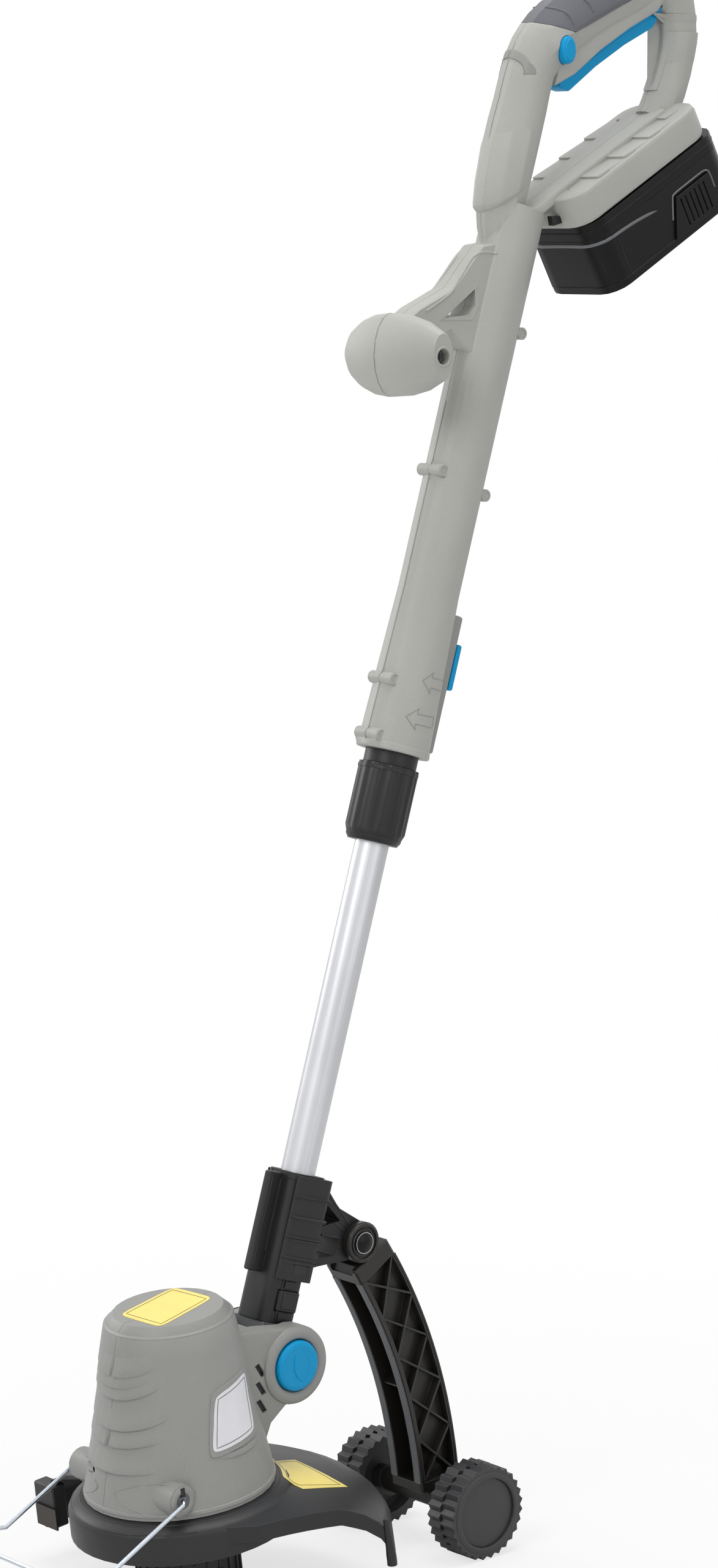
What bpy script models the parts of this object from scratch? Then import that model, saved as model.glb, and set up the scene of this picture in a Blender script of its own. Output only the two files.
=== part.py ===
"""Cordless string trimmer with a folding wheel support, as separate solids.

Metres, +Z up. The origin is the centre of the spool cap's bottom face. The trimmer is symmetric
about the plane X = 0, the wire guard points to -Y and the user stands at +Y.
"""

import math

import bmesh
import bpy
from mathutils import Matrix, Vector

MM = 0.001

# Clearances and walls
GAP = 0.3 * MM
FIT = 0.4 * MM
SHELL_WALL = 3.0 * MM
BORE_OPEN = 1.0 * MM
SPLIT_REACH = 1200.0 * MM
WELD = 0.004 * MM

# Attitude of the three main directions
POLE_LEAN = math.radians(16.8)
HEAD_TILT = math.radians(7.0)
RAIL_SLOPE = math.radians(29.5)

# Head, in a frame whose Z runs up the spool axis
CAP_RADIUS = 37.0 * MM
CAP_HEIGHT = 60.0 * MM
CAP_WALL = 2.5 * MM
CAP_RIBS = 24
CAP_RIB_DEPTH = 1.2 * MM
BUMP_RADIUS = 20.0 * MM
BUMP_RECESS = 3.0 * MM
CAP_FOOT_RIM = 7.0 * MM
CAP_HOLE_RADIUS = 3.0 * MM
SPOOL_RADIUS = 31.0 * MM
SPOOL_CORE = 15.0 * MM
SPOOL_FLANGE = 2.0 * MM
SPOOL_HEIGHT = 34.0 * MM
SPOOL_FLOOR = 8.0 * MM
LINE_RADIUS = 26.0 * MM
DRIVER_RADIUS = 33.0 * MM
DRIVER_DISC = 4.0 * MM
DRIVER_SPACE = 4.0 * MM
DRIVER_NECK = 11.0 * MM
SHAFT_RADIUS = 3.0 * MM
SHAFT_STUB = 3.0 * MM
HEAD_BASE = 86.0 * MM
HEAD_RADIUS = 68.0 * MM
HEAD_HEIGHT = 129.0 * MM
HEAD_TOP_RADIUS = 46.0 * MM
HEAD_TOP_BACK = 6.0 * MM
HEAD_TOP_CHAMFER = 7.0 * MM
MOTOR_RADIUS = 22.0 * MM
MOTOR_LENGTH = 67.0 * MM
MOTOR_BASE = 14.0 * MM
MOTOR_SEAT_RISE = 20.0 * MM
MOTOR_SEAT_THICK = 5.0 * MM
MOTOR_SEAT_REACH = 57.5 * MM
HEAD_SCREW_BACK = 49.0 * MM
HEAD_SCREW_DROP = 24.0 * MM
LOW_SCREW_FRONT = 56.3 * MM
LOW_SCREW_RISE = 24.5 * MM
NECK_FRONT = 30.0 * MM
NECK_SHOULDER = 62.0 * MM
NECK_RISE = 34.0 * MM
NECK_ROUNDING = 3.0 * MM

# Tilt hinge between head and sleeve
HUB_BACK = 87.0 * MM
HUB_HEIGHT = 154.0 * MM
HUB_RADIUS = 28.5 * MM
HUB_INNER_X = 20.0 * MM
HUB_OUTER_X = 33.0 * MM
KNUCKLE_RADIUS = 23.0 * MM
TILT_BUTTON_RADIUS = 18.5 * MM
TILT_BUTTON_DEPTH = 7.0 * MM
TILT_BUTTON_PROUD = 3.0 * MM
TILT_BUTTON_TRAVEL = 3.0 * MM
HINGE_PIN_RADIUS = 6.0 * MM
HINGE_END_WALL = 4.0 * MM
KNUCKLE_NECK_LOW = 8.0 * MM
KNUCKLE_NECK_IN = 2.0 * MM
VENT_COUNT = 3
VENT_PITCH = 13.0 * MM
VENT_DEPTH = 6.0 * MM

# Guard below the motor housing
GUARD_DISC_RADIUS = 80.0 * MM
GUARD_RIM_DEPTH = 28.0 * MM
GUARD_WALL = 3.0 * MM
GUARD_BORE = 36.0 * MM
GUARD_RADIUS = 146.0 * MM
GUARD_SHOULDER_DROP = 34.0 * MM
GUARD_SKIRT_BOTTOM = 22.0 * MM
GUARD_LIP = 12.0 * MM
GUARD_FAR_EDGE = -20.0 * MM
GUARD_DISC_EDGE = 9.0 * MM
GUARD_SCREW_X = 50.0 * MM
GUARD_SCREW_BACK = 30.0 * MM
GUARD_PILLAR_RADIUS = 6.0 * MM
GUARD_PILLAR_HEIGHT = 30.0 * MM
CUTTER_LENGTH = 24.0 * MM
CUTTER_WIDTH = 16.0 * MM
CUTTER_THICK = 1.4 * MM
CUTTER_BLOCK = 12.0 * MM

# Wire guard
WIRE_RADIUS = 1.6 * MM
WIRE_HINGE_X = 62.0 * MM
WIRE_HINGE_FRONT = 41.0 * MM
WIRE_HINGE_HEIGHT = HEAD_BASE + 15.0 * MM
WIRE_END_X = WIRE_HINGE_X - 9.0 * MM
WIRE_BEND_FRONT = 108.0 * MM
WIRE_BEND_HEIGHT = HEAD_BASE - 12.0 * MM
WIRE_FRONT = 146.0 * MM
WIRE_FRONT_HEIGHT = HEAD_BASE - 8.0 * MM
WIRE_FRONT_X = 88.0 * MM
WIRE_BEND = 3.0 * MM
LUG_RADIUS = 11.5 * MM
LUG_INNER_X = WIRE_HINGE_X - 26.0 * MM
LUG_OUTER_X = WIRE_HINGE_X - 4.0 * MM

# Shaft, in a frame at the tilt hinge whose Z runs up the pole
POLE_FORWARD = 8.0 * MM
TUBE_RADIUS = 12.5 * MM
TUBE_WALL = 1.4 * MM
TUBE_BOTTOM = 62.0 * MM
SLEEVE_HALF = 16.0 * MM
SLEEVE_BOTTOM = 25.0 * MM
SLEEVE_TOP = 132.0 * MM
FIN_BOTTOM = 58.0 * MM
FIN_DEPTH = 12.0 * MM
FIN_HALF = 3.5 * MM
SPIGOT_HALF = 9.0 * MM
SPIGOT_LENGTH = 26.0 * MM
SPIGOT_LOW = 10.0 * MM
SLEEVE_CORNER = 7.0 * MM
FIN_ROOT = 3.0 * MM
FIN_TOP_DROP = 2.0 * MM
SHROUD_BOTTOM = 440.0 * MM
TUBE_TOP = SHROUD_BOTTOM + 210.0 * MM
COLLAR_TOP = SHROUD_BOTTOM - 10.0 * MM
COLLAR_BOTTOM = COLLAR_TOP - 56.0 * MM
COLLAR_FLOOR = 4.0 * MM
COLLAR_RADIUS = 22.0 * MM
COLLAR_CHAMFER = 12.0 * MM
COLLAR_RIBS = 20
COLLAR_RIB_DEPTH = 1.0 * MM
COLLAR_BORE = 17.0 * MM
NECK_RADIUS = 16.4 * MM
NECK_BOTTOM = COLLAR_BOTTOM + 24.0 * MM
NECK_TOP = SHROUD_BOTTOM + 60.0 * MM
NECK_FLANGE_RADIUS = 18.6 * MM
NECK_FLANGE_BASE = SHROUD_BOTTOM + 44.0 * MM
NECK_FLANGE_HEIGHT = 5.0 * MM
NECK_STEP_RADIUS = 19.5 * MM
NECK_STEP_HEIGHT = 5.0 * MM
TUBE_END_ROOM = 5.0 * MM

# Upper housing
SHROUD_TOP = SHROUD_BOTTOM + 405.0 * MM
SHROUD_FLARE_TOP = SHROUD_BOTTOM + 120.0 * MM
SHROUD_HALF_X = 20.0 * MM
SHROUD_HALF_Y = 24.0 * MM
SHROUD_FLARE_X = 24.0 * MM
SHROUD_FLARE_Y = 28.0 * MM
BEARING_LENGTH = 40.0 * MM
LOOP_WIDTH_RATIO = 0.82
GRIP_COVER_THICK = 2.5 * MM
GRIP_COVER_START = -89.0 * MM
GRIP_COVER_END = 11.0 * MM
GRIP_COVER_LOW = -27.0 * MM
GRIP_COVER_HIGH = 17.0 * MM
GRIP_COVER_TOP = 62.0 * MM
GRIP_COVER_NOSE = 46.0 * MM
GRIP_COVER_STEP = 10.0 * MM
GRIP_COVER_TAIL = 14.0 * MM
BAND_HALF = 60.0 * MM
RAIL_ABOVE_SHROUD = 8.3 * MM
RAIL_BEHIND_POLE = 8.1 * MM
PLATFORM_FRONT = 5.0 * MM
PLATFORM_LENGTH = 150.0 * MM
PLATFORM_HALF = 38.0 * MM
PLATFORM_THICK = 25.0 * MM
PLATFORM_CORNER = 18.0 * MM
PLATFORM_EDGE = 4.0 * MM
SPINE_HALF = 17.0 * MM
SPINE_HEIGHT = 4.0 * MM
SLOT_FRONT = 24.0 * MM
SLOT_NECK_HALF = 22.0 * MM
SLOT_HEAD_HALF = 28.0 * MM
SLOT_NECK_DEPTH = 8.0 * MM
SLOT_HEAD_DEPTH = 8.0 * MM
SLOT_RUN_OUT = 18.0 * MM
KNOB_CENTRE_UP = SHROUD_TOP - 133.0 * MM
KNOB_FORWARD = 91.0 * MM
KNOB_HALF_LEFT = 48.0 * MM
KNOB_HALF_RIGHT = 66.0 * MM
KNOB_FACE = 55.0 * MM
KNOB_HALF_DEEP = 17.0 * MM
KNOB_HALF_TALL = 30.0 * MM
KNOB_WALL = 4.0 * MM
KNOB_BOSS_RADIUS = 7.0 * MM
KNOB_BOSS_END_GAP = 8.0 * MM
KNOB_FACE_GAP = 2.0 * MM
KNOB_SCREW_X = 20.0 * MM
KNOB_MOUTH_RADIUS = 5.6 * MM
KNOB_MOUTH_DEPTH = 7.0 * MM
ARM_HALF = 11.0 * MM
ARM_ROUNDING = 1.5 * MM
BOSS_RADIUS = 4.6 * MM
BOSS_HALF = 12.0 * MM
BOSS_PROUD = 1.0 * MM
SCREW_SEAT_X = 9.0 * MM
SCREW_SHANK = 1.6 * MM
SCREW_HEAD = 3.1 * MM
SCREW_HEAD_HEIGHT = 2.6 * MM
SCREW_LENGTH = 18.0 * MM

# Handle controls
TRIGGER_HALF = 8.0 * MM
TRIGGER_LIFT = 10.0 * MM
TRIGGER_SHOWN = 12.0 * MM
CHEEK_HALF = 14.0 * MM
CHEEK_ROUNDING = 2.5 * MM
TRIGGER_SWING = math.radians(5.5)
TRIGGER_ROUNDING = 2.0 * MM
TRIGGER_PIN_RADIUS = 2.5 * MM
TRIGGER_PIN_HALF = 11.5 * MM
PIN_BOSS_RADIUS = 6.0 * MM
PIN_BOSS_OUT = 12.5 * MM
PIN_BEHIND_RAIL = 113.0 * MM
PIN_ABOVE_RAIL = 150.0 * MM
SPRING_WIRE = 0.7 * MM
SPRING_COILS = 3
SPRING_STEPS = 10
SPRING_PITCH = 1.7 * MM
SPRING_ROOM_RADIUS = 5.4 * MM
SPRING_ROOM_HALF = 3.4 * MM
SWITCH_SIZE = (14.0 * MM, 24.0 * MM, 12.0 * MM)
SWITCH_FRONT = 45.0 * MM
SWITCH_LEAN = math.radians(24.0)
LOCK_BUTTON_FRONT = 98.0 * MM
LOCK_BUTTON_DROP = 40.0 * MM
LOCK_BUTTON_REACH = 40.0 * MM
LOOP_SIDE = 19.0 * MM
LOCK_BUTTON_HALF = 7.0 * MM
LOCK_BUTTON_TALL = 10.0 * MM
LOCK_BUTTON_PROUD = 3.5 * MM
LOCK_BUTTON_TRAVEL = 3.0 * MM
PLATE_HALF = 9.0 * MM
PLATE_PROUD = 7.0 * MM
PLATE_SUNK = 1.5 * MM
PLATE_ROOM = 60.0 * MM
PLATE_BOTTOM = SHROUD_BOTTOM + 6.0 * MM
PLATE_TOP = SHROUD_BOTTOM + 108.0 * MM
SLIDER_BOTTOM = SHROUD_BOTTOM + 54.0 * MM
SLIDER_SUNK = 3.0 * MM
SLIDER_LENGTH = 34.0 * MM
SLIDER_HALF = 6.0 * MM
SLIDER_TRAVEL = 8.0 * MM
SLIDER_CAP_RISE = 5.0 * MM
SLIDER_CAP_ROUNDING = 1.6 * MM

# Battery
BATTERY_FRONT = 10.0 * MM
BATTERY_LENGTH = 150.0 * MM
BATTERY_HALF = 38.0 * MM
BATTERY_HEIGHT = 56.0 * MM
BATTERY_LID = 12.0 * MM
BATTERY_CORNER = 17.0 * MM
BATTERY_WALL = 2.5 * MM
CELL_RADIUS = 9.1 * MM
CELL_LENGTH = 65.0 * MM
CELL_COUNT = 5
CELL_PITCH = 20.0 * MM
LATCH_LENGTH = 52.0 * MM
LATCH_HEIGHT = 28.0 * MM
LATCH_BACK = 82.0 * MM
LATCH_RISE = 5.0 * MM
LATCH_PROUD = 2.0 * MM
LATCH_TRAVEL = 3.0 * MM
LATCH_SLANT = 14.0 * MM
LATCH_GROOVES = 6
LATCH_GROOVE_START = 16.0 * MM
LATCH_GROOVE_PITCH = 5.3 * MM
LATCH_GROOVE_WIDTH = 2.0 * MM
LATCH_GROOVE_DEPTH = 1.0 * MM
LATCH_GROOVE_MARGIN = 3.0 * MM
LATCH_ROOM = 6.0 * MM
TERMINAL_LENGTH = 9.0 * MM
TERMINAL_SIDE_GAP = 2.0 * MM

# Wheel support
BRACKET_WALL = 3.5 * MM
BRACKET_BOTTOM = 57.0 * MM
BRACKET_TOP = 131.0 * MM
BRACKET_FRONT = 14.0 * MM
BRACKET_CORNER = 5.0 * MM
BRACKET_RIBS = 4
BRACKET_RIB_START = 12.0 * MM
BRACKET_RIB_PITCH = 15.5 * MM
BRACKET_RIB_THICK = 1.8 * MM
BRACKET_RIB_PROUD = 2.0 * MM
TONGUE_HALF = 11.5 * MM
PIVOT_UP = 92.0 * MM
PIVOT_BACK = 53.0 * MM
PIVOT_BOSS = 15.0 * MM
PIVOT_PIN = 5.0 * MM
PIVOT_CAP = 8.0 * MM
PUSH_UP = 41.5 * MM
PUSH_HEIGHT = 15.0 * MM
PUSH_WIDTH = 19.0 * MM
PUSH_DEPTH = 5.0 * MM
PUSH_TRAVEL = 2.0 * MM
PUSH_PROUD = 2.2 * MM
PUSH_BACK = 2.0 * MM
LEG_HALF = 17.0 * MM
LEG_FRONT_RADIUS = 381.0 * MM
LEG_DEPTH = 37.0 * MM
LEG_CHANNEL_HALF = 9.0 * MM
LEG_CHANNEL_DEPTH = 20.0 * MM
LEG_FLANGE = 4.0 * MM
LEG_BACK_WALL = 3.5 * MM
LEG_POCKET_DEPTH = 9.0 * MM
LEG_RIBS = 5
LEG_RIB_THICK = 1.6 * MM
LEG_POCKET_START = 0.12
LEG_POCKET_END = 0.93
LEG_WEB_IN = 2.0 * MM
EAR_GAP = 1.5 * MM
CAP_PROUD = 2.2 * MM
BORE_REACH = 80.0 * MM
WHEEL_RADIUS = 35.0 * MM
WHEEL_OUTER_X = 67.5 * MM
WHEEL_WIDTH = 27.0 * MM
WHEEL_LOBES = 28
WHEEL_LOBE_DEPTH = 2.6 * MM
WHEEL_GROOVE = 2.0 * MM
WHEEL_DISH = 2.0 * MM
WHEEL_RIM = 9.0 * MM
WHEEL_CAVITY_RIM = 8.0 * MM
WHEEL_CAVITY_DEPTH = 12.0 * MM
WHEEL_CORE_IN = 1.0 * MM
AXLE_END_WALL = 7.0 * MM
AXLE_BACK = 221.5 * MM
AXLE_RADIUS = 4.0 * MM
AXLE_TUBE_RADIUS = 9.0 * MM

GROUND = -CAP_RADIUS * math.sin(HEAD_TILT)
AXLE_HEIGHT = GROUND + WHEEL_RADIUS

PARTS = "string_trimmer"
CUTTERS = "cutters"


# Scene, frames and materials

def clear_scene():
    """Removes what the scene held and makes the two collections."""
    for old in list(bpy.data.objects):
        bpy.data.objects.remove(old, do_unlink=True)
    for name in (PARTS, CUTTERS):
        group = bpy.data.collections.new(name)
        bpy.context.scene.collection.children.link(group)


def frame(name, location, tilt, parent=None):
    """An empty that carries pieces; tilt is its turn about X."""
    empty = bpy.data.objects.new(name, None)
    bpy.context.scene.collection.objects.link(empty)
    empty.parent = parent
    empty.location = location
    empty.rotation_euler = (tilt, 0.0, 0.0)
    bpy.context.view_layer.update()
    return empty


def finish(name, colour, roughness, metallic=0.0):
    """A plain material of one colour."""
    material = bpy.data.materials.new(name)
    material.use_nodes = True
    shader = material.node_tree.nodes["Principled BSDF"]
    shader.inputs["Base Color"].default_value = (*colour, 1.0)
    shader.inputs["Roughness"].default_value = roughness
    shader.inputs["Metallic"].default_value = metallic
    return material


# Shapes. Each returns a mesh object in the cutters' collection, with its mesh in the frame's axes.

def shape_object(name, mesh, base):
    """Links a mesh as a hidden working shape under a frame."""
    shape = bpy.data.objects.new(name, mesh)
    bpy.data.collections[CUTTERS].objects.link(shape)
    shape.parent = base
    shape.hide_render = True
    shape.display_type = "WIRE"
    return shape


def from_bmesh(name, bm, base):
    """Turns a bmesh into a working shape."""
    mesh = bpy.data.meshes.new(name)
    bmesh.ops.recalc_face_normals(bm, faces=bm.faces)
    bm.to_mesh(mesh)
    bm.free()
    return shape_object(name, mesh, base)


def box(base, low, high):
    """A box between two corners."""
    bm = bmesh.new()
    size = [b - a for a, b in zip(low, high)]
    centre = [(a + b) / 2 for a, b in zip(low, high)]
    matrix = Matrix.Translation(centre) @ Matrix.Diagonal((*size, 1.0))
    bmesh.ops.create_cube(bm, size=1.0, matrix=matrix)
    return from_bmesh("box", bm, base)


def rod(base, radius, x0, x1, y, z, segments=24, end_radius=None):
    """A cylinder or cone along X."""
    bm = bmesh.new()
    turn = Matrix.Rotation(math.pi / 2, 4, "Y")
    matrix = Matrix.Translation(((x0 + x1) / 2, y, z)) @ turn
    bmesh.ops.create_cone(bm, cap_ends=True, segments=segments, radius1=radius,
                          radius2=radius if end_radius is None else end_radius,
                          depth=x1 - x0, matrix=matrix)
    return from_bmesh("rod", bm, base)


def post(base, radius, z0, z1, x=0.0, y=0.0, segments=32):
    """A cylinder along the frame's Z."""
    bm = bmesh.new()
    matrix = Matrix.Translation((x, y, (z0 + z1) / 2))
    bmesh.ops.create_cone(bm, cap_ends=True, segments=segments, radius1=radius,
                          radius2=radius, depth=z1 - z0, matrix=matrix)
    return from_bmesh("post", bm, base)


def oval_post(base, bottom, top, z0, z1, y=0.0, segments=28):
    """An upright cone with an oval section: bottom and top are (half X, half Y)."""
    bm = bmesh.new()
    bmesh.ops.create_cone(bm, cap_ends=True, segments=segments, radius1=1.0, radius2=1.0, depth=1.0)
    for vert in bm.verts:
        half = bottom if vert.co.z < 0 else top
        height = z0 if vert.co.z < 0 else z1
        vert.co = Vector((vert.co.x * half[0], y + vert.co.y * half[1], height))
    return from_bmesh("oval", bm, base)


def turned(base, profile, segments=48, x=0.0, y=0.0):
    """A solid of revolution about Z from a closed profile of (radius, height) points."""
    mesh = bpy.data.meshes.new("profile")
    points = [(radius, 0.0, height) for radius, height in profile]
    last = len(points) - 1
    edges = [(i, i + 1) for i in range(last)]
    if profile[0][0] > 0:
        edges.append((last, 0))
    mesh.from_pydata(points, edges, [])
    shape = shape_object("turned", mesh, base)
    screw = shape.modifiers.new("turn", "SCREW")
    screw.steps = segments
    screw.render_steps = segments
    screw.use_merge_vertices = True
    screw.merge_threshold = 0.00001
    bake(shape)
    shape.data.transform(Matrix.Translation((x, y, 0.0)))
    tidy(shape)
    return shape


def extruded(base, outline, x0, x1, holes=()):
    """A flat outline of (y, z) points made thick along X, with any holes."""
    curve = bpy.data.curves.new("outline", "CURVE")
    curve.dimensions = "2D"
    curve.fill_mode = "BOTH"
    curve.extrude = (x1 - x0) / 2
    for ring in (outline, *holes):
        spline = curve.splines.new("POLY")
        spline.points.add(len(ring) - 1)
        for point, (y, z) in zip(spline.points, ring):
            point.co = (y, z, 0.0, 1.0)
        spline.use_cyclic_u = True
    shape = curve_to_mesh(curve, base)
    stand = Matrix(((0, 0, 1, 0), (1, 0, 0, 0), (0, 1, 0, 0), (0, 0, 0, 1)))
    shape.data.transform(Matrix.Translation(((x0 + x1) / 2, 0.0, 0.0)) @ stand)
    return shape


def flat_plate(base, outline, z0, z1):
    """A flat outline of (x, y) points made thick along Z."""
    curve = bpy.data.curves.new("plate", "CURVE")
    curve.dimensions = "2D"
    curve.fill_mode = "BOTH"
    curve.extrude = (z1 - z0) / 2
    spline = curve.splines.new("POLY")
    spline.points.add(len(outline) - 1)
    for point, (x, y) in zip(spline.points, outline):
        point.co = (x, y, 0.0, 1.0)
    spline.use_cyclic_u = True
    shape = curve_to_mesh(curve, base)
    shape.data.transform(Matrix.Translation((0.0, 0.0, (z0 + z1) / 2)))
    return shape


def tube(base, points, radii, resolution=4, closed=False):
    """A round bar along points, with a radius at each point."""
    curve = bpy.data.curves.new("tube", "CURVE")
    curve.dimensions = "3D"
    curve.bevel_depth = 1.0
    curve.bevel_resolution = resolution
    curve.use_fill_caps = True
    spline = curve.splines.new("POLY")
    spline.points.add(len(points) - 1)
    for point, place, radius in zip(spline.points, points, radii):
        point.co = (*place, 1.0)
        point.radius = radius
    spline.use_cyclic_u = closed
    return curve_to_mesh(curve, base)


def curve_to_mesh(curve, base):
    """Replaces a curve by its mesh, with the caps welded on."""
    holder = bpy.data.objects.new("curve", curve)
    bpy.context.scene.collection.objects.link(holder)
    bpy.context.view_layer.update()
    graph = bpy.context.evaluated_depsgraph_get()
    mesh = bpy.data.meshes.new_from_object(holder.evaluated_get(graph))
    bpy.data.objects.remove(holder, do_unlink=True)
    shape = shape_object("shape", mesh, base)
    tidy(shape)
    if curve.dimensions == "2D":
        merge_flats(shape)
    return shape


def ball(base, radii_low, radii_high, centre, rings, segments):
    """An egg: radii_low counts below the centre on each axis, radii_high above it."""
    bm = bmesh.new()
    bmesh.ops.create_uvsphere(bm, u_segments=segments, v_segments=rings, radius=1.0,
                              matrix=Matrix.Rotation(math.pi / 2, 4, "Y"))
    for vert in bm.verts:
        for axis in range(3):
            half = radii_low[axis] if vert.co[axis] < 0 else radii_high[axis]
            vert.co[axis] = centre[axis] + vert.co[axis] * half
    return from_bmesh("ball", bm, base)


def tidy(shape, turn_out=True):
    """Welds doubled points and turns the faces out."""
    bm = bmesh.new()
    bm.from_mesh(shape.data)
    bmesh.ops.remove_doubles(bm, verts=bm.verts, dist=WELD)
    bmesh.ops.dissolve_degenerate(bm, edges=bm.edges, dist=WELD)
    if turn_out:
        bmesh.ops.recalc_face_normals(bm, faces=bm.faces)
    bm.to_mesh(shape.data)
    bm.free()


def merge_flats(shape):
    """Makes one face of each flat side."""
    bm = bmesh.new()
    bm.from_mesh(shape.data)
    bmesh.ops.dissolve_limit(bm, angle_limit=math.radians(0.1), verts=bm.verts, edges=bm.edges)
    bm.to_mesh(shape.data)
    bm.free()


def bake(shape):
    """Applies a mesh object's modifiers."""
    bpy.context.view_layer.update()
    graph = bpy.context.evaluated_depsgraph_get()
    mesh = bpy.data.meshes.new_from_object(shape.evaluated_get(graph))
    shape.modifiers.clear()
    shape.data = mesh


def combine(target, tool, operation, crossing=False):
    """Applies a Boolean of tool to target and removes tool; crossing allows for folds in the target."""
    modifier = target.modifiers.new(operation.lower(), "BOOLEAN")
    modifier.operation = operation
    modifier.solver = "EXACT"
    modifier.use_self = crossing
    modifier.object = tool
    bake(target)
    bpy.data.objects.remove(tool, do_unlink=True)
    tidy(target, turn_out=False)
    return target


def join(target, *tools):
    """Unites shapes."""
    for tool in tools:
        combine(target, tool, "UNION")
    return target


def cut(target, *tools):
    """Takes shapes away."""
    for tool in tools:
        combine(target, tool, "DIFFERENCE")
    return target


def keep(target, tool):
    """Keeps what two shapes share."""
    return combine(target, tool, "INTERSECT")


def copy_of(shape):
    """A second working shape with its own mesh."""
    return shape_object("copy", shape.data.copy(), shape.parent)


def soften(shape, width, segments=2, angle=40.0):
    """Rounds the sharp edges."""
    bevel = shape.modifiers.new("soften", "BEVEL")
    bevel.width = width
    bevel.segments = segments
    bevel.limit_method = "ANGLE"
    bevel.angle_limit = math.radians(angle)
    bake(shape)
    tidy(shape)
    return shape


def part(name, shape, material):
    """Makes a working shape a named piece of the trimmer."""
    shape.name = name
    shape.data.name = name
    bpy.data.collections[CUTTERS].objects.unlink(shape)
    bpy.data.collections[PARTS].objects.link(shape)
    shape.hide_render = False
    shape.display_type = "TEXTURED"
    shape.data.materials.clear()
    shape.data.materials.append(material)
    shape.data.shade_smooth()
    shape.data.set_sharp_from_angle(angle=math.radians(35.0))
    return shape


def arc_points(centre, radius, start, end, count):
    """Points along an arc, angles in degrees."""
    angles = [math.radians(start + (end - start) * i / (count - 1)) for i in range(count)]
    return [(centre[0] + radius * math.cos(a), centre[1] + radius * math.sin(a)) for a in angles]


def grown_outline(points, distance):
    """Moves a counter-clockwise outline out by a distance."""
    count = len(points)
    grown = []
    for i in range(count):
        before = Vector(points[i - 1])
        here = Vector(points[i])
        after = Vector(points[(i + 1) % count])
        first = (here - before).normalized()
        second = (after - here).normalized()
        out = (Vector((first.y, -first.x)) + Vector((second.y, -second.x))).normalized()
        grown.append(tuple(here + out * distance / max(0.5, out.dot(Vector((first.y, -first.x))))))
    return grown


def lobed_points(radius, depth, lobes, start, per_lobe=2):
    """A ring of rounded lobes."""
    count = lobes * per_lobe
    points = []
    for i in range(count):
        angle = 2 * math.pi * i / count
        swell = radius - depth / 2 + depth / 2 * math.cos(lobes * angle + start)
        points.append((swell * math.cos(angle), swell * math.sin(angle)))
    return points


def smooth_path(points, steps):
    """A Catmull-Rom curve through points of any dimension."""
    ends = [points[0], *points, points[-1]]
    path = []
    for i in range(1, len(ends) - 2):
        a, b, c, d = (Vector(ends[j]) for j in (i - 1, i, i + 1, i + 2))
        for k in range(steps):
            t = k / steps
            path.append(0.5 * (2 * b + (c - a) * t + (2 * a - 5 * b + 4 * c - d) * t * t
                               + (3 * b - a - 3 * c + d) * t ** 3))
    path.append(Vector(points[-1]))
    return path


def screw(base, name, x_head, y, z, material, towards=1.0):
    """A pan-head screw along X; its head is at x_head and its shank points towards +X or -X."""
    shank_end = x_head + towards * SCREW_LENGTH
    head_end = x_head + towards * SCREW_HEAD_HEIGHT
    head = rod(base, SCREW_HEAD, min(x_head, head_end), max(x_head, head_end), y, z, 10)
    shank = rod(base, SCREW_SHANK, min(x_head, shank_end), max(x_head, shank_end), y, z, 8)
    return part(name, join(head, shank), material)


def screw_hole(base, x_head, y, z, mouth, towards=1.0):
    """The hole for a screw: a wide mouth for its head and a narrow one for its shank."""
    shank_end = x_head + towards * (SCREW_LENGTH + GAP)
    seat = x_head + towards * (SCREW_HEAD_HEIGHT + GAP)
    wide = rod(base, SCREW_HEAD + 2 * GAP, min(mouth, seat), max(mouth, seat), y, z, 10)
    narrow = rod(base, SCREW_SHANK + 2 * GAP, min(x_head, shank_end), max(x_head, shank_end), y, z, 8)
    return join(wide, narrow)


# Upper housing

def pole_point(up, back, x=0.0):
    """World place of a point given along and across the pole from the tilt hinge."""
    y = hub_back() + up * math.sin(POLE_LEAN) + back * math.cos(POLE_LEAN)
    z = hub_height() + up * math.cos(POLE_LEAN) - back * math.sin(POLE_LEAN)
    return (x, y, z)


def hub_back():
    """World Y of the tilt hinge."""
    return HUB_BACK * math.cos(HEAD_TILT) - HUB_HEIGHT * math.sin(HEAD_TILT)


def hub_height():
    """World Z of the tilt hinge."""
    return HUB_BACK * math.sin(HEAD_TILT) + HUB_HEIGHT * math.cos(HEAD_TILT)


def rail_origin():
    """World place of the battery rail's front end."""
    return pole_point(SHROUD_TOP + RAIL_ABOVE_SHROUD, RAIL_BEHIND_POLE)


def pin_point(back=0.0, up=0.0):
    """World (y, z) of a point given from the trigger's pin."""
    origin = rail_origin()
    return (origin[1] + PIN_BEHIND_RAIL + back, origin[2] + PIN_ABOVE_RAIL + up)


def loop_path():
    """The D-handle's centre line, each point as (y, z, half depth)."""
    column = [(-37, -15, 11.0), (-19, -20, 17.0), (7, -23.5, 21.0), (39, -25.5, 23.0), (70, -25, 22.5),
              (100, -24.5, 22.0)]
    bar = [(-106, -38, 23.5), (-89, -24, 24.0), (-59, -9, 23.0), (-27, 4, 22.5), (-1, 14, 21.5),
           (21, 8, 20.0), (31, -13, 17.5), (31, -37, 17.0)]
    strut = [(135, 85, 17.0), (123, 61, 17.0)]
    points = []
    for up, back, half in column:
        place = pole_point(SHROUD_TOP + up * MM, back * MM)
        points.append((place[1], place[2], half * MM))
    points += [(*pin_point(back * MM, up * MM), half * MM) for back, up, half in bar]
    origin = rail_origin()
    points += [(origin[1] + back * MM, origin[2] + up * MM, half * MM) for back, up, half in strut]
    return points


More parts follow.
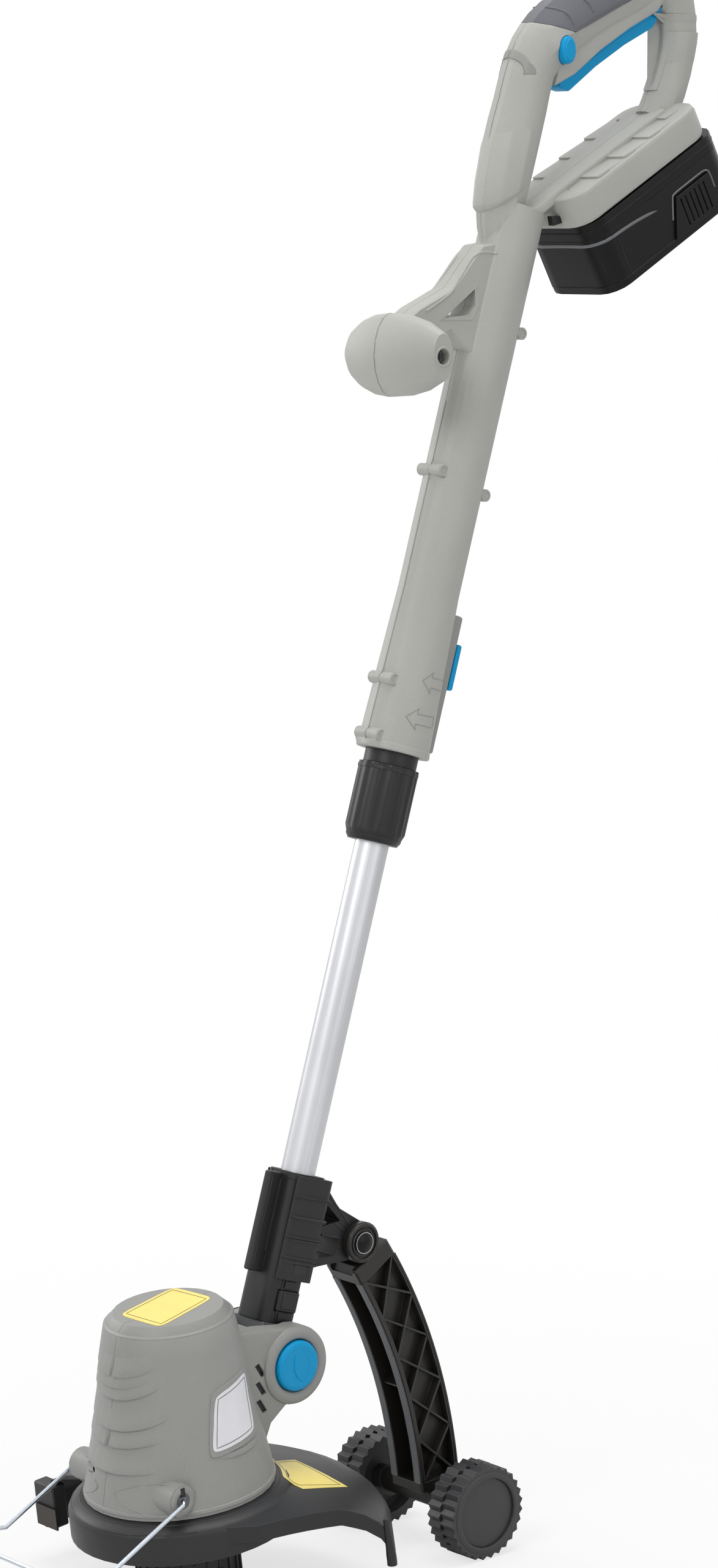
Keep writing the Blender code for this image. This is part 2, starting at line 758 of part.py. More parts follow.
def loop_solid(world, inset):
    """The D-handle's bar as a swept oval, drawn in by inset."""
    path = smooth_path(loop_path(), 2)
    points = [(0.0, p[0], p[1]) for p in path]
    radii = [p[2] - inset for p in path]
    solid = tube(world, points, radii, 1 if inset > 0 else 3)
    solid.data.transform(Matrix.Diagonal((LOOP_WIDTH_RATIO, 1.0, 1.0, 1.0)))
    return solid


def shroud_solid(pole, inset):
    """The tapered oval shroud round the shaft, drawn in by inset."""
    flare = (SHROUD_FLARE_X - inset, SHROUD_FLARE_Y - inset)
    plain = (SHROUD_HALF_X - inset, SHROUD_HALF_Y - inset)
    bottom = SHROUD_BOTTOM + (BEARING_LENGTH if inset > 0 else 0.0)
    lower = oval_post(pole, flare, plain, bottom, SHROUD_FLARE_TOP, -POLE_FORWARD)
    upper = oval_post(pole, plain, plain, SHROUD_FLARE_TOP - GAP, SHROUD_TOP - inset, -POLE_FORWARD)
    return join(lower, upper)


def platform_solid(rail):
    """The battery platform with its T-shaped slot and the spine on top."""
    back = PLATFORM_FRONT + PLATFORM_LENGTH
    plate = box(rail, (-PLATFORM_HALF, PLATFORM_FRONT, -PLATFORM_THICK), (PLATFORM_HALF, back, 0.0))
    soften_uprights(plate, PLATFORM_CORNER, 4)
    soften(plate, PLATFORM_EDGE, 2)
    spine = box(rail, (-SPINE_HALF, -PLATFORM_CORNER, -SPINE_HEIGHT),
                (SPINE_HALF, back - PLATFORM_CORNER, SPINE_HEIGHT))
    soften(spine, SPINE_HEIGHT / 2, 2)
    return join(plate, spine)


def slot_cutter(rail):
    """The T-shaped slot that takes the battery's head, open at the back past the strut's foot."""
    back = PLATFORM_FRONT + PLATFORM_LENGTH + SLOT_RUN_OUT
    neck_top = -PLATFORM_THICK + SLOT_NECK_DEPTH
    neck = box(rail, (-SLOT_NECK_HALF, SLOT_FRONT, -PLATFORM_THICK - BORE_OPEN),
               (SLOT_NECK_HALF, back, neck_top + BORE_OPEN))
    head = box(rail, (-SLOT_HEAD_HALF, SLOT_FRONT, neck_top),
               (SLOT_HEAD_HALF, back, neck_top + SLOT_HEAD_DEPTH))
    return join(neck, head)


def arm_solid(pole):
    """The flat arm that carries the knob, with its triangular window."""
    outline = [(67, 103), (51, 96), (41, 75), (33, 59), (6, 36), (-9, 18), (-5, -7), (11, -6),
               (25, 16), (40, 29), (54, 22), (71, 16), (77, 48)]
    window = [(53, 64), (57, 53), (54, 45), (31, 36)]
    arm = extruded(pole, from_knob(outline), -ARM_HALF, ARM_HALF)
    soften(arm, ARM_ROUNDING, 1)
    return cut(arm, extruded(pole, from_knob(window), -2 * ARM_HALF, 2 * ARM_HALF))


def from_knob(points):
    """Points given in millimetres from the knob's centre, in the pole's frame."""
    return [(back * MM - KNOB_FORWARD, up * MM + KNOB_CENTRE_UP) for back, up in points]


def knob_solid(world, inset):
    """The oval knob, longer on its right, where it ends in a flat face."""
    centre = pole_point(KNOB_CENTRE_UP, -KNOB_FORWARD)
    low = (KNOB_HALF_LEFT - inset, KNOB_HALF_DEEP - inset, KNOB_HALF_TALL - inset)
    high = (KNOB_HALF_RIGHT - inset, KNOB_HALF_DEEP - inset, KNOB_HALF_TALL - inset)
    rings, segments = (6, 10) if inset > 0 else (10, 18)
    knob = ball(world, low, high, centre, rings, segments)
    reach = KNOB_HALF_RIGHT + KNOB_HALF_LEFT
    block = box(world, (KNOB_FACE - inset, centre[1] - reach, centre[2] - reach),
                (reach, centre[1] + reach, centre[2] + reach))
    return cut(knob, block)


def boss_places():
    """Each housing screw as (up the pole, back of the pole line)."""
    front = -POLE_FORWARD - SHROUD_HALF_Y
    rear = -POLE_FORWARD + SHROUD_HALF_Y - BOSS_PROUD
    places = [(9, front - BOSS_PROUD), (50, front), (204, front + 2 * BOSS_PROUD), (197, rear), (318, rear)]
    return [(SHROUD_BOTTOM + up * MM, back) for up, back in places]


def grip_band(world, grown):
    """The space of the grip cover: the upper part of the bar between its two ends."""
    front = GRIP_COVER_START - grown
    back = GRIP_COVER_END + grown
    nose = front - GRIP_COVER_NOSE
    outline = [pin_point(front, GRIP_COVER_LOW - grown), pin_point(back, GRIP_COVER_HIGH - grown),
               pin_point(back + GRIP_COVER_TAIL, GRIP_COVER_TOP), pin_point(nose, GRIP_COVER_TOP),
               pin_point(nose, GRIP_COVER_LOW + GRIP_COVER_STEP - grown)]
    return extruded(world, outline, -BAND_HALF, BAND_HALF)


def housing(world, pole, rail, light, screw_steel):
    """Both housing shells, split at the middle plane, and their screws."""
    outer = shroud_solid(pole, 0.0)
    join(outer, loop_solid(world, 0.0), platform_solid(rail), arm_solid(pole), knob_solid(world, 0.0))
    join(outer, trigger_cheeks(world))
    hollow = join(shroud_solid(pole, SHELL_WALL), loop_solid(world, SHELL_WALL))
    cut(outer, hollow, knob_solid(world, KNOB_WALL), slot_cutter(rail))
    add_inner_supports(outer, world, pole)
    cut_openings(outer, world, pole)
    split_shell(outer, pole, ("housing_left", "housing_right"), SPLIT_REACH, light, False)
    add_housing_screws(world, pole, screw_steel)


def add_inner_supports(outer, world, pole):
    """Bosses in the hollow that the screws, the trigger pin and the knob screw go into."""
    for up, back in boss_places():
        join(outer, rod(pole, BOSS_RADIUS, -BOSS_HALF, BOSS_HALF, back, up, 12))
    knob = pole_point(KNOB_CENTRE_UP, -KNOB_FORWARD)
    knob_ends = (KNOB_BOSS_END_GAP - KNOB_HALF_LEFT, KNOB_FACE - KNOB_FACE_GAP)
    join(outer, rod(world, KNOB_BOSS_RADIUS, *knob_ends, knob[1], knob[2], 16))
    for side in (-1.0, 1.0):
        ends = sorted((side * (TRIGGER_HALF + FIT / 2), side * PIN_BOSS_OUT))
        join(outer, rod(world, PIN_BOSS_RADIUS, *ends, *pin_point(), 12))


def cut_openings(outer, world, pole):
    """The shaft's bore and the places of the controls."""
    axis_y = -POLE_FORWARD
    low = SHROUD_BOTTOM - BORE_OPEN
    bore = post(pole, NECK_RADIUS + FIT, low, NECK_TOP + BORE_OPEN, 0.0, axis_y)
    flange_top = NECK_FLANGE_BASE + NECK_FLANGE_HEIGHT + FIT
    flange = post(pole, NECK_FLANGE_RADIUS + FIT, NECK_FLANGE_BASE - FIT, flange_top, 0.0, axis_y)
    step_top = SHROUD_BOTTOM + NECK_STEP_HEIGHT + BORE_OPEN
    step = post(pole, NECK_STEP_RADIUS + FIT, low, step_top, 0.0, axis_y)
    shaft_room = post(pole, TUBE_RADIUS + 2 * FIT, NECK_TOP, TUBE_TOP + TUBE_END_ROOM, 0.0, axis_y)
    cut(outer, join(bore, flange, step), shaft_room)
    cut(outer, trigger_room(world))
    pin_room = TRIGGER_PIN_HALF + GAP
    cut(outer, rod(world, TRIGGER_PIN_RADIUS + GAP, -pin_room, pin_room, *pin_point(), 12))
    cut(outer, lock_button_shape(world, FIT, 0.0, LOCK_BUTTON_REACH))
    cut(outer, plate_room(pole))
    band = grip_band(world, GAP)
    core = loop_solid(world, GRIP_COVER_THICK + GAP)
    cut(outer, cut(band, core))
    knob = pole_point(KNOB_CENTRE_UP, -KNOB_FORWARD)
    cut(outer, screw_hole(world, KNOB_SCREW_X, knob[1], knob[2], KNOB_FACE + BORE_OPEN, -1.0))
    mouth = (KNOB_FACE - KNOB_MOUTH_DEPTH, KNOB_FACE + BORE_OPEN)
    cut(outer, rod(world, KNOB_MOUTH_RADIUS, *mouth, knob[1], knob[2], 24))
    for up, back in boss_places():
        cut(outer, screw_hole(pole, -SCREW_SEAT_X, back, up, -BOSS_HALF - BORE_OPEN))


def split_shell(shell, base, names, reach, material, crossing):
    """Cuts a shell at the middle plane into a left and a right one."""
    for name, side in zip(names, (-1.0, 1.0)):
        ends = sorted((side * GAP / 2, -side * reach))
        room = box(base, (ends[0], -reach, -reach), (ends[1], reach, reach))
        part(name, combine(copy_of(shell), room, "DIFFERENCE", crossing), material)
    bpy.data.objects.remove(shell, do_unlink=True)


def add_housing_screws(world, pole, screw_steel):
    """The screws that hold the shells and the knob together."""
    for index, (up, back) in enumerate(boss_places(), 1):
        screw(pole, "housing_screw_%d" % index, -SCREW_SEAT_X, back, up, screw_steel)
    knob = pole_point(KNOB_CENTRE_UP, -KNOB_FORWARD)
    screw(world, "knob_screw", KNOB_SCREW_X, knob[1], knob[2], screw_steel, -1.0)


def grip_cover(world, soft):
    """The soft cover on top of the bar."""
    cover = keep(loop_solid(world, 0.0), grip_band(world, 0.0))
    cut(cover, loop_solid(world, GRIP_COVER_THICK))
    part("grip_cover", cover, soft)


# Handle controls

def trigger_edges():
    """The trigger's lower and upper edge in world (y, z), from its nose to its tail and back."""
    lower = [(-97, -58), (-93, -67), (-84, -69), (-58, -51), (-28, -34), (0, -21), (10, -9)]
    upper = [(6, 8), (-4, 10), (-31, -14), (-59, -29), (-85, -44), (-96, -54)]
    return ([pin_point(back * MM, up * MM) for back, up in lower],
            [pin_point(back * MM, up * MM) for back, up in upper])


def trigger_room(world):
    """The room that the trigger swings in: from its lower edge at rest to its upper edge when pulled."""
    lower, upper = trigger_edges()
    roof = [(y, z + TRIGGER_LIFT) for y, z in swung(upper)]
    outline = lower[1:] + roof + swung(lower[:2])
    half = TRIGGER_HALF + FIT
    return extruded(world, grown_outline(outline, FIT), -half, half)


def trigger_cheeks(world):
    """The deeper part of the bar whose two sides cover the trigger but for its lower edge."""
    rows = [(y, z + TRIGGER_SHOWN) for y, z in trigger_edges()[0][2:]]
    course = [(12, 10), (-28, 4), (-60, -9), (-98, -34), (-104, -66)]
    bar = [pin_point(back * MM, up * MM) for back, up in course]
    cheeks = extruded(world, rows + bar, -CHEEK_HALF, CHEEK_HALF)
    soften(cheeks, CHEEK_ROUNDING, 2)
    return cheeks


def swung(points):
    """Points of the trigger in (y, z), turned round its pin as far as it can be pulled."""
    pin = Vector(pin_point())
    turn = Matrix.Rotation(-TRIGGER_SWING, 2)
    return [tuple(pin + turn @ (Vector(point) - pin)) for point in points]


def lock_button_shape(world, grown, x0, x1):
    """The oval lock-off button along X."""
    button = oval_post(world, (LOCK_BUTTON_HALF + grown, LOCK_BUTTON_TALL + grown),
                       (LOCK_BUTTON_HALF + grown, LOCK_BUTTON_TALL + grown), x0, x1, 0.0, 24)
    turn = Matrix.Rotation(math.pi / 2, 4, "Y") @ Matrix.Rotation(math.pi / 2, 4, "Z")
    place = Matrix.Translation((0.0, *pin_point(-LOCK_BUTTON_FRONT, -LOCK_BUTTON_DROP)))
    button.data.transform(place @ turn)
    return button


def controls(world, pole, blue, steel, black, grey):
    """Trigger with its pin and spring, switch, lock-off button and rotation lock."""
    lower, upper = trigger_edges()
    trigger = extruded(world, lower + upper, -TRIGGER_HALF, TRIGGER_HALF)
    soften(trigger, TRIGGER_ROUNDING, 2)
    cut(trigger, rod(world, TRIGGER_PIN_RADIUS + GAP, -BORE_REACH, BORE_REACH, *pin_point(), 16))
    cut(trigger, rod(world, SPRING_ROOM_RADIUS, -SPRING_ROOM_HALF, SPRING_ROOM_HALF, *pin_point(), 16))
    hinge = frame("trigger_axis", (0.0, *pin_point()), 0.0)
    rehang(part("trigger", trigger, blue), hinge)
    pin = rod(world, TRIGGER_PIN_RADIUS, -TRIGGER_PIN_HALF, TRIGGER_PIN_HALF, *pin_point(), 12)
    part("trigger_pin", pin, steel)
    part("trigger_spring", spring_coil(world), steel)
    switch_body(black)
    face = LOOP_SIDE + LOCK_BUTTON_PROUD
    button = lock_button_shape(world, 0.0, TRIGGER_HALF + LOCK_BUTTON_TRAVEL + FIT, face)
    soften(button, TRIGGER_ROUNDING, 2)
    part("lock_off_button", button, blue)
    rotation_lock(pole, grey, blue)


def rehang(shape, base):
    """Moves a piece under another frame and keeps its place."""
    bpy.context.view_layer.update()
    world_place = shape.matrix_world.copy()
    shape.parent = base
    shape.matrix_world = world_place
    return shape


def spring_coil(world):
    """The trigger's return spring, a few turns of wire round its pin."""
    radius = TRIGGER_PIN_RADIUS + SPRING_WIRE + 2 * GAP
    points = []
    for i in range(SPRING_COILS * SPRING_STEPS + 1):
        angle = 2 * math.pi * i / SPRING_STEPS
        x = (i / SPRING_STEPS - SPRING_COILS / 2) * SPRING_PITCH
        points.append((x, *pin_point(radius * math.cos(angle), radius * math.sin(angle))))
    return tube(world, points, [SPRING_WIRE] * len(points), 1)


def switch_body(black):
    """The switch inside the bar, above the trigger."""
    width, length, height = SWITCH_SIZE
    seat = frame("switch_frame", (0.0, *pin_point(-SWITCH_FRONT)), SWITCH_LEAN)
    switch = box(seat, (-width / 2, -length / 2, -height / 4), (width / 2, length / 2, height * 3 / 4))
    soften(switch, 0.8 * MM, 1)
    part("switch", switch, black)


def plate_room(pole):
    """The pocket at the back of the shroud for the rotation-lock plate."""
    back = SHROUD_HALF_Y - POLE_FORWARD
    return box(pole, (-PLATE_HALF - GAP, back - PLATE_SUNK - GAP, PLATE_BOTTOM - GAP),
               (PLATE_HALF + GAP, back + PLATE_ROOM, PLATE_TOP + GAP))


def rotation_lock(pole, grey, blue):
    """The plate at the back of the shroud and the slide that frees the shaft's turn."""
    back = SHROUD_HALF_Y - POLE_FORWARD
    face = back + PLATE_PROUD
    floor = face - SLIDER_SUNK
    top = SLIDER_BOTTOM + SLIDER_LENGTH
    plate = box(pole, (-PLATE_HALF, back - PLATE_SUNK, PLATE_BOTTOM), (PLATE_HALF, face, PLATE_TOP))
    soften(plate, 2.0 * MM, 2)
    groove = box(pole, (-SLIDER_HALF - GAP, floor - GAP, SLIDER_BOTTOM - SLIDER_TRAVEL - GAP),
                 (SLIDER_HALF + GAP, face + BORE_OPEN, top + GAP))
    part("lock_plate", cut(plate, groove), grey)
    slider = box(pole, (-SLIDER_HALF, floor, SLIDER_BOTTOM), (SLIDER_HALF, face + SLIDER_CAP_RISE / 2, top))
    cap = box(pole, (-PLATE_HALF, face + GAP, SLIDER_BOTTOM), (PLATE_HALF, face + SLIDER_CAP_RISE, top))
    soften(cap, SLIDER_CAP_ROUNDING, 2)
    part("lock_slider", join(slider, cap), blue)


# Battery

def battery(rail, black, dark, steel, cell_wrap):
    """The battery pack that slides off its rails, and the terminal block in the platform."""
    pack = frame("battery_frame", (0.0, 0.0, 0.0), 0.0, rail)
    top = -PLATFORM_THICK - GAP
    split = top - BATTERY_LID
    front = BATTERY_FRONT
    back = BATTERY_FRONT + BATTERY_LENGTH
    low = top - BATTERY_HEIGHT
    case = box(pack, (-BATTERY_HALF, front, low), (BATTERY_HALF, back, split - GAP / 2))
    soften_uprights(case, BATTERY_CORNER, 4)
    wall = BATTERY_WALL
    inner = box(pack, (-BATTERY_HALF + wall, front + wall, low + wall),
                (BATTERY_HALF - wall, back - wall, split + BORE_OPEN))
    cut(case, soften_uprights(inner, BATTERY_CORNER - wall, 3))
    for side in (-1.0, 1.0):
        cut(case, latch_room(pack, side))
    part("battery_case", case, black)
    part("battery_lid", battery_lid(pack, top, split, front, back), dark)
    for name, side in (("latch_button_left", -1.0), ("latch_button_right", 1.0)):
        part(name, latch_shape(pack, side), black)
    for index in range(CELL_COUNT):
        y = front + BATTERY_LENGTH / 2 + (index - (CELL_COUNT - 1) / 2) * CELL_PITCH
        z = low + wall + GAP + CELL_RADIUS
        cell = rod(pack, CELL_RADIUS, -CELL_LENGTH / 2, CELL_LENGTH / 2, y, z, 16)
        part("cell_%d" % (index + 1), cell, cell_wrap)
    half = SLOT_NECK_HALF - TERMINAL_SIDE_GAP
    floor = -PLATFORM_THICK + SLOT_NECK_DEPTH
    block = box(rail, (-half, SLOT_FRONT + GAP, floor),
                (half, SLOT_FRONT + TERMINAL_LENGTH, floor + SLOT_HEAD_DEPTH - GAP))
    part("terminal_block", block, steel)


def soften_uprights(shape, radius, segments):
    """Rounds the four edges of a box that run along Z."""
    bm = bmesh.new()
    bm.from_mesh(shape.data)
    uprights = [e for e in bm.edges
                if abs(e.verts[0].co.x - e.verts[1].co.x) < GAP / 2
                and abs(e.verts[0].co.y - e.verts[1].co.y) < GAP / 2]
    bmesh.ops.bevel(bm, geom=uprights, offset=radius, segments=segments, affect="EDGES", profile=0.5)
    bm.to_mesh(shape.data)
    bm.free()
    return shape


def battery_lid(pack, top, split, front, back):
    """The upper part of the pack with the T-shaped head that runs in the slot."""
    lid = box(pack, (-BATTERY_HALF, front, split + GAP / 2), (BATTERY_HALF, back, top))
    soften_uprights(lid, BATTERY_CORNER, 4)
    wall = BATTERY_WALL
    pocket = box(pack, (-BATTERY_HALF + wall, front + wall, split - BORE_OPEN),
                 (BATTERY_HALF - wall, back - wall, top - wall))
    cut(lid, soften_uprights(pocket, BATTERY_CORNER - wall, 3))
    start = SLOT_FRONT + TERMINAL_LENGTH + GAP
    neck_top = -PLATFORM_THICK + SLOT_NECK_DEPTH
    neck = box(pack, (-SLOT_NECK_HALF + GAP, start, top - BORE_OPEN),
               (SLOT_NECK_HALF - GAP, back - BATTERY_CORNER, neck_top + BORE_OPEN))
    head = box(pack, (-SLOT_HEAD_HALF + GAP, start, neck_top + GAP),
               (SLOT_HEAD_HALF - GAP, back - BATTERY_CORNER, neck_top + SLOT_HEAD_DEPTH - GAP))
    return join(lid, neck, head)


def latch_low():
    """Height of the latch buttons' lower edge in the rail's frame."""
    return -PLATFORM_THICK - GAP - BATTERY_HEIGHT + LATCH_RISE


def latch_outline(grown):
    """The latch button's outline, with one slanted end."""
    low = latch_low()
    high = low + LATCH_HEIGHT
    end = LATCH_BACK + LATCH_LENGTH + grown
    return [(LATCH_BACK - grown, low - grown), (end, low - grown), (end, high + grown),
            (LATCH_BACK + LATCH_SLANT - grown, high + grown)]


def latch_room(pack, side):
    """The opening in the case for a latch button."""
    ends = sorted((side * (BATTERY_HALF - LATCH_ROOM), side * (BATTERY_HALF + LATCH_ROOM)))
    return extruded(pack, latch_outline(FIT), *ends)


def latch_shape(pack, side):
    """A ribbed latch button in the side of the pack."""
    face = BATTERY_HALF + LATCH_PROUD
    ends = sorted((side * (CELL_LENGTH / 2 + LATCH_TRAVEL + GAP), side * face))
    button = extruded(pack, latch_outline(0.0), *ends)
    low = latch_low() + LATCH_GROOVE_MARGIN
    high = latch_low() + LATCH_HEIGHT - LATCH_GROOVE_MARGIN
    sides = sorted((side * (face - LATCH_GROOVE_DEPTH), side * (face + LATCH_GROOVE_DEPTH)))
    for i in range(LATCH_GROOVES):
        y = LATCH_BACK + LATCH_GROOVE_START + i * LATCH_GROOVE_PITCH
        cut(button, box(pack, (sides[0], y, low), (sides[1], y + LATCH_GROOVE_WIDTH, high)))
    return button


# Shaft

def shaft(turn_axis, pole, black, steel, alloy):
    """Neck, collar, clamp ring, inner tube and sleeve."""
    flange_top = NECK_FLANGE_BASE + NECK_FLANGE_HEIGHT
    step_top = SHROUD_BOTTOM + NECK_STEP_HEIGHT
    neck_profile = [(TUBE_RADIUS + FIT, NECK_BOTTOM), (TUBE_RADIUS + FIT, NECK_TOP), (NECK_RADIUS, NECK_TOP),
                    (NECK_RADIUS, flange_top), (NECK_FLANGE_RADIUS, flange_top),
                    (NECK_FLANGE_RADIUS, NECK_FLANGE_BASE), (NECK_RADIUS, NECK_FLANGE_BASE),
                    (NECK_RADIUS, step_top), (NECK_STEP_RADIUS, step_top),
                    (NECK_STEP_RADIUS, COLLAR_TOP + GAP), (COLLAR_BORE - GAP, COLLAR_TOP + GAP),
                    (COLLAR_BORE - GAP, NECK_BOTTOM)]
    part("shaft_neck", turned(turn_axis, neck_profile, 24), black)
    part("collar_nut", collar_nut(turn_axis), black)
    clamp_bottom = COLLAR_BOTTOM + COLLAR_FLOOR
    clamp_profile = [(TUBE_RADIUS + GAP, clamp_bottom), (TUBE_RADIUS + GAP, NECK_BOTTOM - GAP),
                     (COLLAR_BORE - GAP, NECK_BOTTOM - GAP), (COLLAR_BORE - GAP, clamp_bottom)]
    part("clamp_ring", turned(turn_axis, clamp_profile, 24), steel)
    tube_profile = [(TUBE_RADIUS - TUBE_WALL, TUBE_BOTTOM), (TUBE_RADIUS - TUBE_WALL, TUBE_TOP),
                    (TUBE_RADIUS, TUBE_TOP), (TUBE_RADIUS, TUBE_BOTTOM)]
    part("inner_tube", turned(turn_axis, tube_profile, 32), alloy)
    part("lower_sleeve", lower_sleeve(pole), black)


def collar_nut(turn_axis):
    """The ribbed twist collar with its chamfered lower end."""
    outline = lobed_points(COLLAR_RADIUS, COLLAR_RIB_DEPTH, COLLAR_RIBS, 0.0, 3)
    nut = flat_plate(turn_axis, outline, COLLAR_BOTTOM, COLLAR_TOP)
    inner = COLLAR_RADIUS - COLLAR_CHAMFER / 3
    outer = COLLAR_RADIUS + BORE_OPEN
    far = COLLAR_RADIUS + COLLAR_CHAMFER
    chamfer = turned(turn_axis, [(inner, COLLAR_BOTTOM - BORE_OPEN), (outer, COLLAR_BOTTOM + COLLAR_CHAMFER),
                                 (far, COLLAR_BOTTOM + COLLAR_CHAMFER), (far, COLLAR_BOTTOM - BORE_OPEN)], 40)
    lower_bore = post(turn_axis, TUBE_RADIUS + FIT, COLLAR_BOTTOM - BORE_OPEN, COLLAR_TOP + BORE_OPEN)
    upper_bore = post(turn_axis, COLLAR_BORE, COLLAR_BOTTOM + COLLAR_FLOOR - GAP, COLLAR_TOP + BORE_OPEN)
    return cut(nut, chamfer, lower_bore, upper_bore)


def lower_sleeve(pole):
    """The sleeve at the tube's lower end, with its front fin and the socket for the knuckle."""
    axis_y = -POLE_FORWARD
    front = axis_y - SLEEVE_HALF
    body = box(pole, (-SLEEVE_HALF, front, SLEEVE_BOTTOM), (SLEEVE_HALF, axis_y + SLEEVE_HALF, SLEEVE_TOP))
    soften_uprights(body, SLEEVE_CORNER, 3)
    fin_top = SLEEVE_TOP - FIN_TOP_DROP
    fin = box(pole, (-FIN_HALF, front - FIN_DEPTH, FIN_BOTTOM), (FIN_HALF, front + FIN_ROOT, fin_top))
    soften(fin, FIN_ROOT / 2, 2)
    join(body, fin)
    cut(body, post(pole, TUBE_RADIUS + GAP, TUBE_BOTTOM - GAP, SLEEVE_TOP + BORE_OPEN, 0.0, axis_y))
    socket = box(pole, (-SPIGOT_HALF - GAP, axis_y - SPIGOT_HALF - GAP, SLEEVE_BOTTOM - BORE_OPEN),
                 (SPIGOT_HALF + GAP, axis_y + SPIGOT_HALF + GAP, SLEEVE_BOTTOM + SPIGOT_LENGTH + GAP))
    cut(body, socket, push_room(pole))
    return body


def push_room(pole):
    """The pocket in the sleeve's side for the push button."""
    half = PUSH_WIDTH / 2 + FIT
    tall = PUSH_HEIGHT / 2 + FIT
    middle = PUSH_BACK - POLE_FORWARD
    return box(pole, (SLEEVE_HALF - PUSH_DEPTH - GAP, middle - half, PUSH_UP - tall),
               (2 * SLEEVE_HALF, middle + half, PUSH_UP + tall))


# Head

def head_profile(inset):
    """Outer or inner profile of the motor housing, before it leans back."""
    top = HEAD_BASE + HEAD_HEIGHT - inset
    base = HEAD_BASE - (BORE_OPEN if inset > 0 else 0.0)
    chamfer = HEAD_TOP_CHAMFER
    swell = HEAD_RADIUS - HEAD_TOP_RADIUS
    curve = [(0.14, 0.83), (0.41, 0.51), (0.68, 0.28), (0.93, 0.08)]
    points = [(0.0, top), (HEAD_TOP_RADIUS - chamfer - inset * 0.6, top),
              (HEAD_TOP_RADIUS - inset, top - chamfer)]
    for share, height in curve:
        points.append((HEAD_TOP_RADIUS + share * swell - inset, HEAD_BASE + height * HEAD_HEIGHT))
    return points + [(HEAD_RADIUS - inset, base), (0.0, base)]


def head_shell(head, inset):
    """The motor housing's cone, leaning back towards its top."""
    shell = turned(head, head_profile(inset), 36)
    lean = Matrix.Identity(4)
    lean[1][2] = HEAD_TOP_BACK / HEAD_HEIGHT
    lean[1][3] = -HEAD_BASE * HEAD_TOP_BACK / HEAD_HEIGHT
    shell.data.transform(lean)
    return shell


def head_neck_outline():
    """Side outline of the neck that joins the motor housing to the hinge."""
    hub = arc_points((HUB_BACK, HUB_HEIGHT), HUB_RADIUS, 95.0, -110.0, 18)
    above = [(NECK_FRONT, HUB_HEIGHT + NECK_RISE + 6.0 * MM), (NECK_SHOULDER, HUB_HEIGHT + NECK_RISE)]
    foot = HEAD_BASE + MOTOR_BASE
    below = [(NECK_SHOULDER, HUB_HEIGHT - NECK_RISE - 2.0 * MM), (NECK_SHOULDER - 10.0 * MM, foot),
             (NECK_FRONT, foot)]
    return above + hub + below


def motor_housing(head, grey, steel):
    """Both motor housing shells with their hinge ears, lugs and screws."""
    shell = head_shell(head, 0.0)
    neck = extruded(head, head_neck_outline(), -HUB_OUTER_X, HUB_OUTER_X)
    soften(neck, NECK_ROUNDING, 2)
    join(shell, neck)
    for side in (-1.0, 1.0):
        ends = sorted((side * LUG_INNER_X, side * LUG_OUTER_X))
        join(shell, rod(head, LUG_RADIUS, *ends, -WIRE_HINGE_FRONT, WIRE_HINGE_HEIGHT, 20))
    cut(shell, head_shell(head, SHELL_WALL))
    pillar = (HEAD_BASE + GAP, HEAD_BASE + GUARD_PILLAR_HEIGHT)
    for side in (-1.0, 1.0):
        join(shell, post(head, GUARD_PILLAR_RADIUS, *pillar, side * GUARD_SCREW_X, GUARD_SCREW_BACK, 16))
    join(shell, motor_seat(head))
    for y, z in head_screw_places():
        join(shell, rod(head, BOSS_RADIUS, -BOSS_HALF, BOSS_HALF, y, z, 12))
    cut_head(shell, head)
    split_shell(shell, head, ("motor_housing_left", "motor_housing_right"), SPLIT_REACH / 4, grey, True)
    for index, (y, z) in enumerate(head_screw_places(), 1):
        screw(head, "head_screw_%d" % index, -SCREW_SEAT_X, y, z, steel)


def motor_seat(head):
    """The ring inside the housing that holds the motor."""
    low = HEAD_BASE + MOTOR_BASE + MOTOR_SEAT_RISE
    high = low + MOTOR_SEAT_THICK
    inner = MOTOR_RADIUS + GAP
    return turned(head, [(inner, low), (inner, high), (MOTOR_SEAT_REACH, high), (MOTOR_SEAT_REACH, low)], 32)


def head_screw_places():
    """Screws of the motor housing, as (back, height)."""
    return [(HEAD_SCREW_BACK, HEAD_BASE + HEAD_HEIGHT - HEAD_SCREW_DROP),
            (-LOW_SCREW_FRONT, HEAD_BASE + LOW_SCREW_RISE)]


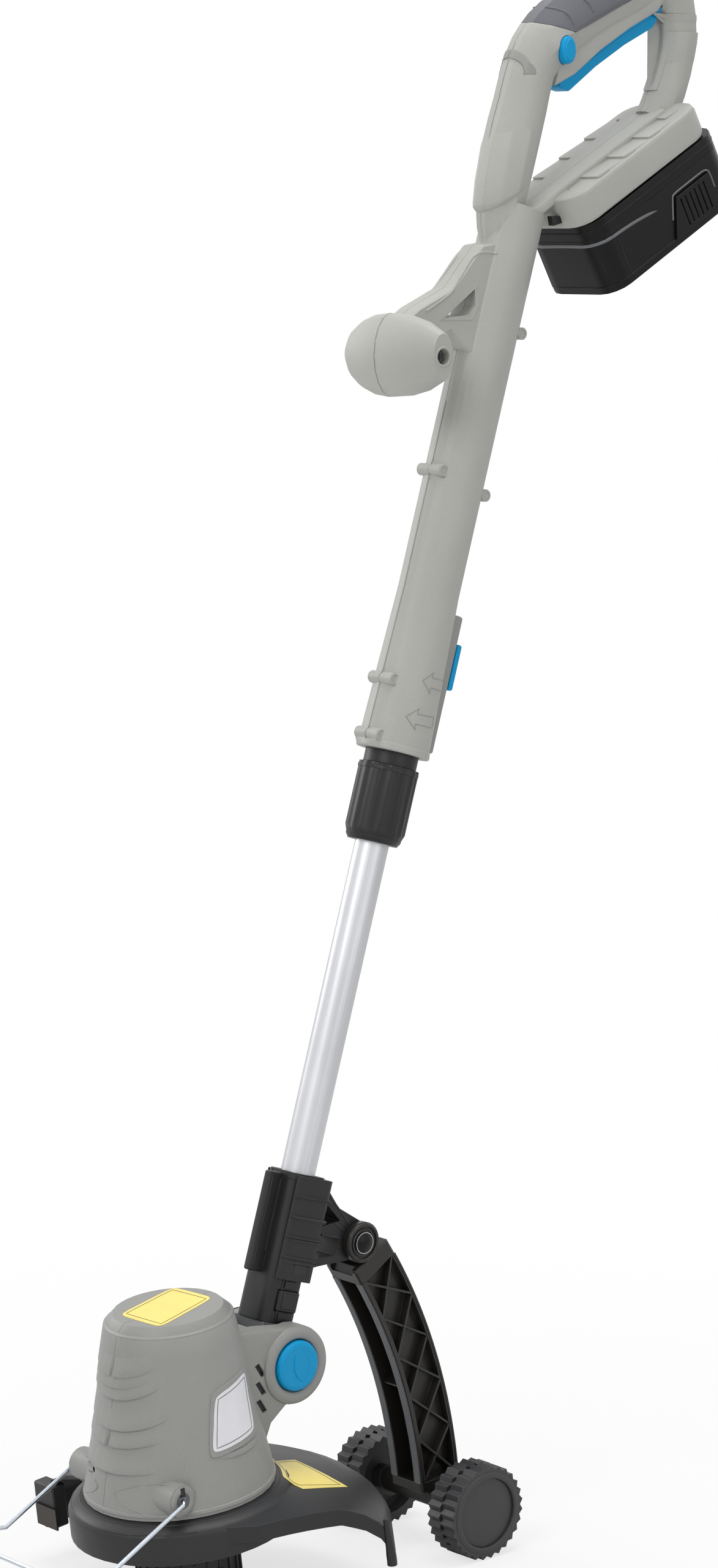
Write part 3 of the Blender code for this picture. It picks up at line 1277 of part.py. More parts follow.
def cut_head(shell, head):
    """Slot for the knuckle, seats of the tilt button and the pin, wire holes and screw holes."""
    slot = rod(head, HUB_RADIUS + BORE_OPEN, -HUB_INNER_X, HUB_INNER_X, HUB_BACK, HUB_HEIGHT, 36)
    above = box(head, (-HUB_INNER_X, HUB_BACK - HUB_RADIUS - BORE_OPEN / 2, HUB_HEIGHT),
                (HUB_INNER_X, HUB_BACK + 2 * HUB_RADIUS, HUB_HEIGHT + HEAD_HEIGHT))
    cut(shell, join(slot, above))
    seat = HUB_OUTER_X - TILT_BUTTON_DEPTH
    room = (seat - GAP, HUB_OUTER_X + BORE_OPEN)
    button = rod(head, TILT_BUTTON_RADIUS + FIT, *room, HUB_BACK, HUB_HEIGHT, 32)
    pin = rod(head, HINGE_PIN_RADIUS + GAP, HINGE_END_WALL - HUB_OUTER_X, seat, HUB_BACK, HUB_HEIGHT, 24)
    cut(shell, button, pin)
    for side in (-1.0, 1.0):
        ends = sorted((side * (WIRE_END_X - 2.0 * MM), side * (WIRE_HINGE_X + LUG_RADIUS)))
        cut(shell, rod(head, WIRE_RADIUS + GAP, *ends, -WIRE_HINGE_FRONT, WIRE_HINGE_HEIGHT, 16))
        bore = (HEAD_BASE - BORE_OPEN, HEAD_BASE + SCREW_LENGTH + 2 * GAP)
        cut(shell, post(head, SCREW_SHANK + GAP, *bore, side * GUARD_SCREW_X, GUARD_SCREW_BACK, 12))
    for y, z in head_screw_places():
        cut(shell, screw_hole(head, -SCREW_SEAT_X, y, z, -HEAD_RADIUS))
    for index in range(VENT_COUNT):
        cut(shell, vent_slot(head, index))


def vent_slot(head, index):
    """One of the three slanted air slots in each side of the neck."""
    y = HUB_BACK - HUB_RADIUS - (3.0 + index) * MM
    z = HUB_HEIGHT + 4.0 * MM - index * VENT_PITCH
    corners = [(-4.0, 6.0), (0.0, 7.0), (5.0, -3.0), (1.0, -4.0)]
    outline = [(y + back * MM, z + up * MM) for back, up in corners]
    near, far = HUB_OUTER_X - VENT_DEPTH, HUB_OUTER_X + 2 * VENT_DEPTH
    return join(extruded(head, outline, near, far), extruded(head, outline, -far, -near))


def tilt_hinge(hub, head_axis, blue, steel, dark):
    """Knuckle, hinge pin and the coloured button that frees the tilt."""
    face = HUB_OUTER_X + TILT_BUTTON_PROUD
    inner = HUB_OUTER_X - TILT_BUTTON_DEPTH + TILT_BUTTON_TRAVEL
    button = rod(head_axis, TILT_BUTTON_RADIUS, inner, face, 0.0, 0.0, 28)
    soften(button, 2.0 * MM, 2)
    part("tilt_button", button, blue)
    pin_end = inner - TILT_BUTTON_TRAVEL - GAP
    pin = rod(head_axis, HINGE_PIN_RADIUS, HINGE_END_WALL - HUB_OUTER_X + GAP, pin_end, 0.0, 0.0, 24)
    part("hinge_pin", pin, steel)
    axis_y = -POLE_FORWARD
    knuckle = rod(hub, KNUCKLE_RADIUS, -HUB_INNER_X + GAP, HUB_INNER_X - GAP, 0.0, 0.0, 40)
    deep = SLEEVE_HALF - KNUCKLE_NECK_IN
    neck = box(hub, (-SLEEVE_HALF, axis_y - deep, KNUCKLE_NECK_LOW),
               (SLEEVE_HALF, axis_y + deep, SLEEVE_BOTTOM - GAP))
    spigot = box(hub, (-SPIGOT_HALF, axis_y - SPIGOT_HALF, SPIGOT_LOW),
                 (SPIGOT_HALF, axis_y + SPIGOT_HALF, SLEEVE_BOTTOM + SPIGOT_LENGTH))
    join(knuckle, neck, spigot)
    cut(knuckle, rod(hub, HINGE_PIN_RADIUS + GAP, -BORE_REACH, BORE_REACH, 0.0, 0.0, 24))
    part("knuckle", knuckle, dark)


def drive(head, steel, dark, black, alloy):
    """Motor, shaft, driver, spool, line and cap."""
    can_low = HEAD_BASE + MOTOR_BASE
    can = post(head, MOTOR_RADIUS, can_low, can_low + MOTOR_LENGTH)
    soften(can, 1.5 * MM, 1)
    can_top = can_low + MOTOR_LENGTH
    cut(can, post(head, SHAFT_RADIUS + GAP, can_low - BORE_OPEN, can_top + BORE_OPEN, segments=16))
    part("motor", can, steel)
    spool_low = CAP_WALL + BUMP_RECESS + SPOOL_FLOOR
    part("motor_shaft", post(head, SHAFT_RADIUS, spool_low, can_top + SHAFT_STUB, segments=16), alloy)
    disc_low = CAP_HEIGHT + DRIVER_SPACE
    disc_top = disc_low + DRIVER_DISC
    driver_low = spool_low + 2.0 * MM
    driver_top = can_low - DRIVER_SPACE
    driver = [(SHAFT_RADIUS + GAP, driver_low), (SHAFT_RADIUS + GAP, driver_top), (DRIVER_NECK, driver_top),
              (DRIVER_NECK, disc_top), (DRIVER_RADIUS, disc_top), (DRIVER_RADIUS, disc_low),
              (DRIVER_NECK, disc_low), (DRIVER_NECK, driver_low)]
    part("spool_driver", turned(head, driver, 24), dark)
    spool_top = spool_low + SPOOL_HEIGHT
    flange = SPOOL_FLANGE
    spool = [(DRIVER_NECK + GAP, spool_low), (DRIVER_NECK + GAP, spool_top), (SPOOL_RADIUS, spool_top),
             (SPOOL_RADIUS, spool_top - flange), (SPOOL_CORE, spool_top - flange),
             (SPOOL_CORE, spool_low + flange),
             (SPOOL_RADIUS, spool_low + flange), (SPOOL_RADIUS, spool_low)]
    part("spool", turned(head, spool, 24), dark)
    line = [(SPOOL_CORE + GAP, spool_low + flange + GAP), (SPOOL_CORE + GAP, spool_top - flange - GAP),
            (LINE_RADIUS, spool_top - flange - GAP), (LINE_RADIUS, spool_low + flange + GAP)]
    part("line_winding", turned(head, line, 24), alloy)
    part("spool_cap", spool_cap(head), black)


def spool_cap(head):
    """The cup that holds the spool, ribbed outside, with a shallow recess round its foot."""
    outline = lobed_points(CAP_RADIUS, CAP_RIB_DEPTH, CAP_RIBS, 0.0)
    cup = flat_plate(head, outline, 0.0, CAP_HEIGHT)
    inner = CAP_RADIUS - CAP_RIB_DEPTH - CAP_WALL
    cut(cup, post(head, inner, BUMP_RECESS + CAP_WALL, CAP_HEIGHT + BORE_OPEN))
    rim = CAP_RADIUS - CAP_FOOT_RIM
    recess = [(BUMP_RADIUS, -BORE_OPEN), (BUMP_RADIUS, BUMP_RECESS), (rim, BUMP_RECESS), (rim, -BORE_OPEN)]
    cut(cup, turned(head, recess, 32))
    for side in (-1.0, 1.0):
        ends = sorted((side * (inner - CAP_WALL), side * (CAP_RADIUS + CAP_WALL)))
        cut(cup, rod(head, CAP_HOLE_RADIUS, *ends, 0.0, CAP_HEIGHT / 2, 12))
    return cup


def guard(head, black, steel):
    """Guard under the motor, its line cutter and its two screws."""
    top = HEAD_BASE - GAP
    wall = GUARD_WALL
    edge_height = top - GUARD_DISC_EDGE
    rim_low = HEAD_BASE - GUARD_RIM_DEPTH
    disc = turned(head, [(GUARD_BORE, top - wall), (GUARD_BORE, top), (HEAD_RADIUS, top),
                         (GUARD_DISC_RADIUS - wall, top - GUARD_DISC_EDGE / 2),
                         (GUARD_DISC_RADIUS, edge_height), (GUARD_DISC_RADIUS, rim_low),
                         (GUARD_DISC_RADIUS - wall, rim_low),
                         (GUARD_DISC_RADIUS - wall, edge_height), (HEAD_RADIUS - wall / 2, top - wall)], 44)
    slice_low, slice_high = -BORE_OPEN, 2 * HEAD_BASE
    wing = turned(head, wing_profile(), 52)
    keep(wing, flat_plate(head, wing_sector(), slice_low, slice_high))
    lip = turned(head, lip_profile(), 52)
    keep(lip, flat_plate(head, near_edge(0.0) + near_edge(wall)[::-1], slice_low, slice_high))
    join(disc, wing, lip)
    for side in (-1.0, 1.0):
        bore = (top - 2 * wall, HEAD_BASE + BORE_OPEN)
        cut(disc, post(head, SCREW_SHANK + GAP, *bore, side * GUARD_SCREW_X, GUARD_SCREW_BACK, 12))
    part("guard", join(disc, cutter_holder(head)), black)
    part("line_cutter", cutter_blade(head), steel)
    for name, side in (("guard_screw_left", -1.0), ("guard_screw_right", 1.0)):
        part(name, guard_screw(head, side * GUARD_SCREW_X), steel)


def cutter_low():
    """Height of the line cutter's lower edge."""
    return GUARD_SKIRT_BOTTOM + CUTTER_BLOCK / 2


def cutter_holder(head):
    """The block at the far end of the skirt that carries the line cutter."""
    half = CUTTER_BLOCK / 2
    high = HEAD_BASE - GUARD_SHOULDER_DROP + 2 * half / 3 * 2
    holder = box(head, (BORE_OPEN - GUARD_RADIUS, GUARD_FAR_EDGE - half, cutter_low()),
                 (2 * CUTTER_BLOCK - GUARD_RADIUS, GUARD_FAR_EDGE + half, high))
    return soften(holder, BORE_OPEN, 1)


def cutter_blade(head):
    """The blade that trims the line."""
    x0 = GUARD_WALL + GAP - GUARD_RADIUS
    y0 = GUARD_FAR_EDGE - CUTTER_BLOCK / 2 - GAP - CUTTER_THICK
    low = cutter_low()
    return box(head, (x0, y0, low), (x0 + CUTTER_LENGTH, y0 + CUTTER_THICK, low + CUTTER_WIDTH))


def guard_screw(head, x):
    """A screw that holds the guard from below."""
    low = HEAD_BASE - 2 * GAP - GUARD_WALL - SCREW_HEAD_HEIGHT
    bolt = post(head, SCREW_HEAD, low, low + SCREW_HEAD_HEIGHT, x, GUARD_SCREW_BACK, 12)
    return join(bolt, post(head, SCREW_SHANK, low, low + SCREW_LENGTH, x, GUARD_SCREW_BACK, 12))


def wing_profile():
    """Section of the guard's wing: a slope outwards, a rounded shoulder and a skirt."""
    wall = GUARD_WALL
    top = HEAD_BASE - GAP
    shoulder = HEAD_BASE - GUARD_SHOULDER_DROP
    low = GUARD_SKIRT_BOTTOM
    start = GUARD_DISC_RADIUS - 2.5 * MM
    outer = [(start, top - 6.0 * MM), (GUARD_RADIUS - 28.0 * MM, top - 16.5 * MM),
             (GUARD_RADIUS - 14.0 * MM, shoulder + 10.0 * MM), (GUARD_RADIUS - 5.0 * MM, shoulder + 2.0 * MM),
             (GUARD_RADIUS, shoulder - 7.0 * MM), (GUARD_RADIUS + 1.0 * MM, low)]
    inner = [(GUARD_RADIUS + 1.0 * MM - wall, low), (GUARD_RADIUS - wall, shoulder - 8.0 * MM),
             (GUARD_RADIUS - 7.0 * MM, shoulder - 0.5 * MM), (GUARD_RADIUS - 15.5 * MM, shoulder + 7.0 * MM),
             (GUARD_RADIUS - 29.0 * MM, top - 16.5 * MM - wall), (start, top - 6.0 * MM - wall)]
    return outer + inner


def lip_profile():
    """Section of the turned-down edge of the wing: its outer half with a deeper underside."""
    outer = wing_profile()[:5]
    top = [(radius, height - GAP) for radius, height in outer]
    low = [(radius, height - GUARD_LIP) for radius, height in outer]
    return top + low[::-1]


def wing_sector():
    """Plan of the guard's wing: from the far edge round the back to the near edge."""
    reach = GUARD_RADIUS * 1.6
    edge = near_edge(0.0)
    inside = [(GUARD_FAR_EDGE, GUARD_FAR_EDGE), (0.0, -GUARD_FAR_EDGE),
              (-2 * GUARD_FAR_EDGE, -GUARD_FAR_EDGE / 2)]
    return [(-reach, GUARD_FAR_EDGE)] + inside + edge + [(reach, reach), (-reach, reach)]


def near_edge(offset):
    """The wing's near edge in plan, from the disc's side to beyond the skirt, moved in by offset."""
    edge = [(77, -20), (88, -2), (93, 30), (98, 62), (112, 92), (150, 140)]
    return [(x * MM - offset, y * MM) for x, y in edge]


def wire_guard(head, steel):
    """The folding wire bow in front of the head."""
    bend = WIRE_BEND
    right = [(WIRE_END_X, -WIRE_HINGE_FRONT, WIRE_HINGE_HEIGHT),
             (WIRE_HINGE_X - bend, -WIRE_HINGE_FRONT, WIRE_HINGE_HEIGHT),
             (WIRE_HINGE_X, -WIRE_HINGE_FRONT - bend, WIRE_HINGE_HEIGHT - bend / 3),
             (WIRE_HINGE_X, -WIRE_BEND_FRONT, WIRE_BEND_HEIGHT),
             (WIRE_HINGE_X + bend, -WIRE_BEND_FRONT - 2 * bend, WIRE_BEND_HEIGHT),
             (WIRE_FRONT_X - bend, -WIRE_FRONT + bend, WIRE_FRONT_HEIGHT),
             (WIRE_FRONT_X - 3 * bend, -WIRE_FRONT, WIRE_FRONT_HEIGHT)]
    left = [(-x, y, z) for x, y, z in reversed(right)]
    points = right + left
    wire = tube(head, points, [WIRE_RADIUS] * len(points), 2)
    fold = frame("wire_axis", (0.0, -WIRE_HINGE_FRONT, WIRE_HINGE_HEIGHT), 0.0, head)
    rehang(part("wire_guard", wire, steel), fold)


# Wheel support

def bracket(slide, black):
    """The C-shaped slide-on column with its ribs and the arms to the leg's pivot."""
    axis_y = -POLE_FORWARD
    inner = SLEEVE_HALF + GAP
    outer = inner + BRACKET_WALL
    front = axis_y - BRACKET_FRONT
    column = box(slide, (-outer, front, BRACKET_BOTTOM), (outer, axis_y + outer, BRACKET_TOP))
    soften_uprights(column, BRACKET_CORNER, 3)
    proud = outer + BRACKET_RIB_PROUD / 2
    for index in range(BRACKET_RIBS):
        z = BRACKET_BOTTOM + BRACKET_RIB_START + index * BRACKET_RIB_PITCH
        rib = box(slide, (-proud, front + BORE_OPEN, z), (proud, axis_y + proud, z + BRACKET_RIB_THICK))
        join(column, soften_uprights(rib, BRACKET_CORNER, 3))
    join(column, bracket_arm(slide))
    room = box(slide, (-inner, axis_y - outer * 2, BRACKET_BOTTOM - BORE_OPEN),
               (inner, axis_y + inner, BRACKET_TOP + BORE_OPEN))
    cut(column, soften_uprights(room, SLEEVE_CORNER, 3))
    cut(column, rod(slide, PIVOT_PIN + GAP, -BORE_REACH, BORE_REACH, PIVOT_BACK, PIVOT_UP, 20))
    part("wheel_bracket", column, black)


def bracket_arm(slide):
    """The spoked web between the column and the pivot boss."""
    boss = arc_points((PIVOT_BACK, PIVOT_UP), PIVOT_BOSS - EAR_GAP, 70.0, -95.0, 14)
    above = from_bracket([(-2, -26), (-2, 32), (4, 31), (16, 21), (34, 16)])
    below = from_bracket([(14, -21)])
    upper = from_bracket([(4, 6), (4, 22), (20, 12)])
    lower = from_bracket([(4, -18), (4, 0), (22, 0), (22, -13)])
    return extruded(slide, above + boss + below, -TONGUE_HALF, TONGUE_HALF, [upper, lower])


def from_bracket(points):
    """Points given in millimetres behind the bracket's column and above its pivot."""
    back = -POLE_FORWARD + SLEEVE_HALF + GAP + BRACKET_WALL
    return [(back + y * MM, PIVOT_UP + z * MM) for y, z in points]


def push_button(pole, black):
    """The button that frees the bracket."""
    middle = PUSH_BACK - POLE_FORWARD
    half = PUSH_WIDTH / 2
    tall = PUSH_HEIGHT / 2
    button = box(pole, (SLEEVE_HALF - PUSH_DEPTH + PUSH_TRAVEL, middle - half, PUSH_UP - tall),
                 (SLEEVE_HALF + PUSH_PROUD, middle + half, PUSH_UP + tall))
    soften(button, 1.2 * MM, 2)
    part("push_button", button, black)


def leg_arc_centre():
    """Centre of the leg's front arc, set by the pivot and the axle."""
    pivot = pole_point(PIVOT_UP, PIVOT_BACK)
    axle = (0.0, AXLE_BACK, AXLE_HEIGHT)
    mid_y = (pivot[1] + axle[1]) / 2
    mid_z = (pivot[2] + axle[2]) / 2
    dy = axle[1] - pivot[1]
    dz = axle[2] - pivot[2]
    chord = math.hypot(dy, dz)
    radius = LEG_FRONT_RADIUS + LEG_DEPTH / 2
    rise = math.sqrt(radius ** 2 - (chord / 2) ** 2)
    return (mid_y + dz / chord * rise, mid_z - dy / chord * rise)


def leg_arc(radius, start_share, end_share, count):
    """Points on an arc of the leg, from the pivot (0) to the axle (1)."""
    centre = leg_arc_centre()
    pivot = pole_point(PIVOT_UP, PIVOT_BACK)
    first = math.atan2(pivot[2] - centre[1], pivot[1] - centre[0])
    last = math.atan2(AXLE_HEIGHT - centre[1], AXLE_BACK - centre[0])
    points = []
    for i in range(count):
        share = start_share + (end_share - start_share) * i / (count - 1)
        angle = first + (last - first) * share
        points.append((centre[0] + radius * math.cos(angle), centre[1] + radius * math.sin(angle)))
    return points


def leg_band(base, inner, outer, start, end, x0, x1, count=10):
    """A curved slab of the leg between two radii."""
    front = leg_arc(LEG_FRONT_RADIUS + inner, start, end, count)
    back = leg_arc(LEG_FRONT_RADIUS + outer, start, end, count)
    return extruded(base, front + back[::-1], x0, x1)


def leg(world, pivot_axis, black):
    """The curved leg: fork ears at the pivot, front channel, side pockets with ribs, axle tube."""
    pivot = pole_point(PIVOT_UP, PIVOT_BACK)
    beam = leg_band(world, 0.0, LEG_DEPTH, 0.06, 0.97, -LEG_HALF, LEG_HALF)
    soften(beam, 1.5 * MM, 1)
    ears = rod(world, PIVOT_BOSS, -LEG_HALF, LEG_HALF, pivot[1], pivot[2], 28)
    tube_half = WHEEL_OUTER_X - WHEEL_WIDTH - BORE_OPEN
    axle_tube = rod(world, AXLE_TUBE_RADIUS, -tube_half, tube_half, AXLE_BACK, AXLE_HEIGHT, 24)
    join(beam, ears, axle_tube)
    channel = (LEG_POCKET_START, LEG_POCKET_END, -LEG_CHANNEL_HALF, LEG_CHANNEL_HALF)
    cut(beam, leg_band(world, -LEG_CHANNEL_HALF, LEG_CHANNEL_DEPTH, *channel))
    for side in (-1.0, 1.0):
        ends = sorted((side * (LEG_HALF - LEG_POCKET_DEPTH + LEG_WEB_IN), side * 2 * LEG_HALF))
        rows = (LEG_FLANGE, LEG_DEPTH - LEG_BACK_WALL)
        pocket = leg_band(world, *rows, LEG_POCKET_START, LEG_POCKET_END, *ends)
        for rib in leg_ribs(world, ends):
            cut(pocket, rib)
        cut(beam, pocket)
    room = TONGUE_HALF + GAP
    tongue = rod(world, PIVOT_BOSS + EAR_GAP, -room, room, pivot[1], pivot[2], 28)
    cut(beam, join(tongue, tongue_sweep(world, room)))
    cut(beam, rod(world, PIVOT_PIN + GAP, -BORE_REACH, BORE_REACH, pivot[1], pivot[2], 20))
    cut(beam, rod(world, AXLE_RADIUS + GAP, -BORE_REACH, BORE_REACH, AXLE_BACK, AXLE_HEIGHT, 20))
    rehang(part("leg", beam, black), pivot_axis)


def tongue_sweep(world, half):
    """The room between the ears that the bracket's web passes through."""
    pivot = pole_point(PIVOT_UP, PIVOT_BACK)
    reach = PIVOT_BOSS * 5 / 3
    corners = [(0.0, reach), (-reach, reach), (-reach, -reach), (-PIVOT_BOSS / 4, -reach)]
    return extruded(world, [(pivot[1] + y, pivot[2] + z) for y, z in corners], -half, half)


def leg_ribs(world, ends):
    """Slanted ribs in a side pocket, in a zigzag."""
    ribs = []
    inner = LEG_FRONT_RADIUS + LEG_FLANGE - 1.0 * MM
    outer = LEG_FRONT_RADIUS + LEG_DEPTH - LEG_BACK_WALL + 1.0 * MM
    step = (LEG_POCKET_END - LEG_POCKET_START) / LEG_RIBS
    for index in range(LEG_RIBS):
        low = LEG_POCKET_START + index * step
        first, last = (inner, outer) if index % 2 == 0 else (outer, inner)
        a = Vector(leg_arc(first, low, low + step, 2)[0])
        b = Vector(leg_arc(last, low, low + step, 2)[1])
        across = (b - a).normalized().orthogonal() * LEG_RIB_THICK / 2
        outline = [tuple(a + across), tuple(b + across), tuple(b - across), tuple(a - across)]
        ribs.append(extruded(world, outline, ends[0] - 1.0 * MM, ends[1] + 1.0 * MM))
    return ribs


def wheel(name, side, axle_axis, black):
    """A ribbed wheel: two rows of lobes with a groove between, dished outside."""
    outer = side * WHEEL_OUTER_X
    inner = side * (WHEEL_OUTER_X - WHEEL_WIDTH)
    middle = (outer + inner) / 2
    half = WHEEL_GROOVE / 2
    rows = [sorted((inner, middle - side * half)), sorted((middle + side * half, outer))]
    first = extruded(axle_axis, lobed_points(WHEEL_RADIUS, WHEEL_LOBE_DEPTH, WHEEL_LOBES, 0.0), *rows[0])
    second = extruded(axle_axis, lobed_points(WHEEL_RADIUS, WHEEL_LOBE_DEPTH, WHEEL_LOBES, math.pi), *rows[1])
    ends = sorted((inner, outer))
    tread_floor = WHEEL_RADIUS - WHEEL_LOBE_DEPTH - WHEEL_CORE_IN
    core = rod(axle_axis, tread_floor, ends[0] + GAP, ends[1] - GAP, 0.0, 0.0, 32)
    join(core, first, second)
    dish = sorted((outer - side * WHEEL_DISH, outer + side * WHEEL_DISH))
    cut(core, rod(axle_axis, WHEEL_RADIUS - WHEEL_RIM, *dish, 0.0, 0.0, 28))
    hollow = sorted((inner - side * WHEEL_DISH, inner + side * WHEEL_CAVITY_DEPTH))
    cavity = rod(axle_axis, WHEEL_RADIUS - WHEEL_CAVITY_RIM, *hollow, 0.0, 0.0, 24)
    hub = (hollow[0] - WHEEL_DISH, hollow[1] + WHEEL_DISH)
    cut(cavity, rod(axle_axis, AXLE_TUBE_RADIUS, *hub, 0.0, 0.0, 20))
    cut(core, cavity)
    bore = sorted((inner - side * AXLE_RADIUS, side * (axle_end() + GAP)))
    cut(core, rod(axle_axis, AXLE_RADIUS + GAP, *bore, 0.0, 0.0, 20))
    part(name, core, black)


def axle_end():
    """X of the axle's end inside the wheel."""
    return WHEEL_OUTER_X - AXLE_END_WALL


def wheel_support(world, pole, black, steel):
    """Bracket, button, leg, pivot pin, axle and wheels."""
    bracket(pole, black)
    push_button(pole, black)
    pivot = pole_point(PIVOT_UP, PIVOT_BACK)
    pivot_axis = frame("pivot_axis", pivot, 0.0)
    leg(world, pivot_axis, black)
    pin = rod(pivot_axis, PIVOT_PIN, -LEG_HALF + GAP, LEG_HALF + BORE_OPEN, 0.0, 0.0, 20)
    cap = rod(pivot_axis, PIVOT_CAP, LEG_HALF + GAP, LEG_HALF + CAP_PROUD, 0.0, 0.0, 24)
    part("pivot_pin", join(pin, cap), steel)
    axle_axis = frame("axle_axis", (0.0, AXLE_BACK, AXLE_HEIGHT), 0.0)
    part("axle", rod(axle_axis, AXLE_RADIUS, -axle_end(), axle_end(), 0.0, 0.0, 20), steel)
    wheel("wheel_left", -1.0, axle_axis, black)
    wheel("wheel_right", 1.0, axle_axis, black)


def main():
    """Builds the trimmer."""
    clear_scene()
    light = finish("light_grey_plastic", (0.45, 0.45, 0.43), 0.5)
    grey = finish("mid_grey_plastic", (0.28, 0.28, 0.27), 0.5)
    dark = finish("dark_grey_plastic", (0.13, 0.13, 0.14), 0.5)
    black = finish("black_plastic", (0.03, 0.03, 0.03), 0.45)
    soft = finish("soft_grip", (0.09, 0.09, 0.1), 0.6)
    blue = finish("blue_plastic", (0.0, 0.26, 0.51), 0.35)
    steel = finish("steel", (0.5, 0.5, 0.5), 0.3, 1.0)
    alloy = finish("alloy_tube", (0.6, 0.6, 0.61), 0.4, 0.6)
    cell_wrap = finish("cell_wrap", (0.1, 0.3, 0.15), 0.5)
    world = frame("world_frame", (0.0, 0.0, 0.0), 0.0)
    hub = frame("hub_axis", (0.0, hub_back(), hub_height()), -POLE_LEAN)
    turn_axis = frame("turn_axis", (0.0, -POLE_FORWARD, 0.0), 0.0, hub)
    head = frame("head_frame", (0.0, 0.0, 0.0), HEAD_TILT)
    head_axis = frame("tilt_axis", (0.0, HUB_BACK, HUB_HEIGHT), 0.0, head)
    rail = frame("rail_frame", rail_origin(), RAIL_SLOPE)
    housing(world, hub, rail, light, steel)
    grip_cover(world, soft)
    controls(world, hub, blue, steel, black, grey)
    battery(rail, black, black, steel, cell_wrap)
    shaft(turn_axis, hub, black, steel, alloy)
    motor_housing(head, grey, steel)
    tilt_hinge(hub, head_axis, blue, steel, dark)
    drive(head, steel, dark, black, alloy)
    guard(head, black, steel)
    wire_guard(head, steel)
    wheel_support(world, hub, black, steel)


main()
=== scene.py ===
"""Cordless string trimmer: finishes, fine details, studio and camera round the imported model.

Metres, +Z up, the wire guard towards -Y. Every piece is placed in one of the trimmer's own frames:
along the pole, along the spool's axis or along the battery rail.
"""

import logging
import math
from collections import defaultdict
from collections.abc import Sequence
from dataclasses import dataclass
from enum import Enum

import bmesh
import bpy
from mathutils import Matrix, Vector
from mathutils.bvhtree import BVHTree


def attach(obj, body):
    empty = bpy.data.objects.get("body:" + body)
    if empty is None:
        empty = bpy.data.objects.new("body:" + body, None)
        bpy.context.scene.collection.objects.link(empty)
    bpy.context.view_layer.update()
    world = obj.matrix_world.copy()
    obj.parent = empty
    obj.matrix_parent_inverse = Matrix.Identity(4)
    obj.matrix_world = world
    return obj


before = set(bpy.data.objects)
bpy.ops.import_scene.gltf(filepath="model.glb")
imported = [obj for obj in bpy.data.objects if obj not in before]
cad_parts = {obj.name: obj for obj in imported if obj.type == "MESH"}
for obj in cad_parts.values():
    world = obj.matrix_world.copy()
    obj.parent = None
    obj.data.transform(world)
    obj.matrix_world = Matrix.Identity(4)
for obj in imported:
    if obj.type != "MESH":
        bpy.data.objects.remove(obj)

MM = 0.001
SIDES = ((-1, "left"), (1, "right"))
# Edges that turn by more degrees than this stay sharp.
NODE_SMOOTHING = 38.0
PIECE_SMOOTHING = 35.0
# The plane where two half shells meet: its reach in metres and how squarely a face may look across it.
SEAM_HALF = 0.0004
SEAM_TURN = 0.9
# Metres.
LAYING_REACH = 0.11
WELD = 0.001 * MM
# Millimetres. Laid pieces start this far out at the sides, and their roots go this far into the surface.
SIDE_START = 90.0
SHAFT_BACK = -8.0
WRAP_SINK = 0.5
SHEET_SINK = 0.5
LABEL_THICK = 0.25
BORDER_RADIUS = 0.22
LOG = logging.getLogger("trimmer")

Colour = tuple[float, float, float]
Point2 = tuple[float, float]
Point3 = tuple[float, float, float]
Outline = Sequence[Point2]


def srgb(red: int, green: int, blue: int) -> Colour:
    """Turns a screen colour into a linear one.

    Args:
        red: Red from 0 to 255.
        green: Green from 0 to 255.
        blue: Blue from 0 to 255.

    Returns:
        The linear colour.
    """
    def linear(value: int) -> float:
        """One channel."""
        share = value / 255
        return share / 12.92 if share <= 0.04045 else ((share + 0.055) / 1.055) ** 2.4
    return linear(red), linear(green), linear(blue)


# Frames of the trimmer

@dataclass(frozen=True)
class Place:
    """One of the trimmer's frames: its origin in millimetres and its tilt about X in degrees."""

    origin: Point3
    tilt: float

    def matrix(self) -> Matrix:
        """The frame's matrix in metres."""
        return Matrix.Translation(Vector(self.origin) * MM) @ Matrix.Rotation(math.radians(self.tilt), 4, "X")

    def point(self, x: float, back: float, up: float) -> Vector:
        """A point given in millimetres of this frame, in metres of the model."""
        return self.matrix() @ (Vector((x, back, up)) * MM)

    def round_point(self, radius: float, degrees: float, up: float) -> Vector:
        """A point given by its distance and its angle round this frame's axis, in metres of the model."""
        angle = math.radians(degrees)
        return self.point(radius * math.cos(angle), radius * math.sin(angle), up)

    def direction(self, x: float, back: float, up: float) -> Vector:
        """A direction of this frame, in the model."""
        return self.matrix().to_3x3() @ Vector((x, back, up))


WORLD = Place((0.0, 0.0, 0.0), 0.0)
POLE = Place((0.0, 67.584, 163.455), -16.8)
HEAD = Place((0.0, 0.0, 0.0), 7.0)
RAIL = Place((0.0, 322.0, 978.0), 29.5)


class Axis(Enum):
    """The axis that a piece is turned round."""

    X = "x"
    Z = "z"


# Node groups shared by the finishes

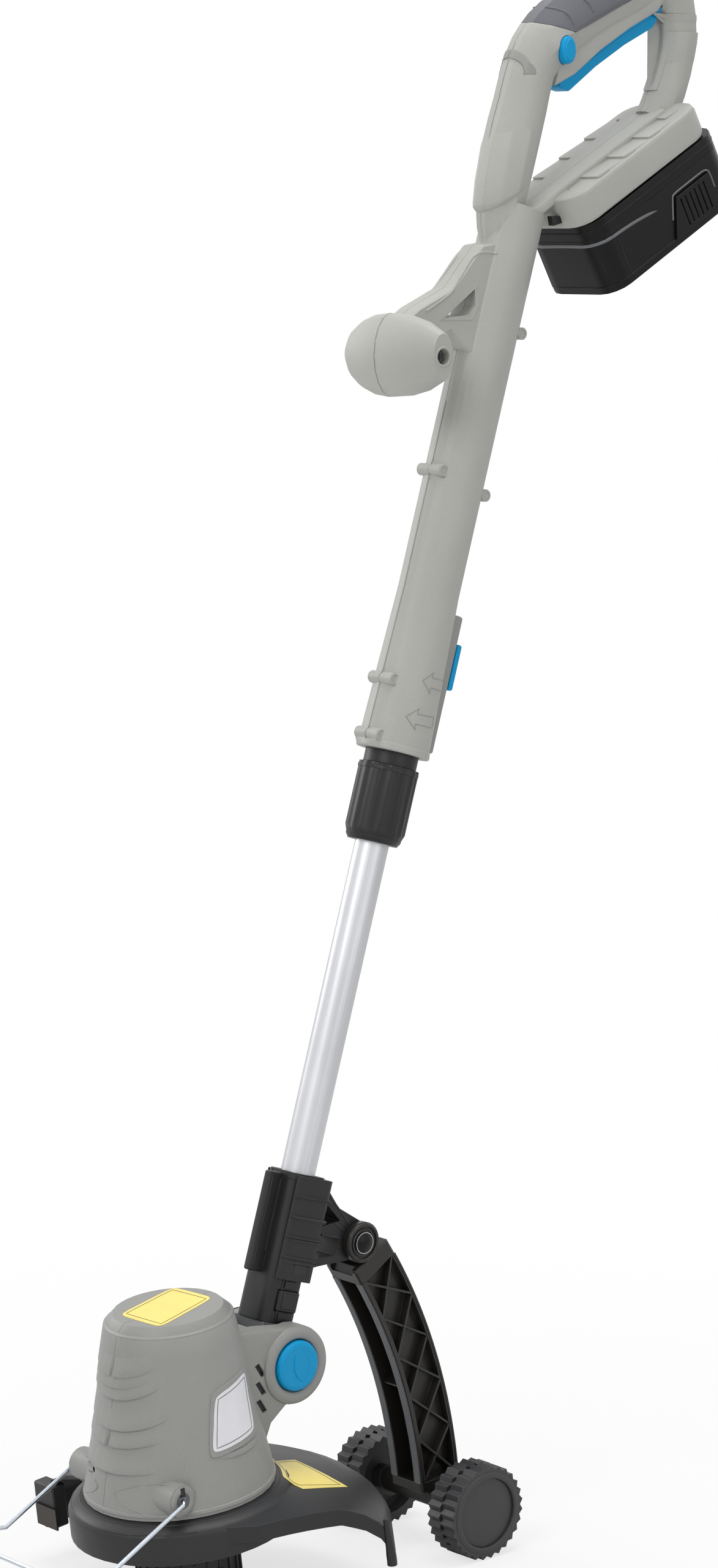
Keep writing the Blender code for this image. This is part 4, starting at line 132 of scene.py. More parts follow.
class Graph:
    """A node tree with short calls for adding and joining nodes."""

    def __init__(self, tree: bpy.types.NodeTree) -> None:
        """Starts on a node tree."""
        self.tree = tree

    def add(self, kind: str, **values: object) -> bpy.types.Node:
        """Adds a node.

        Args:
            kind: The node's type.
            **values: Its settings; names of sockets are written with _ for a space.

        Returns:
            The new node.
        """
        node = self.tree.nodes.new(kind)
        for name, value in values.items():
            if hasattr(node, name):
                setattr(node, name, value)
            else:
                node.inputs[name.replace("_", " ").title()].default_value = value
        return node

    def join(self, out: bpy.types.NodeSocket, into: bpy.types.NodeSocket) -> None:
        """Links two sockets."""
        self.tree.links.new(out, into)

    def math(self, operation: str, first: object, second: object = 0.0) -> bpy.types.NodeSocket:
        """Adds a Math node.

        Args:
            operation: The node's operation.
            first: A socket or a number.
            second: A socket or a number.

        Returns:
            The result's socket.
        """
        node = self.tree.nodes.new("ShaderNodeMath")
        node.operation = operation
        for value, into in zip((first, second), node.inputs):
            if isinstance(value, bpy.types.NodeSocket):
                self.join(value, into)
            else:
                into.default_value = value
        return node.outputs[0]

    def mixed(self, first: object, share: float, second: object, rest: float) -> bpy.types.NodeSocket:
        """Adds two values, each times its own share."""
        return self.math("ADD", self.math("MULTIPLY", first, share), self.math("MULTIPLY", second, rest))

    def noise(self, place: bpy.types.NodeSocket, **values: float) -> bpy.types.Node:
        """Adds a noise texture.

        Args:
            place: The socket of its coordinates.
            **values: Its settings.

        Returns:
            The texture's node.
        """
        node = self.add("ShaderNodeTexNoise", **values)
        self.join(place, node.inputs["Vector"])
        return node

    def bump(self, height: bpy.types.NodeSocket, shader: bpy.types.Node, strength: float,
             distance: float) -> bpy.types.Node:
        """Adds a bump from a height to a shader's normal.

        Args:
            height: The height's socket.
            shader: The shader.
            strength: The bump's strength.
            distance: The bump's depth in metres.

        Returns:
            The bump's node.
        """
        node = self.add("ShaderNodeBump", strength=strength, distance=distance)
        self.join(height, node.inputs["Height"])
        self.join(node.outputs[0], shader.inputs["Normal"])
        return node

    def ramp(self, value: bpy.types.NodeSocket, low: float, high: float) -> bpy.types.NodeSocket:
        """Maps a value between two limits to 0 and 1.

        Args:
            value: The value's socket.
            low: What becomes 0.
            high: What becomes 1.

        Returns:
            The mapped value's socket.
        """
        node = self.tree.nodes.new("ShaderNodeMapRange")
        node.inputs["From Min"].default_value = low
        node.inputs["From Max"].default_value = high
        self.join(value, node.inputs["Value"])
        return node.outputs["Result"]

    def blend(self, mode: str, share: object, first: object, second: object) -> bpy.types.NodeSocket:
        """Mixes two colours.

        Args:
            mode: How they are mixed.
            share: Share of the second, a socket or a number.
            first: A socket or a colour.
            second: A socket or a colour.

        Returns:
            The mixed colour's socket.
        """
        node = self.tree.nodes.new("ShaderNodeMix")
        node.data_type = "RGBA"
        node.blend_type = mode
        for value, into in zip((share, first, second), (node.inputs[0], node.inputs[6], node.inputs[7])):
            if isinstance(value, bpy.types.NodeSocket):
                self.join(value, into)
            elif isinstance(value, tuple):
                into.default_value = (*value, 1.0)
            else:
                into.default_value = value
        return node.outputs[2]


class Effects:
    """The node groups that several finishes share, each made once."""

    made: dict[str, bpy.types.NodeTree] = {}

    @classmethod
    def start(cls, name: str, inputs: dict[str, float | None], outputs: tuple[str, ...]) -> Graph:
        """Makes an empty group with its sockets.

        Args:
            name: The group's name.
            inputs: Each input's name and its number; None is a vector.
            outputs: Each output's name; all are numbers.

        Returns:
            The group's graph.
        """
        tree = bpy.data.node_groups.new(name, "ShaderNodeTree")
        for label, value in inputs.items():
            kind = "NodeSocketVector" if value is None else "NodeSocketFloat"
            socket = tree.interface.new_socket(label, in_out="INPUT", socket_type=kind)
            if value is not None:
                socket.default_value = value
        for label in outputs:
            tree.interface.new_socket(label, in_out="OUTPUT", socket_type="NodeSocketFloat")
        cls.made[name] = tree
        return Graph(tree)

    @classmethod
    def grain(cls) -> bpy.types.NodeTree:
        """Fine moulded grain over a slow drift of tone: a height and two tone masks.

        Returns:
            The group.
        """
        if "moulded_grain" in cls.made:
            return cls.made["moulded_grain"]
        graph = cls.start("moulded_grain", {"Place": None, "Scale": 900.0}, ("Height", "Tone", "Drift"))
        source = graph.add("NodeGroupInput")
        fine = graph.noise(source.outputs["Place"], detail=3.0, roughness=0.6)
        graph.join(source.outputs["Scale"], fine.inputs["Scale"])
        pits = graph.add("ShaderNodeTexVoronoi", feature="SMOOTH_F1")
        graph.join(source.outputs["Place"], pits.inputs["Vector"])
        graph.join(graph.math("MULTIPLY", source.outputs["Scale"], 0.6), pits.inputs["Scale"])
        slow = graph.noise(source.outputs["Place"], scale=14.0, detail=2.0)
        sink = graph.add("NodeGroupOutput")
        graph.join(graph.mixed(fine.outputs[0], 0.7, pits.outputs["Distance"], 0.5), sink.inputs["Height"])
        graph.join(graph.ramp(fine.outputs[0], 0.35, 0.65), sink.inputs["Tone"])
        graph.join(graph.ramp(slow.outputs[0], 0.3, 0.7), sink.inputs["Drift"])
        return graph.tree

    @classmethod
    def edge_wear_and_highlight(cls) -> bpy.types.NodeTree:
        """A mask of the outer edges, broken up in patches: partly scuffing from use, partly a painted
        highlight along the edges.

        Returns:
            The group.
        """
        if "edge_wear_and_highlight" in cls.made:
            return cls.made["edge_wear_and_highlight"]
        graph = cls.start("edge_wear_and_highlight", {"Place": None, "Reach": 0.0009}, ("Mask",))
        source = graph.add("NodeGroupInput")
        round_edge = graph.add("ShaderNodeBevel", samples=4)
        graph.join(source.outputs["Reach"], round_edge.inputs["Radius"])
        true_side = graph.add("ShaderNodeNewGeometry")
        dot = graph.add("ShaderNodeVectorMath", operation="DOT_PRODUCT")
        graph.join(round_edge.outputs[0], dot.inputs[0])
        graph.join(true_side.outputs["Normal"], dot.inputs[1])
        edge = graph.ramp(graph.math("SUBTRACT", 1.0, dot.outputs["Value"]), 0.004, 0.09)
        patches = graph.noise(source.outputs["Place"], scale=60.0, detail=4.0)
        paling_mask = graph.ramp(patches.outputs[0], 0.35, 0.62)
        sink = graph.add("NodeGroupOutput")
        graph.join(graph.math("MULTIPLY", edge, paling_mask), sink.inputs["Mask"])
        return graph.tree

    @classmethod
    def scuffs(cls) -> bpy.types.NodeTree:
        """Long faint scratches and scuffed patches, as a mask.

        Returns:
            The group.
        """
        if "scuffs" in cls.made:
            return cls.made["scuffs"]
        graph = cls.start("scuffs", {"Place": None, "Scale": 30.0}, ("Mask",))
        source = graph.add("NodeGroupInput")
        stretch = graph.add("ShaderNodeMapping")
        stretch.inputs["Scale"].default_value = (6.0, 1.0, 0.35)
        graph.join(source.outputs["Place"], stretch.inputs["Vector"])
        lines = graph.noise(stretch.outputs[0], detail=6.0, roughness=0.7)
        graph.join(source.outputs["Scale"], lines.inputs["Scale"])
        sink = graph.add("NodeGroupOutput")
        graph.join(graph.ramp(lines.outputs[0], 0.56, 0.72), sink.inputs["Mask"])
        return graph.tree


def group_node(graph: Graph, tree: bpy.types.NodeTree, place: bpy.types.NodeSocket,
               **values: float) -> bpy.types.Node:
    """Puts a shared group into a material.

    Args:
        graph: The material's graph.
        tree: The group.
        place: The socket with the surface's coordinates.
        **values: The group's other inputs.

    Returns:
        The group's node.
    """
    node = graph.add("ShaderNodeGroup")
    node.node_tree = tree
    graph.join(place, node.inputs["Place"])
    for name, value in values.items():
        node.inputs[name].default_value = value
    return node


# Finishes

def blank_material(name: str) -> tuple[bpy.types.Material, Graph, bpy.types.Node, bpy.types.NodeSocket]:
    """Starts a material.

    Args:
        name: The material's name.

    Returns:
        The material, its graph, its shader and the socket of object coordinates.
    """
    material = bpy.data.materials.new(name)
    material.use_nodes = True
    graph = Graph(material.node_tree)
    shader = material.node_tree.nodes["Principled BSDF"]
    place = graph.add("ShaderNodeTexCoord")
    return material, graph, shader, place.outputs["Object"]


@dataclass(frozen=True)
class Moulded:
    """Moulded plastic: a base colour with fine grain, a slow drift of tone and paler edges, partly scuffing
    and partly painted highlight.
    """

    name: str
    colour: Colour
    roughness: float = 0.5
    grain_scale: float = 1100.0
    grain_depth: float = 0.05 * MM
    tone: float = 0.08
    edge_paling: float = 0.35
    edge: float = 0.6 * MM
    specular: float = 0.5

    def build(self) -> bpy.types.Material:
        """Makes the material.

        Returns:
            The material.
        """
        material, graph, shader, place = blank_material(self.name)
        grain = group_node(graph, Effects.grain(), place, Scale=self.grain_scale)
        paling_group = group_node(graph, Effects.edge_wear_and_highlight(), place, Reach=1.5 * self.edge)
        scuffs = group_node(graph, Effects.scuffs(), place)
        dark = tuple(c * (1 - self.tone) for c in self.colour)
        light = tuple(min(1.0, c * (1 + self.tone)) for c in self.colour)
        pale = tuple(min(1.0, c + 0.06 + 0.5 * c) for c in self.colour)
        tone = graph.mixed(grain.outputs["Tone"], 0.5, grain.outputs["Drift"], 0.5)
        mixed = graph.blend("MIX", tone, dark, light)
        # Paler edges: partly scuffing from use, partly a painted highlight along every outer edge.
        paling_mask = graph.math("MULTIPLY", paling_group.outputs["Mask"], self.edge_paling)
        coloured = graph.blend("MIX", paling_mask, mixed, pale)
        marked = graph.blend("MIX", graph.math("MULTIPLY", scuffs.outputs["Mask"], 0.05), coloured, pale)
        graph.join(marked, shader.inputs["Base Color"])
        rough = graph.math("ADD", graph.math("MULTIPLY", grain.outputs["Drift"], 0.08), self.roughness - 0.04)
        polished = graph.math("SUBTRACT", rough, graph.math("MULTIPLY", paling_group.outputs["Mask"], 0.08))
        graph.join(polished, shader.inputs["Roughness"])
        soft_edge = graph.add("ShaderNodeBevel", samples=4, radius=self.edge)
        bump = graph.bump(grain.outputs["Height"], shader, strength=0.6, distance=self.grain_depth)
        graph.join(soft_edge.outputs[0], bump.inputs["Normal"])
        shader.inputs["Specular IOR Level"].default_value = self.specular
        return material


@dataclass(frozen=True)
class SoftTouch:
    """Soft overmoulded rubber: matt, with a velvety sheen."""

    name: str
    colour: Colour
    roughness: float = 0.72

    def build(self) -> bpy.types.Material:
        """Makes the material.

        Returns:
            The material.
        """
        material, graph, shader, place = blank_material(self.name)
        grain = group_node(graph, Effects.grain(), place, Scale=1600.0)
        dark = tuple(c * 0.9 for c in self.colour)
        light = tuple(c * 1.15 for c in self.colour)
        graph.join(graph.blend("MIX", grain.outputs["Drift"], dark, light), shader.inputs["Base Color"])
        rough = graph.math("ADD", graph.math("MULTIPLY", grain.outputs["Tone"], 0.08), self.roughness)
        graph.join(rough, shader.inputs["Roughness"])
        graph.bump(grain.outputs["Height"], shader, strength=0.5, distance=0.05 * MM)
        shader.inputs["Sheen Weight"].default_value = 0.25
        shader.inputs["Sheen Roughness"].default_value = 0.5
        return material


class MetalWork(Enum):
    """How a metal surface was made."""

    DRAWN = "drawn"
    PLATED = "plated"
    TURNED = "turned"


@dataclass(frozen=True)
class Metal:
    """Bare or plated metal with the marks of how it was made."""

    name: str
    colour: Colour
    work: MetalWork
    roughness: float = 0.3
    metallic: float = 1.0

    def stretch(self) -> Point3:
        """How the marks are stretched along each axis."""
        return {MetalWork.DRAWN: (900.0, 900.0, 6.0), MetalWork.PLATED: (500.0, 500.0, 500.0),
                MetalWork.TURNED: (1500.0, 40.0, 40.0)}[self.work]

    def build(self) -> bpy.types.Material:
        """Makes the material.

        Returns:
            The material.
        """
        material, graph, shader, place = blank_material(self.name)
        turn = graph.add("ShaderNodeMapping")
        turn.inputs["Rotation"].default_value = (math.radians(-POLE.tilt), 0.0, 0.0)
        graph.join(place, turn.inputs["Vector"])
        spread = graph.add("ShaderNodeMapping")
        spread.inputs["Scale"].default_value = self.stretch()
        graph.join(turn.outputs[0], spread.inputs["Vector"])
        marks = graph.noise(spread.outputs[0], scale=1.0, detail=3.0)
        slow = graph.noise(place, scale=20.0, detail=2.0)
        dark = tuple(c * 0.88 for c in self.colour)
        light = tuple(min(1.0, c * 1.08) for c in self.colour)
        both = graph.mixed(marks.outputs[0], 0.6, slow.outputs[0], 0.4)
        graph.join(graph.blend("MIX", graph.ramp(both, 0.3, 0.7), dark, light), shader.inputs["Base Color"])
        rough = graph.math("ADD", graph.math("MULTIPLY", marks.outputs[0], 0.14), self.roughness - 0.07)
        graph.join(rough, shader.inputs["Roughness"])
        graph.bump(marks.outputs[0], shader, strength=0.25, distance=0.02 * MM)
        shader.inputs["Metallic"].default_value = self.metallic
        return material


@dataclass(frozen=True)
class Film:
    """A printed label film: smooth, with faint ripples and a slightly faded tone."""

    name: str
    colour: Colour
    roughness: float = 0.34

    def build(self) -> bpy.types.Material:
        """Makes the material.

        Returns:
            The material.
        """
        material, graph, shader, place = blank_material(self.name)
        slow = graph.noise(place, scale=40.0, detail=2.0)
        dust = graph.noise(place, scale=700.0, detail=2.0)
        faded = tuple(c * 0.93 for c in self.colour)
        tone = graph.ramp(slow.outputs[0], 0.3, 0.7)
        mixed = graph.blend("MIX", tone, faded, self.colour)
        specks = graph.math("MULTIPLY", graph.ramp(dust.outputs[0], 0.62, 0.75), 0.12)
        graph.join(graph.blend("MIX", specks, mixed, tuple(c * 0.7 for c in self.colour)),
                   shader.inputs["Base Color"])
        graph.join(graph.math("ADD", graph.math("MULTIPLY", slow.outputs[0], 0.1), self.roughness - 0.05),
                   shader.inputs["Roughness"])
        graph.bump(slow.outputs[0], shader, strength=0.2, distance=0.1 * MM)
        return material


class Finish(Enum):
    """Each finish on the trimmer; its value is its slot's name."""

    LIGHT = "light_plastic"
    MID = "mid_plastic"
    DARK = "dark_plastic"
    BLACK = "black_plastic"
    GUARD = "guard_plastic"
    LEG = "leg_plastic"
    WHEEL = "wheel_plastic"
    BATTERY = "battery_plastic"
    GRIP = "soft_grip"
    BLUE = "blue_plastic"
    TUBE = "tube_alloy"
    SCREW = "screw_steel"
    PIN = "pin_steel"
    WIRE = "wire_steel"
    BLADE = "blade_steel"
    CAN = "motor_can"
    CELL = "cell_can"
    LINE = "cutting_line"
    YELLOW = "yellow_label"
    WHITE = "white_label"
    INK = "label_border"


RECIPES = {
    Finish.LIGHT: Moulded("light_grey_plastic", srgb(168, 168, 163), 0.5, edge_paling=0.25),
    Finish.MID: Moulded("mid_grey_plastic", srgb(143, 143, 140), 0.48, edge_paling=0.25),
    Finish.DARK: Moulded("dark_grey_plastic", srgb(98, 100, 103), 0.5),
    Finish.BLACK: Moulded("black_plastic", srgb(31, 31, 33), 0.4, specular=0.35),
    Finish.GUARD: Moulded("guard_black_plastic", srgb(32, 32, 34), 0.45, grain_scale=800.0, specular=0.42),
    Finish.LEG: Moulded("leg_black_plastic", srgb(34, 32, 30), 0.38, edge_paling=0.5, specular=0.4),
    Finish.WHEEL: Moulded("wheel_black_plastic", srgb(50, 50, 52), 0.5),
    Finish.BATTERY: Moulded("battery_black_plastic", srgb(19, 18, 18), 0.32, specular=0.18),
    Finish.GRIP: SoftTouch("soft_grip_rubber", srgb(92, 93, 99)),
    Finish.BLUE: Moulded("blue_satin_plastic", srgb(0, 150, 205), 0.42, specular=0.25, edge_paling=0.1, tone=0.05),
    Finish.TUBE: Metal("drawn_alloy_tube", srgb(205, 206, 209), MetalWork.DRAWN, 0.36, 0.85),
    Finish.SCREW: Metal("zinc_plated_screw", srgb(170, 170, 172), MetalWork.PLATED, 0.32),
    Finish.PIN: Metal("turned_steel_pin", srgb(185, 185, 187), MetalWork.TURNED, 0.28),
    Finish.WIRE: Metal("zinc_plated_wire", srgb(192, 199, 207), MetalWork.PLATED, 0.3),
    Finish.BLADE: Metal("oiled_blade_steel", srgb(74, 70, 66), MetalWork.DRAWN, 0.4),
    Finish.CAN: Metal("motor_can_steel", srgb(175, 175, 176), MetalWork.TURNED, 0.35),
    Finish.CELL: Film("cell_sleeve_film", srgb(70, 130, 90), 0.3),
    Finish.LINE: Moulded("nylon_line", srgb(215, 215, 208), 0.3, grain_scale=300.0, edge_paling=0.0),
    Finish.YELLOW: Film("yellow_label_film", srgb(250, 228, 118)),
    Finish.WHITE: Film("white_label_film", srgb(228, 228, 232)),
    Finish.INK: Film("label_border_ink", srgb(40, 40, 42), 0.4),
}


class Paints:
    """Makes each finish's material once."""

    made: dict[Finish, bpy.types.Material] = {}

    @classmethod
    def get(cls, finish: Finish) -> bpy.types.Material:
        """The material of a finish.

        Args:
            finish: The finish.

        Returns:
            Its material.
        """
        if finish not in cls.made:
            cls.made[finish] = RECIPES[finish].build()
        return cls.made[finish]


# Making and placing pieces

def dress_nodes(finish: Finish, *names: str) -> None:
    """Gives CAD nodes their finish.

    Args:
        finish: The finish.
        *names: The nodes.
    """
    for name in names:
        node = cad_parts[name]
        node.data.materials.clear()
        node.data.materials.append(Paints.get(finish))
        smooth_node(node)
        LOG.info("node %s: %s", name, finish.value)


def smooth_node(node: bpy.types.Object) -> None:
    """Shades a node's curved faces smooth, also across the plane where two half shells meet.

    Args:
        node: The node; its faces don't share vertices, so those at one place are taken together.
    """
    mesh = node.data
    mesh.shade_smooth()
    places = [tuple(round(value, 6) for value in vertex.co) for vertex in mesh.vertices]
    around: dict[tuple[float, ...], list[Vector]] = defaultdict(list)
    for face in mesh.polygons:
        for vertex in face.vertices:
            around[places[vertex]].append(face.normal * face.area)
    limit = math.cos(math.radians(NODE_SMOOTHING))
    normals = []
    for face in mesh.polygons:
        for vertex in face.vertices:
            total = Vector((0.0, 0.0, 0.0))
            for other in around[places[vertex]]:
                if other.dot(face.normal) > limit * other.length:
                    total += other
            if abs(places[vertex][0]) < SEAM_HALF and abs(face.normal.x) < SEAM_TURN:
                total.x = 0.0
            normals.append(total.normalized())
    mesh.normals_split_custom_set(normals)


def install(piece: bpy.types.Object, name: str, body: str, finish: Finish) -> bpy.types.Object:
    """Names, dresses and fixes a piece to its body.

    Args:
        piece: The piece, in place.
        name: Its name.
        body: The body that it rides on.
        finish: Its finish.

    Returns:
        The piece.
    """
    piece.name = name
    piece.data.name = name
    piece.data.materials.clear()
    piece.data.materials.append(Paints.get(finish))
    piece.data.shade_smooth()
    piece.data.set_sharp_from_angle(angle=math.radians(PIECE_SMOOTHING))
    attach(piece, body)
    LOG.info("piece %s on %s", name, body)
    return piece


def mesh_piece(bm: bmesh.types.BMesh, matrix: Matrix) -> bpy.types.Object:
    """Turns a bmesh into an object of the scene.

    Args:
        bm: The mesh, in metres of its frame.
        matrix: The frame's matrix.

    Returns:
        The object, with its mesh in model coordinates.
    """
    bmesh.ops.recalc_face_normals(bm, faces=bm.faces)
    bm.transform(matrix)
    mesh = bpy.data.meshes.new("piece")
    bm.to_mesh(mesh)
    bm.free()
    piece = bpy.data.objects.new("piece", mesh)
    bpy.context.scene.collection.objects.link(piece)
    return piece


def round_off(piece: bpy.types.Object, width: float, segments: int = 2) -> bpy.types.Object:
    """Rounds a piece's sharp edges.

    Args:
        piece: The piece.
        width: Bevel width in millimetres.
        segments: Steps of the rounding.

    Returns:
        The piece.
    """
    bevel = piece.modifiers.new("rounding", "BEVEL")
    bevel.width = width * MM
    bevel.segments = segments
    bevel.limit_method = "ANGLE"
    bevel.angle_limit = math.radians(PIECE_SMOOTHING)
    return piece


def span(side: int, near: float, far: float) -> Point2:
    """Two distances out on one side, as a lower and a higher X."""
    return min(side * near, side * far), max(side * near, side * far)


def slab(place: Place, outline: Outline, low: float, high: float) -> bpy.types.Object:
    """A flat outline made thick along X.

    Args:
        place: The frame it lies in.
        outline: Its corners as (back, up) in millimetres.
        low: Start of its thickness in millimetres.
        high: End of its thickness in millimetres.

    Returns:
        The slab.
    """
    bm = bmesh.new()
    lower = [bm.verts.new(Vector((low, *spot)) * MM) for spot in outline]
    upper = [bm.verts.new(Vector((high, *spot)) * MM) for spot in outline]
    bm.faces.new(lower)
    bm.faces.new(upper)
    for i in range(len(outline)):
        after = (i + 1) % len(outline)
        bm.faces.new((lower[i], lower[after], upper[after], upper[i]))
    return mesh_piece(bm, place.matrix())


def turned(place: Place, centre: Point3, profile: Outline, axis: Axis = Axis.X, steps: int = 48,
           flip: bool = False) -> bpy.types.Object:
    """A solid of revolution.

    Args:
        place: The frame.
        centre: Middle of the turn in millimetres of the frame.
        profile: Closed profile of (radius, height) in millimetres.
        axis: The axis that it turns round.
        steps: Steps round the turn.
        flip: Whether heights run the other way.

    Returns:
        The turned piece.
    """
    bm = bmesh.new()
    rings = []
    for step in range(steps):
        angle = 2 * math.pi * step / steps
        ring = []
        for radius, height in profile:
            a, b = radius * math.cos(angle), radius * math.sin(angle)
            h = -height if flip else height
            spot = (h, a, b) if axis is Axis.X else (a, b, h)
            ring.append(bm.verts.new((Vector(centre) + Vector(spot)) * MM))
        rings.append(ring)
    count = len(profile)
    for step, ring in enumerate(rings):
        after = rings[(step + 1) % steps]
        for i in range(count):
            j = (i + 1) % count
            bm.faces.new((ring[i], after[i], after[j], ring[j]))
    bmesh.ops.remove_doubles(bm, verts=bm.verts, dist=WELD)
    return mesh_piece(bm, place.matrix())


def bar(place: Place, points: list[Point3], radius: float, closed: bool = False, sides: int = 4,
        radii: list[float] | None = None) -> bpy.types.Object:
    """A round bar along a path.

    Args:
        place: The frame.
        points: The path's points in millimetres.
        radius: Its radius in millimetres.
        closed: Whether the path is a ring.
        sides: Bevel resolution.
        radii: Share of the radius at each point.

    Returns:
        The bar as a mesh.
    """
    curve = bpy.data.curves.new("bar", "CURVE")
    curve.dimensions = "3D"
    curve.bevel_depth = radius * MM
    curve.bevel_resolution = sides
    curve.use_fill_caps = True
    spline = curve.splines.new("POLY")
    spline.points.add(len(points) - 1)
    matrix = place.matrix()
    for i, (knot, spot) in enumerate(zip(spline.points, points)):
        knot.co = (*(matrix @ (Vector(spot) * MM)), 1.0)
        knot.radius = radii[i] if radii else 1.0
    spline.use_cyclic_u = closed
    holder = bpy.data.objects.new("bar", curve)
    bpy.context.scene.collection.objects.link(holder)
    bpy.context.view_layer.update()
    graph = bpy.context.evaluated_depsgraph_get()
    mesh = bpy.data.meshes.new_from_object(holder.evaluated_get(graph))
    bpy.data.objects.remove(holder, do_unlink=True)
    bm = bmesh.new()
    bm.from_mesh(mesh)
    bmesh.ops.remove_doubles(bm, verts=bm.verts, dist=WELD)
    return mesh_piece(bm, Matrix.Identity(4))


def smooth_path(points: Sequence[tuple[float, ...]], steps: int) -> list[tuple[float, ...]]:
    """A smooth curve through points.

    Args:
        points: The points, of any dimension.
        steps: New points in each stretch.

    Returns:
        The curve's points.
    """
    ends = [points[0], *points, points[-1]]
    path = []
    for i in range(1, len(ends) - 2):
        a, b, c, d = (Vector(ends[j]) for j in (i - 1, i, i + 1, i + 2))
        for k in range(steps):
            t = k / steps
            path.append(tuple(0.5 * (2 * b + (c - a) * t + (2 * a - 5 * b + 4 * c - d) * t * t
                                     + (3 * b - a - 3 * c + d) * t ** 3)))
    path.append(tuple(points[-1]))
    return path


class Skin:
    """The surface of some CAD nodes, for laying thin pieces on it."""

    def __init__(self, *names: str) -> None:
        """Takes the surfaces.

        Args:
            *names: The nodes.
        """
        self.trees = []
        self.fall = 0.0
        for name in names:
            self.take(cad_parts[name])

    def take(self, piece: bpy.types.Object) -> None:
        """Adds a surface.

        Args:
            piece: The piece that it belongs to.
        """
        bm = bmesh.new()
        bm.from_mesh(piece.data)
        self.trees.append(BVHTree.FromBMesh(bm))
        bm.free()

    def falls(self, spot: Vector, towards: Vector) -> list[float]:
        """How far a point falls to each surface under it."""
        hits = [tree.ray_cast(spot, towards, LAYING_REACH)[3] for tree in self.trees]
        return [fall for fall in hits if fall is not None]

    def drop(self, spot: Vector, towards: Vector) -> Vector:
        """Lays a point on the surface; one that finds none falls as far as the last one did.

        Args:
            spot: Where it starts, in metres.
            towards: The way it falls.

        Returns:
            The place it lands on.
        """
        found = self.falls(spot, towards)
        if found:
            self.fall = min(found)
        return spot + towards * self.fall


def laid_sheet(skin: Skin, grid: list[list[Vector]], towards: Vector, thick: float) -> bpy.types.Object:
    """A thin sheet that follows the surface under it.

    Args:
        skin: The surface.
        grid: Rows of points above the surface, in metres.
        towards: The way it is laid down.
        thick: How far it stands out, in millimetres.

    Returns:
        The sheet.
    """
    landed = [[skin.drop(spot, towards) for spot in row] for row in grid]
    bm = bmesh.new()
    tops = [[bm.verts.new(spot - towards * thick * MM) for spot in row] for row in landed]
    lows = [[bm.verts.new(spot + towards * SHEET_SINK * MM) for spot in row] for row in landed]
    rows, columns = len(grid) - 1, len(grid[0]) - 1
    for i in range(rows):
        for j in range(columns):
            bm.faces.new((tops[i][j], tops[i + 1][j], tops[i + 1][j + 1], tops[i][j + 1]))
            bm.faces.new((lows[i][j], lows[i][j + 1], lows[i + 1][j + 1], lows[i + 1][j]))
    ring = rim(rows, columns, 0)
    for (i, j), (k, m) in zip(ring, ring[1:] + ring[:1]):
        bm.faces.new((tops[i][j], lows[i][j], lows[k][m], tops[k][m]))
    return mesh_piece(bm, Matrix.Identity(4))


def rim(rows: int, columns: int, inset: int) -> list[tuple[int, int]]:
    """Places round a grid, some cells in from its edge.

    Args:
        rows: Cells down the grid.
        columns: Cells across it.
        inset: How many cells in.

    Returns:
        The places in turn, as (row, column).
    """
    last, end = rows - inset, columns - inset
    path = [(i, inset) for i in range(inset, last)] + [(last, j) for j in range(inset, end)]
    return path + [(i, end) for i in range(last, inset, -1)] + [(inset, j) for j in range(end, inset, -1)]


def patch(corners: list[Vector], cells: int = 14, rounding: float = 0.12) -> list[list[Vector]]:
    """A grid between four corners, with its own corners rounded.

    Args:
        corners: The corners in turn.
        cells: Cells along each side.
        rounding: Share of a side that a corner takes.

    Returns:
        Its rows of points.
    """
    a, b, c, d = corners
    grid = []
    for i in range(cells + 1):
        row = []
        for j in range(cells + 1):
            x, y = 2 * i / cells - 1, 2 * j / cells - 1
            pull = 1 - rounding * 0.6 * (abs(x) * abs(y)) ** 6
            u, v = (x * pull + 1) / 2, (y * pull + 1) / 2
            row.append(a.lerp(b, u).lerp(d.lerp(c, u), v))
        grid.append(row)
    return grid


def evened(path: Outline, parts: int) -> list[Point2]:
    """Points along an open path, each stretch cut into equal parts."""
    spots = [(here[0] + (after[0] - here[0]) * k / parts, here[1] + (after[1] - here[1]) * k / parts)
             for here, after in zip(path, path[1:]) for k in range(parts)]
    return spots + [path[-1]]


def evened_ring(path: Outline, parts: int) -> list[Point2]:
    """Points round a closed path, each side cut into equal parts."""
    return evened(path + path[:1], parts)[:-1]


def oblong(first: Point2, second: Point2) -> list[Point2]:
    """The rectangle between two opposite corners, as (back, up)."""
    (back, low), (end, high) = first, second
    return [(back, low), (back, high), (end, high), (end, low)]


def laid_line(skin: Skin, points: list[Vector], towards: Vector, radius: float, closed: bool = False,
              sink: float = 0.4) -> bpy.types.Object:
    """A thin raised line along the surface.

    Args:
        skin: The surface.
        points: The line's points above the surface, in metres.
        towards: The way it is laid down.
        radius: Its radius in millimetres.
        closed: Whether it is a ring.
        sink: Share of the radius that lies below the surface.

    Returns:
        The line as a bar.
    """
    met = [spot for spot in points if skin.falls(spot, towards)]
    laid = [skin.drop(spot, towards) + towards * radius * sink * MM for spot in met]
    return bar(WORLD, [tuple(spot / MM) for spot in laid], radius, closed, 2)


def side_line(skin: Skin, place: Place, points: Outline, side: int, radius: float, closed: bool = False,
              sink: float = 0.4) -> bpy.types.Object:
    """A raised line on the trimmer's left or right side.

    Args:
        skin: The surface.
        place: The frame of its points.
        points: Its points as (back, up) in millimetres.
        side: 1 for the right side, -1 for the left.
        radius: Its radius in millimetres.
        closed: Whether it is a ring.
        sink: Share of the radius that lies below the surface.

    Returns:
        The line.
    """
    spots = [place.point(side * SIDE_START, back, up) for back, up in points]
    return laid_line(skin, spots, Vector((-side, 0.0, 0.0)), radius, closed, sink)


